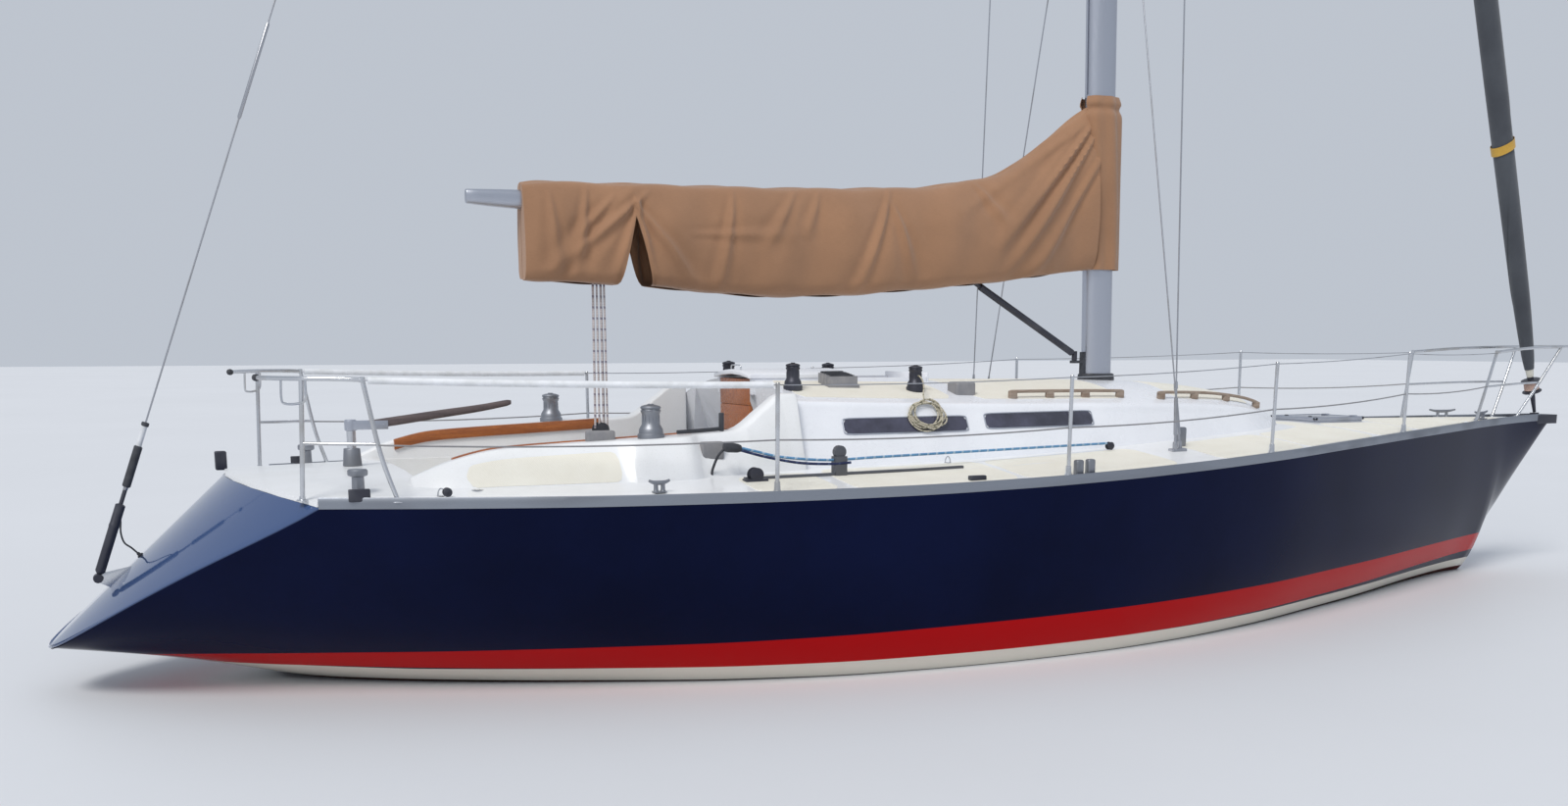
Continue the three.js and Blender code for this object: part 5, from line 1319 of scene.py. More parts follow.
class YACHT_OT_deck_fittings(bpy.types.Operator):
    """Builds cleats, filler caps, pad eyes and turning blocks"""
    bl_idname = "yacht.deck_fittings"
    bl_label = "Deck fittings"

    def execute(self, context):
        cleats, caps, eyes, blocks = [], [], [], []
        for tag, side in SIDES:
            cleats.append(turned(f"stern_post_{tag}", STERN_POST, on_deck("stern_post", side), sides=28))
            s, y = FITTINGS["small_cleat"]
            cleats.append(cleat(f"small_cleat_{tag}", s, side * y, 0.0, 0.12))
            post = SPRING_POSTS
            for k, s in enumerate(post["s"]):
                z = deck_z(s, post["y"])
                cleats.append(slab(f"spring_post_{tag}_{k}", s, s + post["long"], side * post["y"], post["half"],
                                   z - 0.004, z + post["high"], 0.012, 3))
            s, y = FITTINGS["shroud_block"]
            z = deck_z(s, y)
            cleats.append(slab(f"shroud_block_{tag}", s - 0.04, s + 0.04, side * y, 0.024, z - 0.004, z + 0.13, 0.014,
                               3))
            z = deck_z(1.55, 1.2) + RAIL_HEIGHT
            blocks.append(slab(f"fairlead_{tag}", 1.5, 1.61, side * 1.249, 0.014, z - 0.052, z + 0.014, 0.006, 3))
            s, y = FITTINGS["bow_cleat"]
            cleats.append(cleat(f"bow_cleat_{tag}", s, side * y, -side * 0.3, 0.24))
            s, y = FITTINGS["filler"]
            caps.append(deck_cap(f"filler_{tag}", s, side * y, 0.034))
            for name in ("aft_eye", "track_eye"):
                s, y = FITTINGS[name]
                eyes.append(pad_eye(f"{name}_{tag}", s, side * y))
            place = on_deck("turning_block", side, 0.036)
            blocks.append(deck_block(f"turning_block_{tag}", place, (1, 0, 0), 0.042, 0.03))
            s, y = FITTINGS["turning_block"]
            blocks.append(slab(f"turning_foot_{tag}", s - 0.07, s + 0.07, side * y, 0.032, place.z - 0.05,
                               place.z - 0.022, 0.005))
            blocks.append(deck_block(f"lead_block_{tag}", on_deck("lead_block", side, 0.032), (1, 0, 0), 0.024))
            s, y = FITTINGS["track_stop"]
            z = deck_z(s, y)
            blocks.append(slab(f"track_stop_{tag}", s - 0.05, s + 0.06, side * y, 0.02, z - 0.004, z + 0.028, 0.007, 3))
            blocks.append(deck_block(f"roof_lead_{tag}", on_deck("roof_lead", side, 0.03), (1, 0, 0), 0.026))
        z = deck_z(1.03, 0.86)
        blocks.append(slab("quarter_box", 1.0, 1.07, 0.86, 0.03, z - 0.004, z + 0.115, 0.01, 3))
        finish(joined("mooring_cleats", cleats), "boat", "casting")
        finish(joined("filler_caps", caps), "boat", "stainless")
        finish(joined("pad_eyes", eyes), "boat", "stainless")
        finish(joined("deck_blocks", blocks), "boat", "dark_alloy")
        return {"FINISHED"}


# Cockpit and coamings
def seat_panel(name, s0, s1, y0, y1, z, rise):
    """A flat raised panel with round corners on a seat or the sole."""
    middle = (y0 + y1) / 2
    half = abs(y1 - y0) / 2
    panel = deck_panel(name, s0, s1, lambda s: -half, lambda s: half, rise, 0.05, lambda s, y: z, 1, 30, 6)
    panel.data.transform(Matrix.Translation((0, middle, 0)))
    return panel


class YACHT_OT_cockpit(bpy.types.Operator):
    """Builds the cockpit liner with its seats, lockers and grating"""
    bl_idname = "yacht.cockpit"
    bl_label = "Cockpit"

    def execute(self, context):
        c, rise = COCKPIT, context.scene.yacht_deck.tread_rise
        finish(smoothed("cockpit_liner", "cockpit", 0.005, 3), "boat", "liner", ["cockpit"])
        panels = []
        for tag, side in SIDES:
            inner, outer = side * (c["sole_half"] + 0.03), side * (c["half"] - c["wall"] - 0.04)
            for number, (s0, s1) in enumerate([(2.3, 3.17), (3.37, 4.04)]):
                low, high = sorted((inner, outer))
                panels.append(seat_panel(f"seat_{tag}_{number}", s0, s1, low, high, c["seat_z"], rise))
        panels.append(seat_panel("seat_aft", 2.0, 2.22, -0.8, 0.8, c["seat_z"], rise))
        rims = []
        for name, s0, s1 in (("rim_aft", 1.926, 1.955), ("rim_fore", 4.105, 4.134)):
            def place(u, v, s0=s0, s1=s1):
                y = -0.9 + 1.8 * u
                top = deck_z(s0 + 0.014, y) - 0.004
                s, z = corner_at([(s0, 1.17), (s1, 1.17), (s1, top), (s0, top)], v)
                return at(s, y, z)

            rims.append(closed(surface(name, 24, 4, place)))
        finish(joined("cockpit_rims", rims), "boat", "gelcoat")
        finish(joined("seat_panels", panels), "boat", "tread")
        slats = []
        for k in range(11):
            y = -0.3 + 0.06 * k
            slats.append(block(f"slat_{k}", (2.3, y - 0.02, 0.6115), (4.03, y + 0.02, 0.629), 0.003))
        for k in range(6):
            s = 2.36 + 0.322 * k
            slats.append(block(f"bearer_{k}", (s - 0.02, -0.33, 0.6105), (s + 0.02, 0.33, 0.621), 0.002))
        finish(joined("sole_grating", slats), "boat", "teak")
        return {"FINISHED"}


def coaming_section(s, side):
    """The seven corners of a coaming's section at s."""
    top, inner, outer, foot = (lookup(COAMING, k, s) for k in (1, 2, 3, 4))
    corners = [(0.874, 0.9), (foot, 0.9), (foot, 1.15), (outer + 0.014, top - 0.026), (outer - 0.014, top),
               (inner + 0.006, top), (0.88, top - 0.01)]
    return [at(s, side * y, z) for y, z in corners]


def coaming_body(name, side):
    """A coaming through its section at evenly spaced stations."""
    s0, s1 = COAMING[0][0], COAMING[-1][0]

    def place(u, v):
        return corner_at(coaming_section(s0 + (s1 - s0) * u, side), v)

    piece = closed(surface(name, 60, 7, place))
    return eased(piece, 0.011, 30, 3)


# Wooden strip along a coaming's inner edge, and the cream panel on its outer slope
STRIP = {"aft": 2.12, "long": 1.43, "inner": 0.864, "outer": 0.902, "below": 0.062, "above": 0.006}
SLOPE = {"aft": 2.16, "fore": 3.02, "corner": 0.05}


class YACHT_OT_coamings(bpy.types.Operator):
    """Builds the two cockpit coamings with their wooden strips and cream panels"""
    bl_idname = "yacht.coamings"
    bl_label = "Coamings"

    def execute(self, context):
        for tag, side in SIDES:
            name = "coaming_" + tag
            finish(coaming_body("moulded_" + name, side), "boat", "gelcoat", [name])

            def strip_place(u, v, side=side):
                s = STRIP["aft"] + STRIP["long"] * u
                low, high = lookup(COAMING, 1, s) - STRIP["below"], lookup(COAMING, 1, s) + STRIP["above"]
                inner, outer = STRIP["inner"], STRIP["outer"]
                y, z = corner_at([(inner, low), (outer, low), (outer, high), (inner, high)], v)
                return at(s, side * y, z)

            strip = closed(surface(f"coaming_strip_{side}", 40, 4, strip_place))
            eased(strip, 0.004, 40)
            finish(named(strip, "wooden_strip_" + name), "boat", "varnish")

            def slope_place(u, v, side=side):
                """A place on the panel, whose corners are round."""
                s = SLOPE["aft"] + (SLOPE["fore"] - SLOPE["aft"]) * u
                top, outer, foot = (lookup(COAMING, k, s) for k in (1, 3, 4))
                near = min(s - SLOPE["aft"], SLOPE["fore"] - s)
                pinch = 0.3 * (1 - math.sqrt(max(1 - max(1 - near / SLOPE["corner"], 0.0) ** 2, 0.0)))
                part = 0.14 + pinch + (0.72 - 2 * pinch) * v
                y, z = foot + (outer + 0.014 - foot) * part, 1.15 + (top - 0.026 - 1.15) * part
                return at(s, side * (y + 0.002), z + 0.0014)

            panel = surface(f"coaming_slope_{side}", 40, 8, slope_place)
            walled(faced(panel, (0, 0, 1)), 0.004)
            finish(named(panel, "cream_panel_" + name), "boat", "tread")
        gear = []
        for side in (-1, 1):
            gear.append(slab(f"sheet_jammer_{side}", 3.52, 3.66, side * 1.1, 0.028, 1.28, 1.385, 0.012, 3))
        gear.append(block("coaming_box", (2.88, -0.965, 1.38), (3.05, -0.912, 1.455), 0.012, 3))
        finish(joined("coaming_gear", gear), "boat", "grey_moulding")
        handle = pipe("winch_handle_bar", [at(3.42, -0.985, 1.437), at(3.55, -0.985, 1.442), at(3.7, -0.985, 1.451)],
                      0.012, steps=20, sides=14)
        grip = rod("winch_handle_grip", at(3.7, -0.985, 1.437), at(3.7, -0.985, 1.545), 0.016, 18, 0.004)
        finish(joined("winch_handle", [handle, grip]), "boat", "dark_moulding")
        return {"FINISHED"}


TILLER_AFT = 1.82
# Tiller: s, height, half width, half depth
TILLER = [
    (1.65, 1.452, 0.034, 0.026), (1.715, 1.458, 0.040, 0.028), (1.80, 1.466, 0.032, 0.026),
    (1.95, 1.484, 0.024, 0.027), (2.25, 1.524, 0.020, 0.025), (2.5, 1.556, 0.018, 0.022),
    (2.66, 1.583, 0.0185, 0.0195), (2.69, 1.588, 0.012, 0.013),
]


class YACHT_OT_steering(bpy.types.Operator):
    """Builds the tiller, its head and the bearing under it"""
    bl_idname = "yacht.steering"
    bl_label = "Tiller"

    def execute(self, context):
        def place(u, v):
            s = TILLER_AFT + (TILLER[-1][0] - TILLER_AFT) * (1 - (1 - u) ** 1.4)
            z, half, deep = (lookup(TILLER, k, s) for k in (1, 2, 3))
            angle = 2 * math.pi * v
            return at(s, half * squared(math.cos(angle), 0.85), z + deep * squared(math.sin(angle), 0.85))

        bar = closed(surface("tiller_bar", 48, 20, place))
        finish(bar, "rudder", "dark_wood", ["tiller"])
        cheeks = [slab(f"head_cheek_{side}", 1.69, 1.93, side * 0.031, 0.0035, 1.4415, 1.4935, 0.002)
                  for side in (-1, 1)]
        body = turned("head_socket", [(0.03, 0.0), (0.036, 0.004), (0.036, 0.06), (0.03, 0.066)], at(1.715, 0, 1.435),
                      sides=28)
        bolts = [rod(f"head_bolt_{k}", at(s, -0.039, 1.47), at(s, 0.039, 1.47), 0.006, 12, 0.001)
                 for k, s in enumerate((1.84, 1.905))]
        finish(joined("tiller_head", cheeks + [body] + bolts), "rudder", "anodised")
        finish(smoothed("stock_bearing", "rudder_bearing", 0.004, 3), "boat", "casting",
               ["rudder_bearing"])
        return {"FINISHED"}


# Coachroof
# Side windows: name, first s, last s, lower edge, upper edge
WINDOWS = (("aft", 4.52, 5.41, 1.40, 1.485), ("fore", 5.56, 6.45, 1.41, 1.495))
# Non-slip panels of one side: name, first s, last s, inner edge
ROOF_PANELS = (("aft", 4.3, 5.4, 0.32), ("mid", 5.6, 6.85, 0.05), ("fore", 7.4, 8.3, 0.04))
# Grab rails of one side: name, first s, last s, first y, last y
GRAB_RAILS = (("aft", 5.84, 6.87, 0.79, 0.675), ("fore", 7.18, 8.38, 0.655, 0.375))
GRAB_RAIL_LIFT = 0.045


def roof_section(v):
    """Share v of the section from the port foot over the top: the side, and how far up that side."""
    side = 1 if v < 0.5 else -1
    part = min(v, 1 - v) * 2
    return side, part


def coachroof_place(u, v):
    s = ROOF_AFT + (ROOF_FORE - ROOF_AFT) * u
    side, part = roof_section(v)
    foot, half, edge = lookup(ROOF, 1, s), roof_half(s), roof_edge(s)
    if part < 0.08:
        y, z = foot, 1.1 + 0.08 * part / 0.08
    elif part < 0.38:
        share = (part - 0.08) / 0.3
        y, z = foot + (half + 0.022 - foot) * share, 1.18 + (edge - 0.044 - 1.18) * share
    elif part < 0.5:
        share = (part - 0.38) / 0.12
        y = (half + 0.022) * (1 - share) ** 2 + 2 * (half + 0.012) * share * (1 - share) + half * 0.985 * share**2
        z = (edge - 0.044) * (1 - share) ** 2 + 2 * (edge - 0.004) * share * (1 - share)
        z += roof_z(s, half * 0.985) * share**2
    else:
        y = half * 0.985 * (1 - (part - 0.5) / 0.5)
        z = roof_z(s, y)
    return at(s, side * y, z)


def window(name, s0, s1, low, high, side):
    """A long side window: a dark pane standing proud of the cabin side, in a slim frame."""
    middle, half = (low + high) / 2, (high - low) / 2

    def on_side(s, z, stand):
        part = (z - 1.18) / (roof_edge(s) - 0.044 - 1.18)
        place = cabin_side(s, part, stand)
        return Vector((place.x, place.y * -side, place.z))

    def place(u, v):
        s = s0 + (s1 - s0) * u
        near = min(s - s0, s1 - s)
        corner = half * 0.55
        pinch = corner - math.sqrt(max(corner**2 - max(corner - near, 0.0) ** 2, 0.0))
        return on_side(s, middle + (half - pinch) * (2 * v - 1), 0.0045)

    pane = surface(name + "_pane", 48, 4, place)
    walled(faced(pane, (0, side, 0)), 0.006)
    ring = []
    for k in range(96):
        angle = 2 * math.pi * k / 96
        c, d = math.cos(angle), math.sin(angle)
        s = (s0 + s1) / 2 + ((s1 - s0) / 2 + 0.005) * squared(c, 0.16)
        ring.append(on_side(s, middle + (half + 0.005) * squared(d, 0.16), 0.003))
    ring.append(ring[0])
    frame_piece = pipe(name + "_frame", ring, 0.0045, sides=8, smooth=False)
    return pane, frame_piece


def grab_rail(name, s0, s1, y0, y1, lift, feet=4):
    """A wooden rail on feet, following the roof."""
    def on_roof(u, rise):
        s, y = s0 + (s1 - s0) * u, y0 + (y1 - y0) * u
        return at(s, y, roof_z(s, abs(y)) + rise)

    def place(u, v):
        angle = 2 * math.pi * v
        end = min(1.0, min(u, 1 - u) / 0.04)
        size = 0.4 + 0.6 * math.sqrt(1 - (1 - end) ** 2)
        across, rise = squared(math.cos(angle), 0.7), squared(math.sin(angle), 0.7)
        return on_roof(u, lift) + Vector((0, 0.011 * size * across, 0.011 * size * rise))

    bar = closed(surface(name + "_bar", 60, 14, place))
    blocks = []
    for k in range(feet):
        u = 0.035 + 0.93 * k / (feet - 1)
        foot = on_roof(u, 0.0)
        s = foot.x + MIDSHIPS
        blocks.append(slab(f"{name}_foot_{k}", s - 0.032, s + 0.032, foot.y, 0.0115, foot.z - 0.004, foot.z + lift,
                           0.006, 3))
    return joined(name, [bar] + blocks)


class YACHT_OT_coachroof(bpy.types.Operator):
    """Builds the coachroof with its windows, non-slip panels and grab rails"""
    bl_idname = "yacht.coachroof"
    bl_label = "Coachroof"

    def execute(self, context):
        rise = context.scene.yacht_deck.tread_rise
        shell = closed(surface("coachroof_shell", 120, 96, coachroof_place))
        eased(shell, 0.012, 50, 3)
        cutter = block("hatchway_cutter", (4.1, -0.25, 0.8), (4.86, 0.25, 2.5), 0.0)
        cut(shell, cutter)
        finish(shell, "boat", "cabin", ["coachroof"])
        runners = []
        for side in (-1, 1):
            runners.append(slab(f"runner_{side}", 4.2, 5.51, side * 0.274, 0.018, 1.62, SLIDE["z"] - 0.0256))
        runners.append(block("runner_nose", (5.498, -0.292, 1.64), (5.52, 0.292, SLIDE["z"] + 0.004), 0.006, 3))
        finish(joined("hatch_runners", runners), "boat", "cabin")
        panes, frames = [], []
        for tag, side in SIDES:
            for place, s0, s1, low, high in WINDOWS:
                pane, ring = window(f"window_{tag}_{place}", s0, s1, low, high, side)
                panes.append(pane)
                frames.append(ring)
        finish(joined("side_windows", panes), "boat", "acrylic")
        finish(joined("window_frames", frames), "boat", "anodised")
        panels = []
        for side in (-1, 1):
            for name, s0, s1, inner in ROOF_PANELS:
                panels.append(deck_panel(f"roof_{name}_{side}", s0, s1, lambda s, inner=inner: inner,
                                         lambda s: roof_half(s) - 0.09,
                                         rise, 0.06, lambda s, y: roof_z(s, abs(y)), side, 30, 10))
        finish(joined("roof_panels", panels), "boat", "tread")
        rails = []
        for side in (-1, 1):
            for name, s0, s1, y0, y1 in GRAB_RAILS:
                rails.append(grab_rail(f"grab_rail_{name}_{side}", s0, s1, side * y0, side * y1, GRAB_RAIL_LIFT))
        finish(joined("grab_rails", rails), "boat", "rail_wood")
        return {"FINISHED"}


class YACHT_OT_companionway(bpy.types.Operator):
    """Builds the companionway's well, its boards and its sliding hatch"""
    bl_idname = "yacht.companionway"
    bl_label = "Companionway"

    def execute(self, context):
        well = open_box("companionway_well", (4.232, -0.246, 0.745), (4.856, 0.246, 1.56), 0.003)
        finish(well, "boat", "liner")
        steps = []
        for k in range(2):
            z = 1.2 - 0.22 * k
            steps.append(block(f"step_{k}", (4.68 - 0.14 * k, -0.22, z - 0.02), (4.852, 0.22, z), 0.004))
        finish(joined("companionway_steps", steps), "boat", "teak")
        boards = []
        for k in range(3):
            z0 = 1.2055 + 0.1722 * k
            board = block(f"board_{k}", (4.2035, -0.2485, z0), (4.2245, 0.2485, z0 + 0.1705), 0.0035, 3)
            boards.append(board)
        finish(joined("companionway_boards", boards), "boat", "varnish", ["washboards"])
        lid = smoothed("hatch_lid", "sliding_hatch", 0.007, 3, flat=0.3)
        finish(lid, "sliding_hatch", "cabin", ["sliding_hatch"])
        grip = [(0.0, 0.0), (0.0, 0.02), (0.02, 0.028), (0.14, 0.028), (0.16, 0.02), (0.16, 0.0)]
        line = [at(4.215, y - 0.08, SLIDE["z"] + SLIDE["thick"] - 0.004 + z) for y, z in grip]
        finish(pipe("hatch_grip", line, 0.005, steps=30, sides=10), "sliding_hatch", "stainless")
        return {"FINISHED"}


class YACHT_OT_fore_hatch(bpy.types.Operator):
    """Builds the smoked fore hatch, its frame and the pit under it"""
    bl_idname = "yacht.fore_hatch"
    bl_label = "Fore hatch"

    def execute(self, context):
        aft, fore, half, low = (FORE_HATCH[key] for key in ("aft", "fore", "half", "z"))
        high = low + FORE_HATCH["thick"]
        pane = block("hatch_pane", (aft + 0.022, 0.022 - half, low + 0.003),
                     (fore - 0.022, half - 0.022, high - 0.0015), 0.004, 3)
        finish(pane, "fore_hatch", "acrylic", ["fore_hatch"])
        sides = []
        for k, (s0, s1, y0, y1) in enumerate([
            (aft, fore, -half, 0.03 - half), (aft, fore, half - 0.03, half), (aft, aft + 0.03, -half, half),
            (fore - 0.03, fore, -half, half),
        ]):
            sides.append(block(f"lid_side_{k}", (s0, y0, low), (s1, y1, high), 0.006, 3))
        hinges = [slab(f"lid_hinge_{k}", fore - 0.045, fore + 0.006, y, 0.02, high - 0.004, high + 0.005, 0.002)
                  for k, y in enumerate((-0.15, 0.15))]
        finish(joined("hatch_lid_frame", sides + hinges), "fore_hatch", "anodised")
        handles = []
        for k, y in enumerate((-0.13, 0.13)):
            handles.append(turned(f"hatch_dog_{k}", [(0.016, 0.0), (0.016, 0.006), (0.01, 0.01)],
                                  at(aft + 0.06, y, high - 0.003), sides=20))
        finish(joined("hatch_dogs", handles), "fore_hatch", "dark_moulding")
        finish(smoothed("hatch_coaming", "fore_hatch_frame", 0.004, 2), "boat", "anodised",
               ["fore_hatch_frame"])
        pit = open_box("hatch_pit", (9.121, -0.209, 0.93), (9.559, 0.209, 1.3), 0.0025)
        finish(pit, "boat", "liner")
        return {"FINISHED"}


# Winch drum: share of the radius, share of the height
WINCH_PROFILE = [
    (1.1, -0.12), (1.12, 0.05), (1.1, 0.085), (1.0, 0.12), (0.985, 0.23), (0.92, 0.28), (0.76, 0.38), (0.715, 0.5),
    (0.70, 0.6), (0.715, 0.69), (0.80, 0.77), (0.845, 0.80), (0.85, 0.815), (0.78, 0.83), (0.76, 0.85), (0.78, 0.868),
    (0.85, 0.885), (0.845, 0.92), (0.78, 0.95), (0.5, 0.985), (0.24, 1.0),
]


def winch(name, s, y, radius, height):
    on_roof = s > ROOF_AFT
    foot = roof_z(s, abs(y)) + 0.012 if on_roof else lookup(COAMING, 1, s) + 0.006
    place = at(s, y, foot)
    drum = turned(name + "_drum", [(radius * r, height * z) for r, z in WINCH_PROFILE], place, sides=40)
    ribs = []
    for k in range(12):
        angle = 2 * math.pi * k / 12
        way = Vector((math.cos(angle), math.sin(angle), 0))
        low = place + way * radius * 0.722 + Vector((0, 0, height * 0.42))
        high = place + way * radius * 0.708 + Vector((0, 0, height * 0.68))
        ribs.append(rod(f"{name}_rib_{k}", low, high, 0.0028, 6))
    socket = turned(name + "_socket", [(radius * 0.26, 0.0), (radius * 0.26, 0.004), (radius * 0.2, 0.005),
                                       (radius * 0.17, 0.001)], place + Vector((0, 0, height - 0.001)), sides=20)
    stripper = block(name + "_arm", (s - 0.011, y - radius * 0.86, foot + height * 0.8),
                     (s + 0.011, y - radius * 0.3, foot + height * 0.87), 0.003)
    return joined(name + "_turned", [drum, socket, stripper] + ribs)


class YACHT_OT_winches(bpy.types.Operator):
    """Builds the six winches"""
    bl_idname = "yacht.winches"
    bl_label = "Winches"

    def execute(self, context):
        for name, s, y, radius, height in WINCHES:
            metal = "casting" if name.startswith("primary") else "dark_alloy"
            finish(winch(name, s, y, radius, height), "boat", metal, [name], angle=30)
        return {"FINISHED"}


class YACHT_OT_roof_gear(bpy.types.Operator):
    """Builds the line clutches and the vent box"""
    bl_idname = "yacht.roof_gear"
    bl_label = "Clutches and vent"

    def execute(self, context):
        clutches = smoothed("clutch_bodies", "line_clutches", 0.005, 2)
        finish(clutches, "boat", "grey_moulding", ["line_clutches"])
        levers = []
        for k in range(4):
            y = -0.43 - 0.044 * k
            z = roof_z(4.72, abs(y)) + 0.072
            levers.append(slab(f"lever_{k}", 4.63, 4.79, y, 0.011, z - 0.004, z + 0.009))
        finish(joined("clutch_levers", levers), "boat", "dark_moulding")
        z = roof_z(5.57, 0.67)
        box = block("vent_body", (5.47, -0.74, z - 0.045), (5.62, -0.61, z + 0.07), 0.018, 4)
        finish(box, "boat", "grey_moulding")
        return {"FINISHED"}


# Rails round stern and bow, stanchions and lifelines
RAIL_TOP = 1.765
PUSHPIT_TOP = [(1.597, 1.262, RAIL_TOP), (1.5, 1.23, 1.769), (1.31, 1.13, 1.771), (1.2, 0.985, 1.771),
               (1.12, 0.82, 1.771)]
KNOB = [(0.011, 0.0), (0.0145, 0.003), (0.0145, 0.027), (0.011, 0.03)]
RAIL_END = [(0.013, 0.0), (0.018, 0.004), (0.0195, 0.014), (0.018, 0.026), (0.011, 0.034), (0.004, 0.036)]
HOOP = [(1.225, 1.02, 1.762), (1.222, 1.028, 1.665), (1.234, 1.048, 1.643), (1.285, 1.115, 1.643),
        (1.325, 1.152, 1.665), (1.33, 1.15, 1.762)]
# Legs of one half of a rail, for the port side: s, y, z, with no z on the deck
PUSHPIT_LEGS = {
    "aft": [(1.288, 1.104, None), (1.301, 1.12, 1.465), (1.312, 1.13, RAIL_TOP)],
    "fore": [(1.745, 1.297, None), (1.668, 1.28, 1.385), (1.597, 1.262, RAIL_TOP)],
    "middle": [(1.659, 1.278, 1.435), (1.48, 1.203, 1.437), (1.3, 1.119, 1.44)],
}
PULPIT_LEGS = {
    "aft": [(10.7, 0.385, None), (10.77, 0.41, 1.605), (10.83, 0.43, 1.875)],
    "fore": [(11.5, 0.12, None), (11.7, 0.18, 1.635), (11.86, 0.228, 1.917)],
    "middle": [(10.768, 0.409, 1.595), (11.25, 0.29, 1.61), (11.676, 0.174, 1.615)],
}
PULPIT_TOP = [
    (10.83, -0.43, 1.875), (11.3, -0.335, 1.905), (11.8, -0.235, 1.917), (12.13, -0.17, 1.919), (12.235, 0.0, 1.919),
    (12.13, 0.17, 1.919), (11.8, 0.235, 1.917), (11.3, 0.335, 1.905), (10.83, 0.43, 1.875),
]


def rail_foot(name, s, y, size=0.036):
    """A round screwed flange under a tube."""
    z = deck_z(s, abs(y))
    flange = turned(name, [(size, 0.0), (size, 0.004), (size - 0.003, 0.006), (0.017, 0.008), (0.015, 0.024)],
                    at(s, y, z - 0.0015), sides=24)
    screws = []
    for k in range(3):
        angle = 2 * math.pi * k / 3 + 0.5
        place = at(s + 0.026 * math.cos(angle), y + 0.026 * math.sin(angle), z + 0.003)
        screws.append(turned(f"{name}_screw_{k}", [(0.0045, 0.0), (0.004, 0.003)], place, sides=10))
    return joined(name, [flange] + screws)


def rail_legs(name, side, radius, legs, steps):
    """The two legs and the middle rail of one half of a rail; steps are those of the middle rail."""
    parts = [pipe(f"{name}_{leg}_{side}", for_side(side, legs[leg]), radius, steps=fine, sides=16)
             for leg, fine in (("aft", 16), ("fore", 20))]
    return parts + [pipe(f"{name}_middle_{side}", for_side(side, legs["middle"]), 0.009, steps=steps, sides=12)]


def stern_rail(side, radius):
    """Half of the pushpit: its top rail ends free beside the backstay."""
    parts = [pipe(f"pushpit_top_{side}", for_side(side, PUSHPIT_TOP), radius, steps=64, sides=16)]
    parts += rail_legs("pushpit", side, radius, PUSHPIT_LEGS, 16)
    parts.append(turned(f"pushpit_knob_{side}", KNOB, at(1.597, side * 1.262, RAIL_TOP - 0.015), sides=16))
    parts.append(rail_foot(f"pushpit_foot_aft_{side}", 1.288, side * 1.1, 0.03))
    parts.append(rail_foot(f"pushpit_foot_fore_{side}", 1.745, side * 1.297))
    return joined(f"stern_rail_{side}", parts)


def bow_rail(radius):
    parts = [pipe("pulpit_top", [at(*p) for p in PULPIT_TOP], radius, steps=100, sides=16)]
    for side in (-1, 1):
        parts += rail_legs("pulpit", side, radius, PULPIT_LEGS, 18)
        parts.append(turned(f"pulpit_knob_{side}", KNOB, at(10.83, side * 0.43, 1.86), sides=16))
        parts.append(rail_foot(f"pulpit_foot_aft_{side}", 10.7, side * 0.385))
        parts.append(rail_foot(f"pulpit_foot_fore_{side}", 11.5, side * 0.12))
    return joined("bow_rail", parts)


def stanchion(name, s, y, side):
    base = deck_z(s, y)
    foot = [(0.03, -0.004), (0.034, 0.0), (0.034, 0.006), (0.024, 0.012), (0.0185, 0.03), (0.0165, 0.07),
            (0.0135, 0.072)]
    socket = turned(name + "_socket", foot, at(s, side * y, base), sides=24)
    post = rod(name + "_post", at(s, side * y, base + 0.02), at(s, side * (y + 0.008), base + 0.606), 0.012, 18, 0.001)
    cap = turned(name + "_cap", [(0.0125, 0.0), (0.0125, 0.006), (0.009, 0.012), (0.003, 0.014)],
                 at(s, side * (y + 0.008), base + 0.6), sides=18)
    eye = turned(name + "_ferrule", [(0.0135, 0.0), (0.0135, 0.016)], at(s, side * (y + 0.0035), base + 0.292),
                 sides=18)
    return joined(name, [socket, post, cap, eye])


def sagging(points, sag, steps=8):
    """A line through points that hangs a little between them."""
    line = []
    for a, b in zip(points, points[1:]):
        a, b = Vector(a), Vector(b)
        for k in range(steps):
            t = k / steps
            line.append(a.lerp(b, t) - Vector((0, 0, 4 * sag * t * (1 - t))))
    line.append(Vector(points[-1]))
    return line


class YACHT_OT_rails(bpy.types.Operator):
    """Builds the pushpit and the pulpit"""
    bl_idname = "yacht.rails"
    bl_label = "Pushpit and pulpit"

    def execute(self, context):
        radius = context.scene.yacht_rig.rail_tube / 2
        finish(bow_rail(radius), "boat", "stainless", ["pulpit"])
        for tag, side in SIDES:
            finish(stern_rail(side, radius), "boat", "stainless", [f"pushpit_{tag}"])
            ball = turned(f"rail_end_{tag}", RAIL_END, at(1.129, side * 0.838, 1.771), (-0.447, -0.894 * side, 0), 24)
            finish(ball, "boat", "dark_moulding")
            hoop = pipe(f"rail_hoop_{tag}", for_side(side, HOOP), 0.0065, steps=40, sides=10)
            finish(hoop, "boat", "stainless")
        return {"FINISHED"}


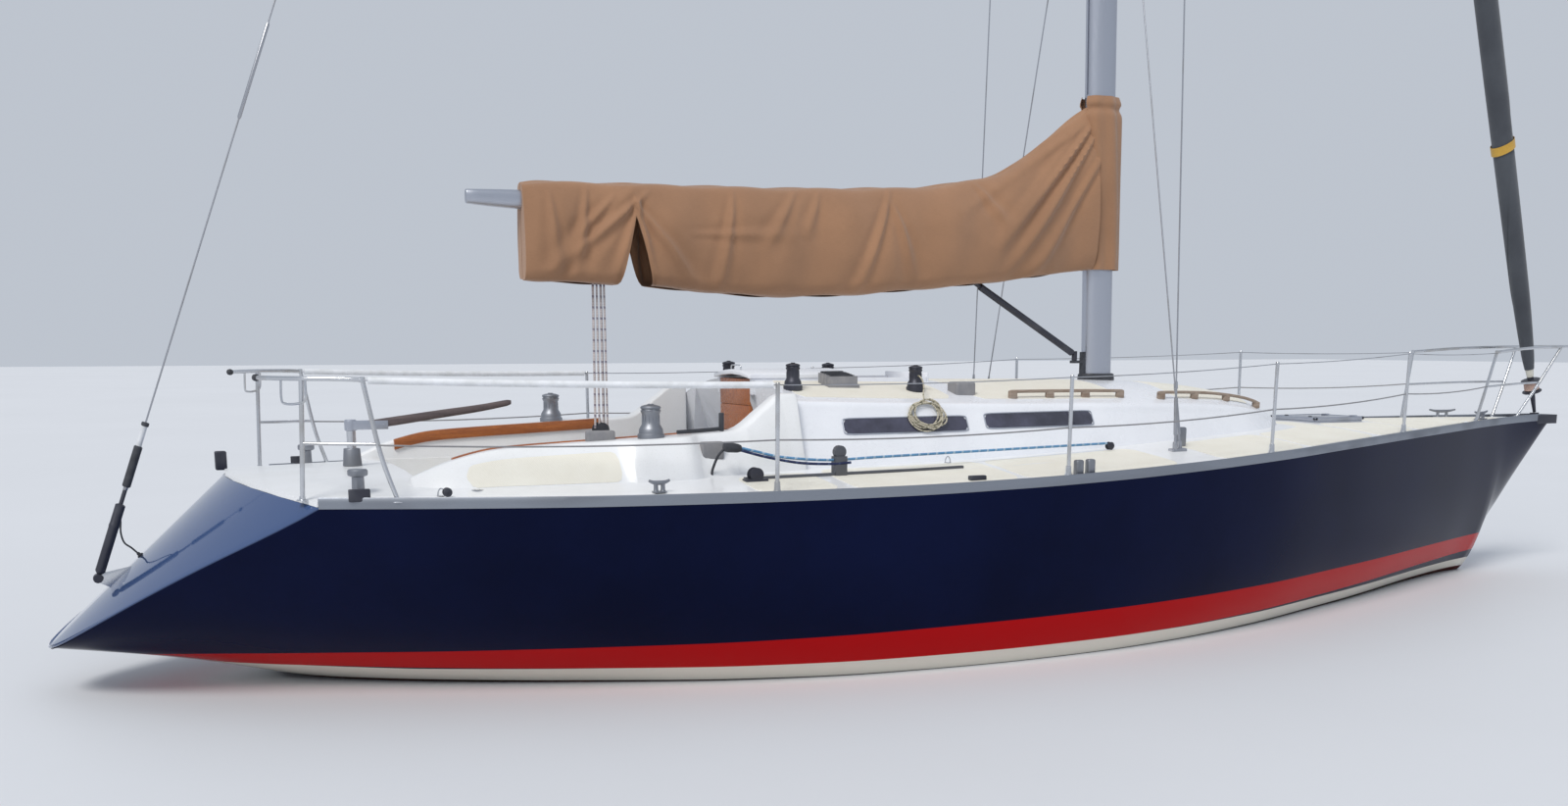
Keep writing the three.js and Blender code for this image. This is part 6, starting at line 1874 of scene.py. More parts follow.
class YACHT_OT_lifelines(bpy.types.Operator):
    """Builds the stanchions and the lifelines between them"""
    bl_idname = "yacht.lifelines"
    bl_label = "Stanchions and lifelines"

    def execute(self, context):
        rig = context.scene.yacht_rig
        wires, sheaths, covered = [], [], []
        for tag, side in SIDES:
            tops, waists = [at(1.597, side * 1.276, 1.762)], [at(1.66, side * 1.292, 1.43)]
            for number, (s, y) in enumerate(STANCHIONS, 1):
                node_name = f"stanchion_{tag}_{number}"
                finish(stanchion(f"post_{tag}_{number}", s, y, side), "boat", "stainless", [node_name])
                base = deck_z(s, y)
                tops.append(at(s, side * (y + 0.008), base + 0.598))
                waists.append(at(s, side * (y + 0.0035), base + 0.3))
            tops.append(at(10.83, side * 0.438, 1.868))
            waists.append(at(10.77, side * 0.418, 1.598))
            gate = sagging([Vector(tops[0]).lerp(tops[1], 0.012), Vector(tops[0]).lerp(tops[1], 0.988)], 0.008)
            sheaths.append(pipe(f"gate_tube_{tag}", gate, rig.gate_tube / 2, sides=18, smooth=False))
            wires.append(pipe(f"gate_wire_{tag}", sagging(tops[:2], 0.008), rig.lifeline / 2, sides=8, smooth=False))
            wires.append(pipe(f"upper_wire_{tag}", sagging(tops[1:], 0.012), rig.lifeline / 2, sides=8, smooth=False))
            covered.append(pipe(f"lower_wire_{tag}", sagging(waists, 0.02), rig.covered_line / 2, sides=10,
                                smooth=False))
        finish(joined("gate_tubes", sheaths), "boat", "sheath")
        finish(joined("lifeline_wires", wires), "boat", "wire")
        finish(joined("lower_lifelines", covered), "boat", "grey_moulding")
        return {"FINISHED"}


# Mast, spreaders and standing rigging
def mast_outline(z, angle, grow=0.0):
    taper = 1 - 0.32 * max(0.0, z - 14.5) / (MAST["top_z"] - 14.5)
    s = mast_at(z) + MAST["long"] / 2 * taper * math.cos(angle) + grow * math.cos(angle)
    return at(s, (MAST["wide"] / 2 * taper + grow) * math.sin(angle), z)


def mast_tube():
    low = roof_z(MAST["s"], 0) - 0.02

    def place(u, v):
        z = low + (MAST["top_z"] - low) * u
        angle = 2 * math.pi * v
        outline = mast_outline(z, angle)
        aft = max(0.0, -math.cos(angle)) ** 40
        return outline + Vector((0.006 * aft, 0, 0))

    tube = closed(surface("mast_tube", 80, 48, place))
    crane = block("mast_crane", (6.48, -0.032, 17.925), (6.86, 0.032, 18.02), 0.01, 3)
    low, high = MAST_TRACK
    line = [mast_outline(low + (high - low) * k / 20, math.pi, 0.001) for k in range(21)]
    track = pipe("mast_track", line, 0.006, sides=6, smooth=False)
    return joined("mast_section", [tube, crane, track])


def spreader_arm(name, z, span, sweep, chord, side):
    middle = mast_at(z)

    def place(u, v):
        y = 0.02 + (span - 0.02) * u
        width = chord * (1 - 0.4 * u)
        thick = 0.017 + (0.010 - 0.017) * u
        angle = 2 * math.pi * v
        s = middle - sweep * u + width / 2 * math.cos(angle)
        return at(s, side * y, z + 0.014 + y * 0.05 + thick * math.sin(angle))

    arm = closed(surface(name, 16, 20, place))
    end = at(middle - sweep, side * (span + 0.006), z + 0.014 + span * 0.05 - 0.0115)
    tip = turned(name + "_tip", [(0.011, 0.0), (0.014, 0.003), (0.014, 0.02), (0.011, 0.023)], end, sides=16)
    return joined(name, [arm, tip])


def turnbuckle(name, start, end, radius):
    """A rigging screw: jaws, threaded rods and an open body."""
    start, end = Vector(start), Vector(end)
    way = (end - start).normalized()
    long = (end - start).length
    steps = [(radius * 0.8, 0.0), (radius * 1.25, 0.01), (radius * 1.25, 0.05), (radius * 0.6, 0.06),
             (radius * 0.6, long * 0.22), (radius, long * 0.23), (radius, long * 0.76), (radius * 0.6, long * 0.77),
             (radius * 0.6, long - 0.05), (radius * 0.9, long - 0.045), (radius * 0.7, long)]
    return turned(name, steps, start, way, 16)


def spreader_tip(row, side):
    _, z, span, sweep, _ = row
    return (mast_at(z) - sweep, side * (span + 0.012), z + 0.014 + span * 0.05)


def shroud_set(side, radius):
    s, y = 6.85, 1.27
    foot = (s, side * y, deck_z(s, y) + 0.008)
    low, high = spreader_tip(SPREADERS[0], side), spreader_tip(SPREADERS[1], side)
    head = (mast_at(17.84), side * 0.066, 17.84)
    split = between(foot, low, 0.083)
    inner = (s + 0.07, side * (y - 0.03), deck_z(s + 0.07, y - 0.03) + 0.008)
    mast_side = (mast_at(6.48), side * (MAST["wide"] / 2 + 0.007), 6.48)
    inner_split = between(inner, mast_side, 0.083)
    parts = [
        turnbuckle("cap_screw", at(*foot), at(*split), 0.0125),
        pipe("cap_wire", [at(*split), at(*low), at(*high), at(*head)], radius / 2, sides=10, smooth=False),
        turnbuckle("lower_screw", at(*inner), at(*inner_split), 0.011),
        pipe("lower_wire", [at(*inner_split), at(*mast_side)], radius / 2, steps=2, sides=10),
        block("chainplate", (s - 0.024, side * (y - 0.015) - 0.027, foot[2] - 0.02),
              (s + 0.094, side * (y - 0.015) + 0.027, foot[2] + 0.012), 0.005, 3),
    ]
    return joined("shroud_set_" + ("port" if side > 0 else "starboard"), parts)


class YACHT_OT_mast(bpy.types.Operator):
    """Builds the mast, its foot and its spreaders"""
    bl_idname = "yacht.mast"
    bl_label = "Mast and spreaders"

    def execute(self, context):
        finish(mast_tube(), "boat", "anodised", ["mast"])
        finish(smoothed("mast_step", "mast_foot", 0.003, 2), "boat", "dark_moulding", ["mast_foot"])
        for name, z, span, sweep, chord in SPREADERS:
            arms = [spreader_arm(f"{name}_arm_{side}", z, span, sweep, chord, side) for side in (-1, 1)]

            def place(u, v, z=z):
                return mast_outline(z - 0.04 + 0.11 * u, 2 * math.pi * v, 0.009 if 0.02 < u < 0.98 else 0.006)

            bracket = closed(surface(name + "_bracket", 6, 40, place))
            finish(joined("swept_" + name, arms + [bracket]), "boat", "anodised", [name])
        return {"FINISHED"}


class YACHT_OT_rigging(bpy.types.Operator):
    """Builds the shrouds, the backstay with its adjuster, and the bow fitting"""
    bl_idname = "yacht.rigging"
    bl_label = "Shrouds and stays"

    def execute(self, context):
        radius = context.scene.yacht_rig.shroud
        for tag, side in SIDES:
            finish(shroud_set(side, radius), "boat", "wire", [f"shrouds_{tag}"])
        foot, head = at(*BACKSTAY_FOOT), at(*BACKSTAY_HEAD)
        way = (head - foot).normalized()
        long = (head - foot).length
        split = (1.132 - BACKSTAY_FOOT[2]) * long / (head.z - foot.z)
        steps = [(0.014, 0.024), (0.026, 0.04), (0.027, 0.044), (0.027, 0.3), (0.0285, 0.304), (0.0285, 0.318),
                 (0.027, 0.322), (0.027, split * 0.83), (0.02, split * 0.84), (0.0115, split * 0.845), (0.0115, split)]
        cylinder = turned("adjuster_tube", [(r, d - 0.024) for r, d in steps], foot + way * 0.024, way, 32)
        eye = rod("adjuster_eye", at(0.283, -0.022, 0.64), at(0.283, 0.022, 0.64), 0.026, 24, 0.003)
        port = rod("adjuster_port", at(0.418, 0.01, 1.0165), at(0.418, 0.042, 1.0165), 0.009, 16, 0.0015)
        finish(joined("adjuster", [cylinder, eye, port]), "boat", "dark_alloy", ["backstay_adjuster"])

        def gusset_place(u, v):
            s, z = corner_at([(0.268, 0.626), (0.362, 0.574), (0.478, 0.702), (0.286, 0.664)], v)
            return at(s, 0.018 * u - 0.009, z)

        gusset = closed(surface("adjuster_gusset", 1, 4, gusset_place))
        eased(gusset, 0.002, 30)
        finish(gusset, "boat", "stainless")

        def stay_at(z):
            return foot.lerp(head, (z - foot.z) / (head.z - foot.z))

        boots = [rod("stay_boot", stay_at(1.15), stay_at(1.378), 0.023, 22, 0.005),
                 rod("stay_collar", stay_at(1.488), stay_at(1.51), 0.021, 22, 0.004)]
        finish(joined("stay_boots", boots), "boat", "dark_moulding")
        finish(rod("stay_sleeve", stay_at(1.37), stay_at(1.49), 0.0155, 20, 0.003), "boat",
               "pale_moulding")
        terminal = [(0.0105, 0.0), (0.013, 0.004), (0.013, 0.05), (0.0115, 0.07), (0.0115, 0.26), (0.013, 0.28),
                    (0.013, 0.315), (0.006, 0.33), (0.005, 0.34)]
        base = foot + way * (split + 0.0006)
        terminal_piece = turned("stay_terminal", terminal, base, way, 20)
        wire_piece = pipe("stay_wire", [base + way * 0.33, head], 0.005, steps=2, sides=10)
        insulator = turned("stay_insulator", [(0.006, 0.0), (0.0105, 0.012), (0.0105, 0.548), (0.006, 0.56)],
                           foot + way * 2.705, way, 18)
        finish(joined("backstay_wire", [terminal_piece, wire_piece, insulator]), "boat", "wire",
               ["backstay"])
        finish(smoothed("bow_fitting", "stemhead", 0.003, 2), "boat", "dark_alloy", ["stemhead"])
        return {"FINISHED"}


# Furled headsail: part of the way up the stay, radius
FURL = [
    (0.0, 0.03), (0.012, 0.052), (0.05, 0.074), (0.2, 0.09), (0.5, 0.082), (0.8, 0.056), (0.93, 0.034),
    (0.955, 0.016),
]


def furl_place(part, angle, radius):
    axis = at(*FORESTAY_FOOT).lerp(at(*FORESTAY_HEAD), part)
    return axis + Vector((radius * math.cos(angle), radius * math.sin(angle), 0.31 * radius * math.cos(angle)))


class YACHT_OT_headsail(bpy.types.Operator):
    """Builds the furled headsail, its foil and its drum"""
    bl_idname = "yacht.headsail"
    bl_label = "Furled headsail"

    def execute(self, context):
        def core_place(u, v):
            part = 0.955 * u
            return furl_place(part, 2 * math.pi * v, lookup(FURL, 1, part) * 0.9)

        core = closed(surface("furled_roll", 160, 24, core_place))
        stay = pipe("foil", [at(*FORESTAY_FOOT).lerp(at(*FORESTAY_HEAD), p) for p in (0.94, 0.9985)], 0.007, steps=2,
                    sides=10)

        def wrap_place(u, v):
            part = 0.004 + 0.938 * u
            turns = 1.14
            angle = 2 * math.pi * turns * v + 31.0 * u
            radius = lookup(FURL, 1, part)
            wave = 0.05 * math.sin(3 * angle + 46 * u) + 0.035 * math.sin(5 * angle - 70 * u)
            lap = 0.93 + 0.06 * v + 0.02 * wave
            return furl_place(part, angle, radius * lap)

        wrap = surface("sun_strip_wrap", 260, 56, wrap_place)
        measured(wrap, 16.0, 0.48)
        walled(wrap, 0.0015, 0.0)
        finish(core, "boat", "sailcloth", ["furled_headsail"])
        finish(stay, "boat", "anodised")
        finish(wrap, "boat", "sun_strip")
        base, way = at(*FORESTAY_FOOT), (at(*FORESTAY_FOOT) - at(*FORESTAY_HEAD)).normalized()
        steps = [(0.02, 0.002), (0.026, 0.004), (0.026, 0.024), (0.07, 0.026), (0.078, 0.03), (0.078, 0.038),
                 (0.072, 0.042), (0.044, 0.046), (0.042, 0.12), (0.072, 0.126), (0.078, 0.13), (0.078, 0.138),
                 (0.07, 0.144), (0.022, 0.148), (0.02, 0.2), (0.014, 0.3), (0.013, 0.324)]
        furler = turned("furler_spool", [(r, d - 0.002) for r, d in steps], base + way * 0.002, way, 40)
        rope_turns = []
        for k in range(14):
            middle = base + way * (0.052 + 0.0095 * (k % 7) + 0.004 * (k // 7))
            side = Vector((0, 1, 0))
            other = way.cross(side)
            size = 0.047 + 0.0085 * (k // 7)
            angles = [2 * math.pi * n / 28 for n in range(29)]
            ring = [middle + (side * math.cos(a) + other * math.sin(a)) * size for a in angles]
            rope_turns.append(pipe(f"furling_turn_{k}", ring, 0.0046, sides=8, smooth=False))
        finish(furler, "boat", "dark_alloy", ["furler_drum"])
        finish(joined("furling_line_turns", rope_turns), "boat", "red_rope")

        def tie_place(u, v):
            angle = 2 * math.pi * 1.08 * u + 2.6
            part = 0.1172 + (v - 0.5) * 0.0042 + 0.0016 * math.cos(angle)
            return furl_place(part, angle, lookup(FURL, 1, part) + 0.0075 + 0.0012 * u + 0.002 * math.sin(3 * angle))

        tie = surface("sail_tie", 72, 8, tie_place)
        measured(tie, 0.6, 0.07)
        walled(tie, 0.0015, 0.0)
        finish(tie, "boat", "ochre_tie")
        return {"FINISHED"}


# Boom, vang, mainsheet and traveller
def boom_section(s):
    """Height, width and lift of the boom's section, which tapers towards its free end."""
    if s < BOOM["aft"] + 0.5:
        part = (s - BOOM["aft"]) / 0.5
        ease = 1 - (1 - min(part, 1.0)) ** 2
        return 0.084 + 0.034 * ease, 0.062 + 0.024 * ease, 0.008 * (1 - ease)
    return BOOM["high"], BOOM["wide"], 0.0


def boom_beam():
    s0, s1 = BOOM["aft"], GOOSENECK["s"] - 0.07

    def place(u, v):
        s = s0 + (s1 - s0) * u
        high, wide, lift = boom_section(s)
        angle = 2 * math.pi * v
        return at(s, wide / 2 * squared(math.cos(angle), 0.8),
                  GOOSENECK["z"] + lift + high / 2 * squared(math.sin(angle), 0.8))

    beam = closed(surface("boom_tube", 60, 32, place))
    return eased(beam, 0.004, 60)


class YACHT_OT_boom(bpy.types.Operator):
    """Builds the boom, its gooseneck and the vang"""
    bl_idname = "yacht.boom"
    bl_label = "Boom and vang"

    def execute(self, context):
        z, pivot = GOOSENECK["z"], GOOSENECK["s"]
        tongue = block("boom_tongue", (pivot - 0.09, -0.016, z - 0.03), (pivot + 0.014, 0.016, z + 0.03), 0.005, 3)
        knuckle = rod("boom_knuckle", at(pivot, 0, z - 0.0488), at(pivot, 0, z + 0.0488), 0.0238, 24, 0.003)
        bail = block("boom_bail", (TACKLE_S - 0.018, -0.008, z - 0.099), (TACKLE_S + 0.018, 0.008, z - 0.03), 0.003)
        finish(joined("boom_spar", [boom_beam(), tongue, knuckle, bail]), "boom", "anodised", ["boom"])
        finish(smoothed("gooseneck_bracket", "gooseneck", 0.003, 2), "boat", "casting", ["gooseneck"])
        foot, top = at(pivot, 0, 1.865), at(5.4, 0, z - BOOM["high"] / 2 - 0.008)
        tube = rod("vang_tube", foot.lerp(top, 0.014), foot.lerp(top, 0.545), 0.0245, 28, 0.004)
        inner = rod("vang_rod", foot.lerp(top, 0.5), top, 0.0158, 20)
        pin = rod("vang_pin", foot - Vector((0, 0, 0.0415)), foot + Vector((0, 0, 0.026)), 0.0198, 20, 0.002)
        lug = block("vang_lug", (5.362, -0.0135, top.z - 0.026), (5.438, 0.0135, top.z + 0.0055), 0.003)
        finish(joined("vang_strut", [tube, inner, pin, lug]), "boom", "dark_alloy", ["boom_vang"])
        return {"FINISHED"}


class YACHT_OT_mainsheet(bpy.types.Operator):
    """Builds the mainsheet tackle and the traveller"""
    bl_idname = "yacht.mainsheet"
    bl_label = "Mainsheet and traveller"

    def execute(self, context):
        finish(smoothed("traveller_beam", "traveller", 0.005, 3), "boat", "anodised", ["traveller"])
        low, high = 1.33, GOOSENECK["z"] - BOOM["high"] / 2 - 0.04
        lower = deck_block("sheet_block_low", at(TACKLE_S, 0, low + 0.075), (1, 0, 0), 0.046, 0.05)
        shank = rod("sheet_block_low_shank", at(TACKLE_S, 0, low), at(TACKLE_S, 0, low + 0.045), 0.011, 16, 0.002)
        finish(joined("sheet_blocks_low", [lower, shank]), "boat", "dark_moulding", ["mainsheet"])
        upper = deck_block("sheet_block_high", at(TACKLE_S, 0, high - 0.07), (1, 0, 0), 0.044, 0.048)
        hanger = rod("sheet_block_high_shank", at(TACKLE_S, 0, high - 0.04), at(TACKLE_S, 0, high), 0.009, 16, 0.002)
        finish(joined("sheet_blocks_high", [upper, hanger]), "boom", "dark_moulding")
        falls = []
        for k, (s, y) in enumerate([(-0.04, -0.018), (-0.014, -0.02), (0.014, -0.018), (0.04, -0.02), (-0.03, 0.018),
                                    (0.03, 0.018)]):
            line = [at(TACKLE_S + s, y, low + 0.085), at(TACKLE_S + s * 0.85, y, high - 0.078)]
            fall = pipe(f"sheet_fall_{k}", line, 0.0068, steps=24, sides=10)
            falls.append(measured(fall, 1.2, 0.0314))
        piece = joined("mainsheet_falls", falls)
        finish(piece, None, "white_rope")
        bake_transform(piece)
        return {"FINISHED"}


class YACHT_OT_tracks(bpy.types.Operator):
    """Builds the genoa tracks with their cars"""
    bl_idname = "yacht.tracks"
    bl_label = "Genoa tracks"

    def execute(self, context):
        for tag in ("starboard", "port"):
            name = f"genoa_track_{tag}"
            finish(smoothed("sheet_" + name, name, 0.003, 2), "boat", "track", [name])
        return {"FINISHED"}


# Share of the cover's columns that close its aft end
COVER_END = 0.0096
# Sail cover: s, top, bottom, half width at top, middle and bottom
COVER = [
    (2.79, 2.912, 2.335, 0.055, 0.105, 0.09),
    (2.9, 2.924, 2.325, 0.062, 0.125, 0.11),
    (3.43, 2.934, 2.312, 0.075, 0.163, 0.148),
    (4.5, 2.952, 2.252, 0.08, 0.183, 0.166),
    (5.1, 2.975, 2.274, 0.075, 0.192, 0.172),
    (5.55, 3.0, 2.313, 0.068, 0.196, 0.175),
    (5.93, 3.055, 2.346, 0.062, 0.2, 0.177),
    (6.18, 3.11, 2.374, 0.058, 0.197, 0.172),
    (6.36, 3.195, 2.396, 0.055, 0.193, 0.168),
    (6.6, 3.365, 2.425, 0.05, 0.185, 0.16),
    (6.82, 3.525, 2.462, 0.045, 0.155, 0.136),
    (7.0, 3.63, 2.472, 0.04, 0.142, 0.13),
]
# Folds of the cover's starboard side: where each leaves the top, where it ends below, and how deep it is
FOLDS = [
    (3.51, 2.78, 3.58, 2.33, 1.2), (3.51, 2.78, 3.38, 2.41, 1.2), (3.31, 2.80, 3.02, 2.50, 0.8),
    (3.51, 2.82, 3.0, 2.43, 1.0), (3.54, 2.75, 3.85, 2.34, 0.9), (3.93, 2.63, 4.46, 2.64, 0.5),
    (4.60, 2.92, 4.39, 2.60, 0.8), (4.77, 2.90, 4.67, 2.67, 0.7), (5.30, 2.92, 5.05, 2.34, 1.0),
    (5.33, 2.82, 5.44, 2.45, 0.9), (6.0, 3.02, 6.17, 2.80, 0.8), (6.74, 3.32, 6.24, 2.80, 0.9),
    (6.98, 3.5, 6.28, 2.76, 1.5), (7.0, 3.44, 6.34, 2.6, 1.3), (7.05, 3.3, 6.5, 2.52, 1.0),
    (6.9, 3.48, 6.02, 2.94, 0.9), (4.15, 2.86, 4.05, 2.36, 0.9), (3.18, 2.84, 3.1, 2.38, 0.9),
    (2.95, 2.8, 2.98, 2.4, 0.7),
]
# Where the cover's cloth turns from the mast to the boom
BUNDLE = {"aft": 2.86, "fore": 6.7}
# Collar round the mast: its lower and upper edge, its tie, and the share of the mast that it wraps
COLLAR = {"low": 2.475, "high": 3.685, "tie": 3.6, "wrap": 0.9}
# Opening in the cover for the tackle: its middle, its half width at the hem, and how far up the side it reaches
NOTCH = {"s": 3.49, "half": 0.13, "reach": 0.68}


def fold_at(s, z):
    """How far the cloth stands out or in at a place on the cover's side."""
    height = 0.0
    for s0, z0, s1, z1, deep in FOLDS:
        run, rise = s1 - s0, z1 - z0
        long = math.hypot(run, rise)
        along = ((s - s0) * run + (z - z0) * rise) / long
        off = ((s - s0) * rise - (z - z0) * run) / long
        part = along / long
        if part < -0.2 or part > 1.25:
            continue
        fade = max(0.0, math.sin(math.pi * min(max((part + 0.2) / 1.45, 0.0), 1.0))) ** 0.7
        width = 0.016 + 0.022 * max(part, 0.0)
        ridge = math.exp(-((off / width) ** 2))
        dip = sum(math.exp(-(((off + shift * width) / (1.3 * width)) ** 2)) for shift in (-1.9, 1.9))
        height += deep * fade * (ridge - 0.55 * dip)
    return height


def cover_section(s, v):
    """Place on the cover's cloth, v from the starboard hem over the top to the port hem."""
    top, bottom, a, b, c = (lookup(COVER, k, s) for k in range(1, 6))
    height = top - bottom
    side = -1 if v < 0.5 else 1
    part = min(v, 1 - v) * 2
    gap = NOTCH["reach"] * max(0.0, 1 - abs(s - NOTCH["s"]) / NOTCH["half"]) ** 0.9
    part = gap + (1 - gap) * part
    outline = [(0.0, c * 0.12, bottom), (0.12, c * 0.62, bottom + 0.004), (0.24, c, bottom + 0.11 * height),
               (0.42, b * 0.99, bottom + 0.34 * height), (0.62, b * 0.9, bottom + 0.6 * height),
               (0.82, (a + b) * 0.42, bottom + 0.87 * height), (0.93, a * 0.8, top - 0.025 * height), (1.0, 0.0, top)]
    y, z = lookup(outline, 1, part), lookup(outline, 2, part)
    return side, y, z


def cover_place(depth):
    """The cover's place function, with folds of a given depth."""
    def place(u, v):
        s = COVER[0][0] + (COVER[-1][0] - COVER[0][0]) * max(u - COVER_END, 0.0) / (1 - COVER_END)
        end = min(1.0, u / COVER_END)
        side, y, z = cover_section(s, v)
        share = min(1.0, min(v, 1 - v) * 8) * min(1.0, abs(v - 0.5) * 7)
        mirror_s = s if side < 0 else s + 0.11 * math.sin(5 * s)
        fold = fold_at(mirror_s, z)
        sag = 0.006 * math.sin(9.1 * s + 2.2 * z) + 0.005 * math.sin(15.7 * s - 5 * z)
        y += share * depth * (0.021 * fold + 1.6 * sag)
        y *= end
        z += (1 - share) * depth * 0.006 * math.sin(11 * s + side)
        return at(s, side * max(y, 0.004), z)

    return place


def mast_wrap(low, high, grow, name, steps=60, turns=1.0):
    """Cloth round the mast between two heights; grow(z, angle) is its distance off the mast."""
    def place(u, v):
        z = low + (high - low) * u
        angle = -math.pi * turns + 2 * math.pi * turns * v
        return mast_outline(z, angle, grow(z, angle))

    return surface(name, steps, 72, place)


class YACHT_OT_sail_cover(bpy.types.Operator):
    """Builds the canvas cover over the boom and round the mast, with the stacked sail inside"""
    bl_idname = "yacht.sail_cover"
    bl_label = "Sail cover"

    def execute(self, context):
        depth = context.scene.yacht_canvas.fold_depth
        cover = surface("boom_cover", 420, 120, cover_place(depth))
        measured(cover, 4.2, 1.35)
        walled(cover, 0.0025, -1.0)
        finish(cover, None, "canvas", ["sail_cover"], angle=60)
        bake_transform(cover)

        def bundle_place(u, v):
            s = BUNDLE["aft"] + (BUNDLE["fore"] - BUNDLE["aft"]) * u
            top, a = (lookup(COVER, k, s) for k in (1, 3))
            low = GOOSENECK["z"] + BOOM["high"] / 2 + 0.004
            angle = 2 * math.pi * v
            high = max(top - 0.02 - low, 0.01)
            y = min(a * 0.6 + 0.02, 0.06) * math.cos(angle) * (1 + 0.08 * math.sin(17 * s + 3 * angle))
            return at(s, y, low + high / 2 + high / 2 * math.sin(angle))

        bundle = closed(surface("stacked_sail", 90, 24, bundle_place))
        finish(bundle, "boom", "sailcloth")

        def grow(z, angle):
            swell = 0.034 + 0.01 * math.sin((z - 2.47) * 2.4) + 0.012 * max(0.0, -math.cos(angle)) ** 2
            tuck = 0.012 * math.sin(7 * angle + 1.4 * z) + 0.008 * math.sin(4 * z + 3 * angle)
            end = min(1.0, max(0.0, (3.69 - z) / 0.06))
            tie = math.exp(-(((z - COLLAR["tie"]) / 0.03) ** 2))
            return (swell + tuck * 0.7) * (0.5 + 0.5 * end) * (1 - 0.45 * min(tie, 1.0))

        collar = mast_wrap(COLLAR["low"], COLLAR["high"], grow, "mast_collar", 90, COLLAR["wrap"])
        measured(collar, 1.2, 0.75)
        walled(collar, 0.0025, 0.0)
        finish(collar, "boat", "canvas", ["cover_collar"], angle=60)
        return {"FINISHED"}


# Ropes and the adjuster's hose
# The hose leaves the transom through a gland, square to it
HOSE_GLAND = Vector((0.514, 0.09, 0.745))
TRANSOM_NORMAL = Vector((-0.68, 0.04, 0.732))


def along_normal(distance):
    return HOSE_GLAND + TRANSOM_NORMAL * distance


HOSE_ROUTE = [
    (0.418, 0.0423, 1.0165), (0.418, 0.051, 1.0165), (0.423, 0.064, 1.002), (0.424, 0.068, 0.950),
    (0.420, 0.071, 0.885), (0.434, 0.077, 0.826), (0.468, 0.0875, 0.794),
    tuple(along_normal(0.030)), tuple(along_normal(0.0223)),
]
# Hank: its middle, its length and height, its thickness and its clearance off the cabin side
HANK = {"s": 5.115, "z": 1.505, "long": 0.29, "high": 0.21, "thick": 0.036, "clear": 0.004}
# The rope's way from the winch down to the hank
HANK_TAIL = [
    (5.215, -0.6783, 1.74), (5.215, -0.690, 1.74), (5.198, -0.760, 1.714), (5.163, -0.840, 1.673),
    (5.128, -0.896, 1.638),
]
# Shackle beside the coaming: radius, distance along it; and the way of its tang
SHACKLE = [(0.016, 0.0), (0.026, 0.006), (0.03, 0.03), (0.026, 0.085), (0.02, 0.105), (0.012, 0.11)]
TANG = [(3.62, 1.243, 1.36), (3.58, 1.225, 1.31), (3.56, 1.195, 1.24), (3.555, 1.185, 1.2)]


def hank_frame():
    """The hank's middle, with the ways up the cabin side and out from it."""
    foot = Vector((0, -lookup(ROOF, 1, HANK["s"]), 1.18))
    top = Vector((0, -(roof_half(HANK["s"]) + 0.022), roof_edge(HANK["s"]) - 0.044))
    up = (top - foot).normalized()
    out = Vector((1, 0, 0)).cross(up)
    off = HANK["thick"] / 2 + HANK["clear"]
    along = (HANK["z"] - top.z - out.z * off) / up.z
    middle = Vector((HANK["s"] - MIDSHIPS, top.y, top.z)) + up * along + out * off
    return middle, up, out


def hank_line():
    """The rope's way: off the winch, down the cabin side, then round and round in the hank."""
    middle, up, out = hank_frame()
    tail = [at(*p) for p in HANK_TAIL]
    tail.append(middle + up * 0.117)
    turns, per_turn = 7, 24
    for k in range(turns * per_turn + 1):
        angle = math.pi / 2 + 2 * math.pi * k / per_turn
        turn = k / per_turn
        layer = (turn / turns - 0.5) * 2
        wide = HANK["long"] / 2 - 0.014 - 0.038 * math.sin(2.1 * turn) ** 2
        high = HANK["high"] / 2 - 0.008 - 0.022 * math.sin(1.7 * turn + 0.8) ** 2
        shift = 0.014 * math.sin(2.9 * turn + 0.4)
        drop = 0.010 * math.sin(3.7 * turn) + 0.007 * math.sin(2 * angle + turn)
        across = Vector((wide * math.cos(angle) + shift, 0, 0))
        tail.append(middle + across + up * (high * math.sin(angle) + drop) + out * (0.0115 * layer))
    return tail


# Ways of the two sheets on each side deck, for the port side: s, y, z
SHEET_ROUTES = {
    "fore": [(3.705, 1.240, 1.356), (3.80, 1.272, 1.332), (3.95, 1.302, 1.297),
             (4.24, 1.325, 1.272), (4.6, 1.288, 1.276), (5.2, 1.221, 1.282),
             (5.8, 1.154, 1.288), (6.25, 1.104, 1.292), (6.43, 1.085, 1.294)],
    "car": [(3.705, 1.258, 1.341), (3.86, 1.302, 1.298), (4.05, 1.332, 1.262), (4.24, 1.352, 1.251),
            (4.37, 1.362, 1.256)],
}


def sheet_lines(settings):
    """Both sheets of each side, from the shackle beside the coaming forward."""
    for tag, side in SIDES:
        end = turned(f"sheet_shackle_{tag}", SHACKLE, at(3.605, side * 1.240, 1.363), (1, 0.12 * side, -0.12), 24)
        tang = pipe(f"sheet_tang_{tag}", for_side(side, TANG), 0.008, steps=20, sides=10)
        finish(joined(f"sheet_end_{tag}", [end, tang]), "boat", "dark_moulding")
        for name, route in SHEET_ROUTES.items():
            line = curve_through(for_side(side, route), 90 if name == "fore" else 40)
            long = length_of(line)
            rope = pipe(f"sheet_{name}_{tag}", line, settings.sheet / 2, sides=10, smooth=False)
            measured(rope, long, math.pi * settings.sheet)
            finish(rope, "boat", "blue_rope" if name == "fore" else "navy_rope", angle=80)
            tuple(line[0])
            [tuple(p) for p in line]


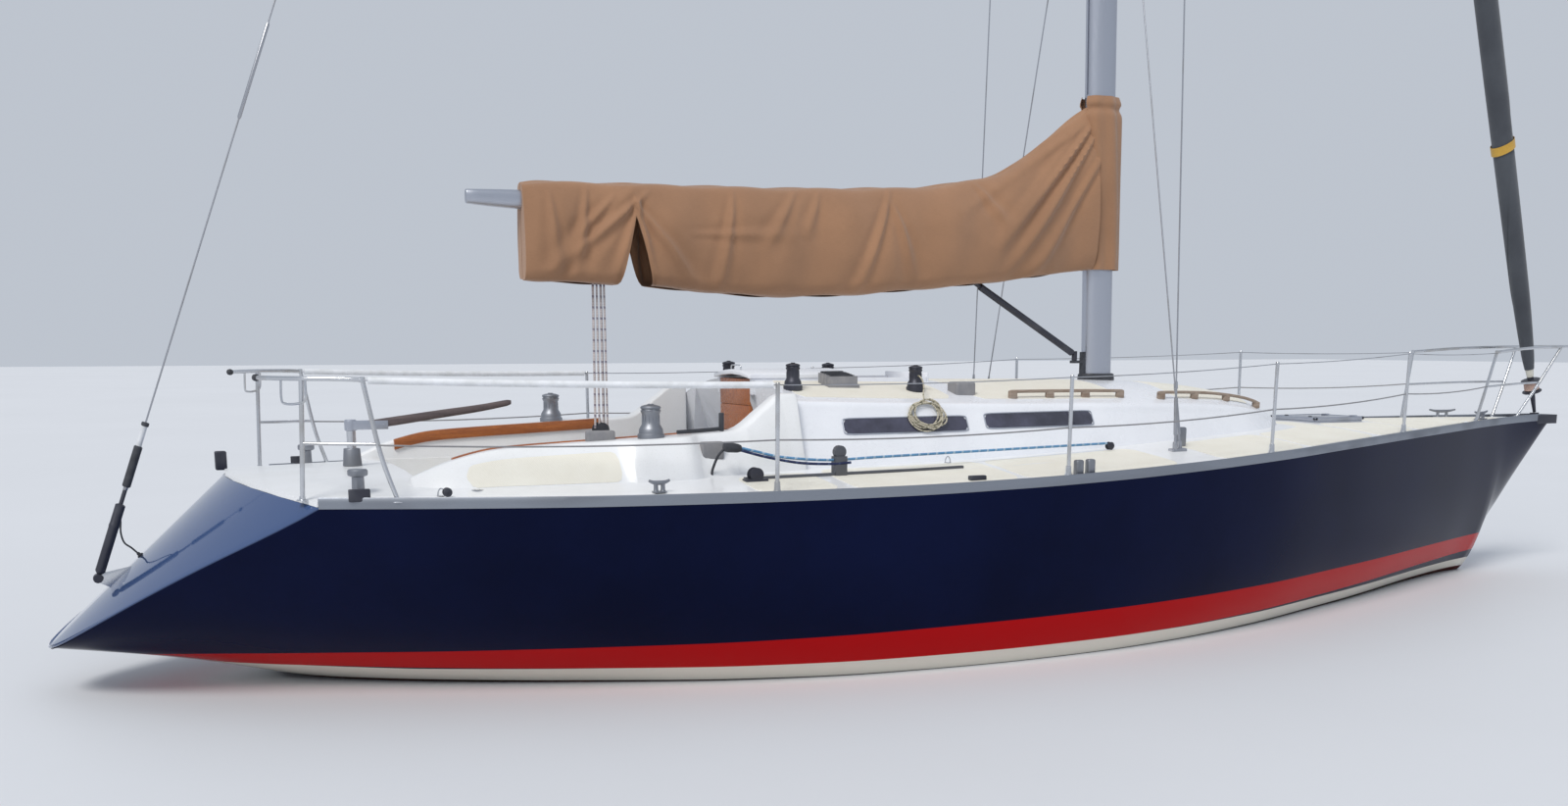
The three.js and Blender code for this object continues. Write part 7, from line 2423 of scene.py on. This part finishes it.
class YACHT_OT_cords(bpy.types.Operator):
    """Builds the rope hank on the roof winch, the sheets and the adjuster's hose"""
    bl_idname = "yacht.cords"
    bl_label = "Hank, sheets and hose"

    def execute(self, context):
        settings = context.scene.yacht_rope
        line = curve_through(hank_line(), 230)
        rope = pipe("winch_rope", line, settings.hank_rope / 2, sides=10, smooth=False)
        long = length_of(line)
        measured(rope, long, math.pi * settings.hank_rope)
        finish(rope, "boat", "grey_rope", ["rope_tail", "rope_hank"], angle=80)
        tuple(line[0])
        [tuple(p) for p in line]
        sheet_lines(settings)
        route = curve_through([at(*p) for p in HOSE_ROUTE], 48)
        hose = pipe("adjuster_hose", route, settings.hose / 2, sides=12, smooth=False)
        hose_long = length_of(route)
        measured(hose, hose_long, math.pi * settings.hose)
        gland = smoothed("hose_gland_nut", "hose_gland", 0.0015, 2)
        finish(hose, "boat", "rubber", ["backstay_hose"], angle=80)
        finish(gland, "boat", "dark_moulding", ["hose_gland"])
        tuple(route[0])
        [tuple(p) for p in route]
        return {"FINISHED"}


# Stage: camera, light and floor; angles are in degrees
PHOTO_CAMERA = {"place": (-5.636, -9.07, 1.95), "tilt": 79.554, "heading": -24.854, "lens": 33.63, "sensor": 36.0,
                "shift": 0.134}
KEY_LIGHT = {"turn": (38, -12, -36), "angle": 22, "colour": (1.0, 0.97, 0.92)}
SKY_COLOUR = (0.83, 0.895, 1.0, 1.0)
FLOOR_SIZE = 260


class YACHT_OT_stage(bpy.types.Operator):
    """Sets the camera at the photograph's angle, with soft light and a plain floor"""
    bl_idname = "yacht.stage"
    bl_label = "Stage"

    def execute(self, context):
        settings = context.scene.yacht_stage
        deselect()
        turn = (math.radians(PHOTO_CAMERA["tilt"]), 0, math.radians(PHOTO_CAMERA["heading"]))
        bpy.ops.object.camera_add(location=PHOTO_CAMERA["place"], rotation=turn)
        camera = named(bpy.context.object, "photo_camera")
        camera.data.lens = PHOTO_CAMERA["lens"]
        camera.data.sensor_width = PHOTO_CAMERA["sensor"]
        camera.data.shift_y = PHOTO_CAMERA["shift"]
        camera.data.dof.use_dof = False
        context.scene.view_settings.view_transform = "Standard"
        camera.data.clip_end = 500.0
        context.scene.camera = camera
        deselect()
        bpy.ops.mesh.primitive_grid_add(x_subdivisions=24, y_subdivisions=24, size=FLOOR_SIZE, location=(0, 0, 0))
        floor = named(bpy.context.object, "floor")
        floor.data.materials.append(floor_finish(settings))
        deselect()
        bpy.ops.object.light_add(type="SUN", rotation=[math.radians(angle) for angle in KEY_LIGHT["turn"]])
        sun = named(bpy.context.object, "key_light")
        sun.data.energy = settings.sun
        sun.data.angle = math.radians(KEY_LIGHT["angle"])
        sun.data.color = KEY_LIGHT["colour"]
        world = bpy.data.worlds.new("studio")
        context.scene.world = world
        world.use_nodes = True
        background = world.node_tree.nodes["Background"]
        background.inputs["Color"].default_value = SKY_COLOUR
        background.inputs["Strength"].default_value = settings.sky
        return {"FINISHED"}


class YACHT_PT_panel(bpy.types.Panel):
    """Lists the yacht's settings and its pieces"""
    bl_label = "Sailing Yacht"
    bl_idname = "YACHT_PT_panel"
    bl_space_type = "VIEW_3D"
    bl_region_type = "UI"
    bl_category = "Yacht"

    def draw(self, context):
        for name in SETTINGS:
            box = self.layout.box()
            group = getattr(context.scene, name)
            for key in group.bl_rna.properties.keys():
                if key not in {"rna_type", "name"}:
                    box.prop(group, key)
        for operator in OPERATORS:
            self.layout.operator(operator.bl_idname)


SETTINGS = {
    "yacht_hull": YachtHullSettings,
    "yacht_deck": YachtDeckSettings,
    "yacht_rig": YachtRigSettings,
    "yacht_canvas": YachtCanvasSettings,
    "yacht_rope": YachtRopeSettings,
    "yacht_stage": YachtStageSettings,
}
OPERATORS = [
    YACHT_OT_stage, YACHT_OT_cords, YACHT_OT_hull, YACHT_OT_underwater, YACHT_OT_deck, YACHT_OT_toe_rails,
    YACHT_OT_deck_fittings,
    YACHT_OT_cockpit, YACHT_OT_coamings, YACHT_OT_steering, YACHT_OT_coachroof, YACHT_OT_companionway,
    YACHT_OT_fore_hatch,
    YACHT_OT_winches, YACHT_OT_roof_gear, YACHT_OT_rails, YACHT_OT_lifelines, YACHT_OT_mast, YACHT_OT_rigging,
    YACHT_OT_headsail,
    YACHT_OT_boom, YACHT_OT_mainsheet, YACHT_OT_tracks, YACHT_OT_sail_cover,
]


def register():
    for group in SETTINGS.values():
        bpy.utils.register_class(group)
    for name, group in SETTINGS.items():
        setattr(bpy.types.Scene, name, bpy.props.PointerProperty(type=group))
    for operator in OPERATORS:
        bpy.utils.register_class(operator)
    bpy.utils.register_class(YACHT_PT_panel)


def unregister():
    bpy.utils.unregister_class(YACHT_PT_panel)
    for operator in reversed(OPERATORS):
        bpy.utils.unregister_class(operator)
    for name, group in reversed(SETTINGS.items()):
        delattr(bpy.types.Scene, name)
        bpy.utils.unregister_class(group)


def main():
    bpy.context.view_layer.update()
    register()
    make_finishes(bpy.context.scene)
    for operator in OPERATORS:
        group, name = operator.bl_idname.split(".")
        getattr(getattr(bpy.ops, group), name)()


if __name__ == "__main__":
    main()
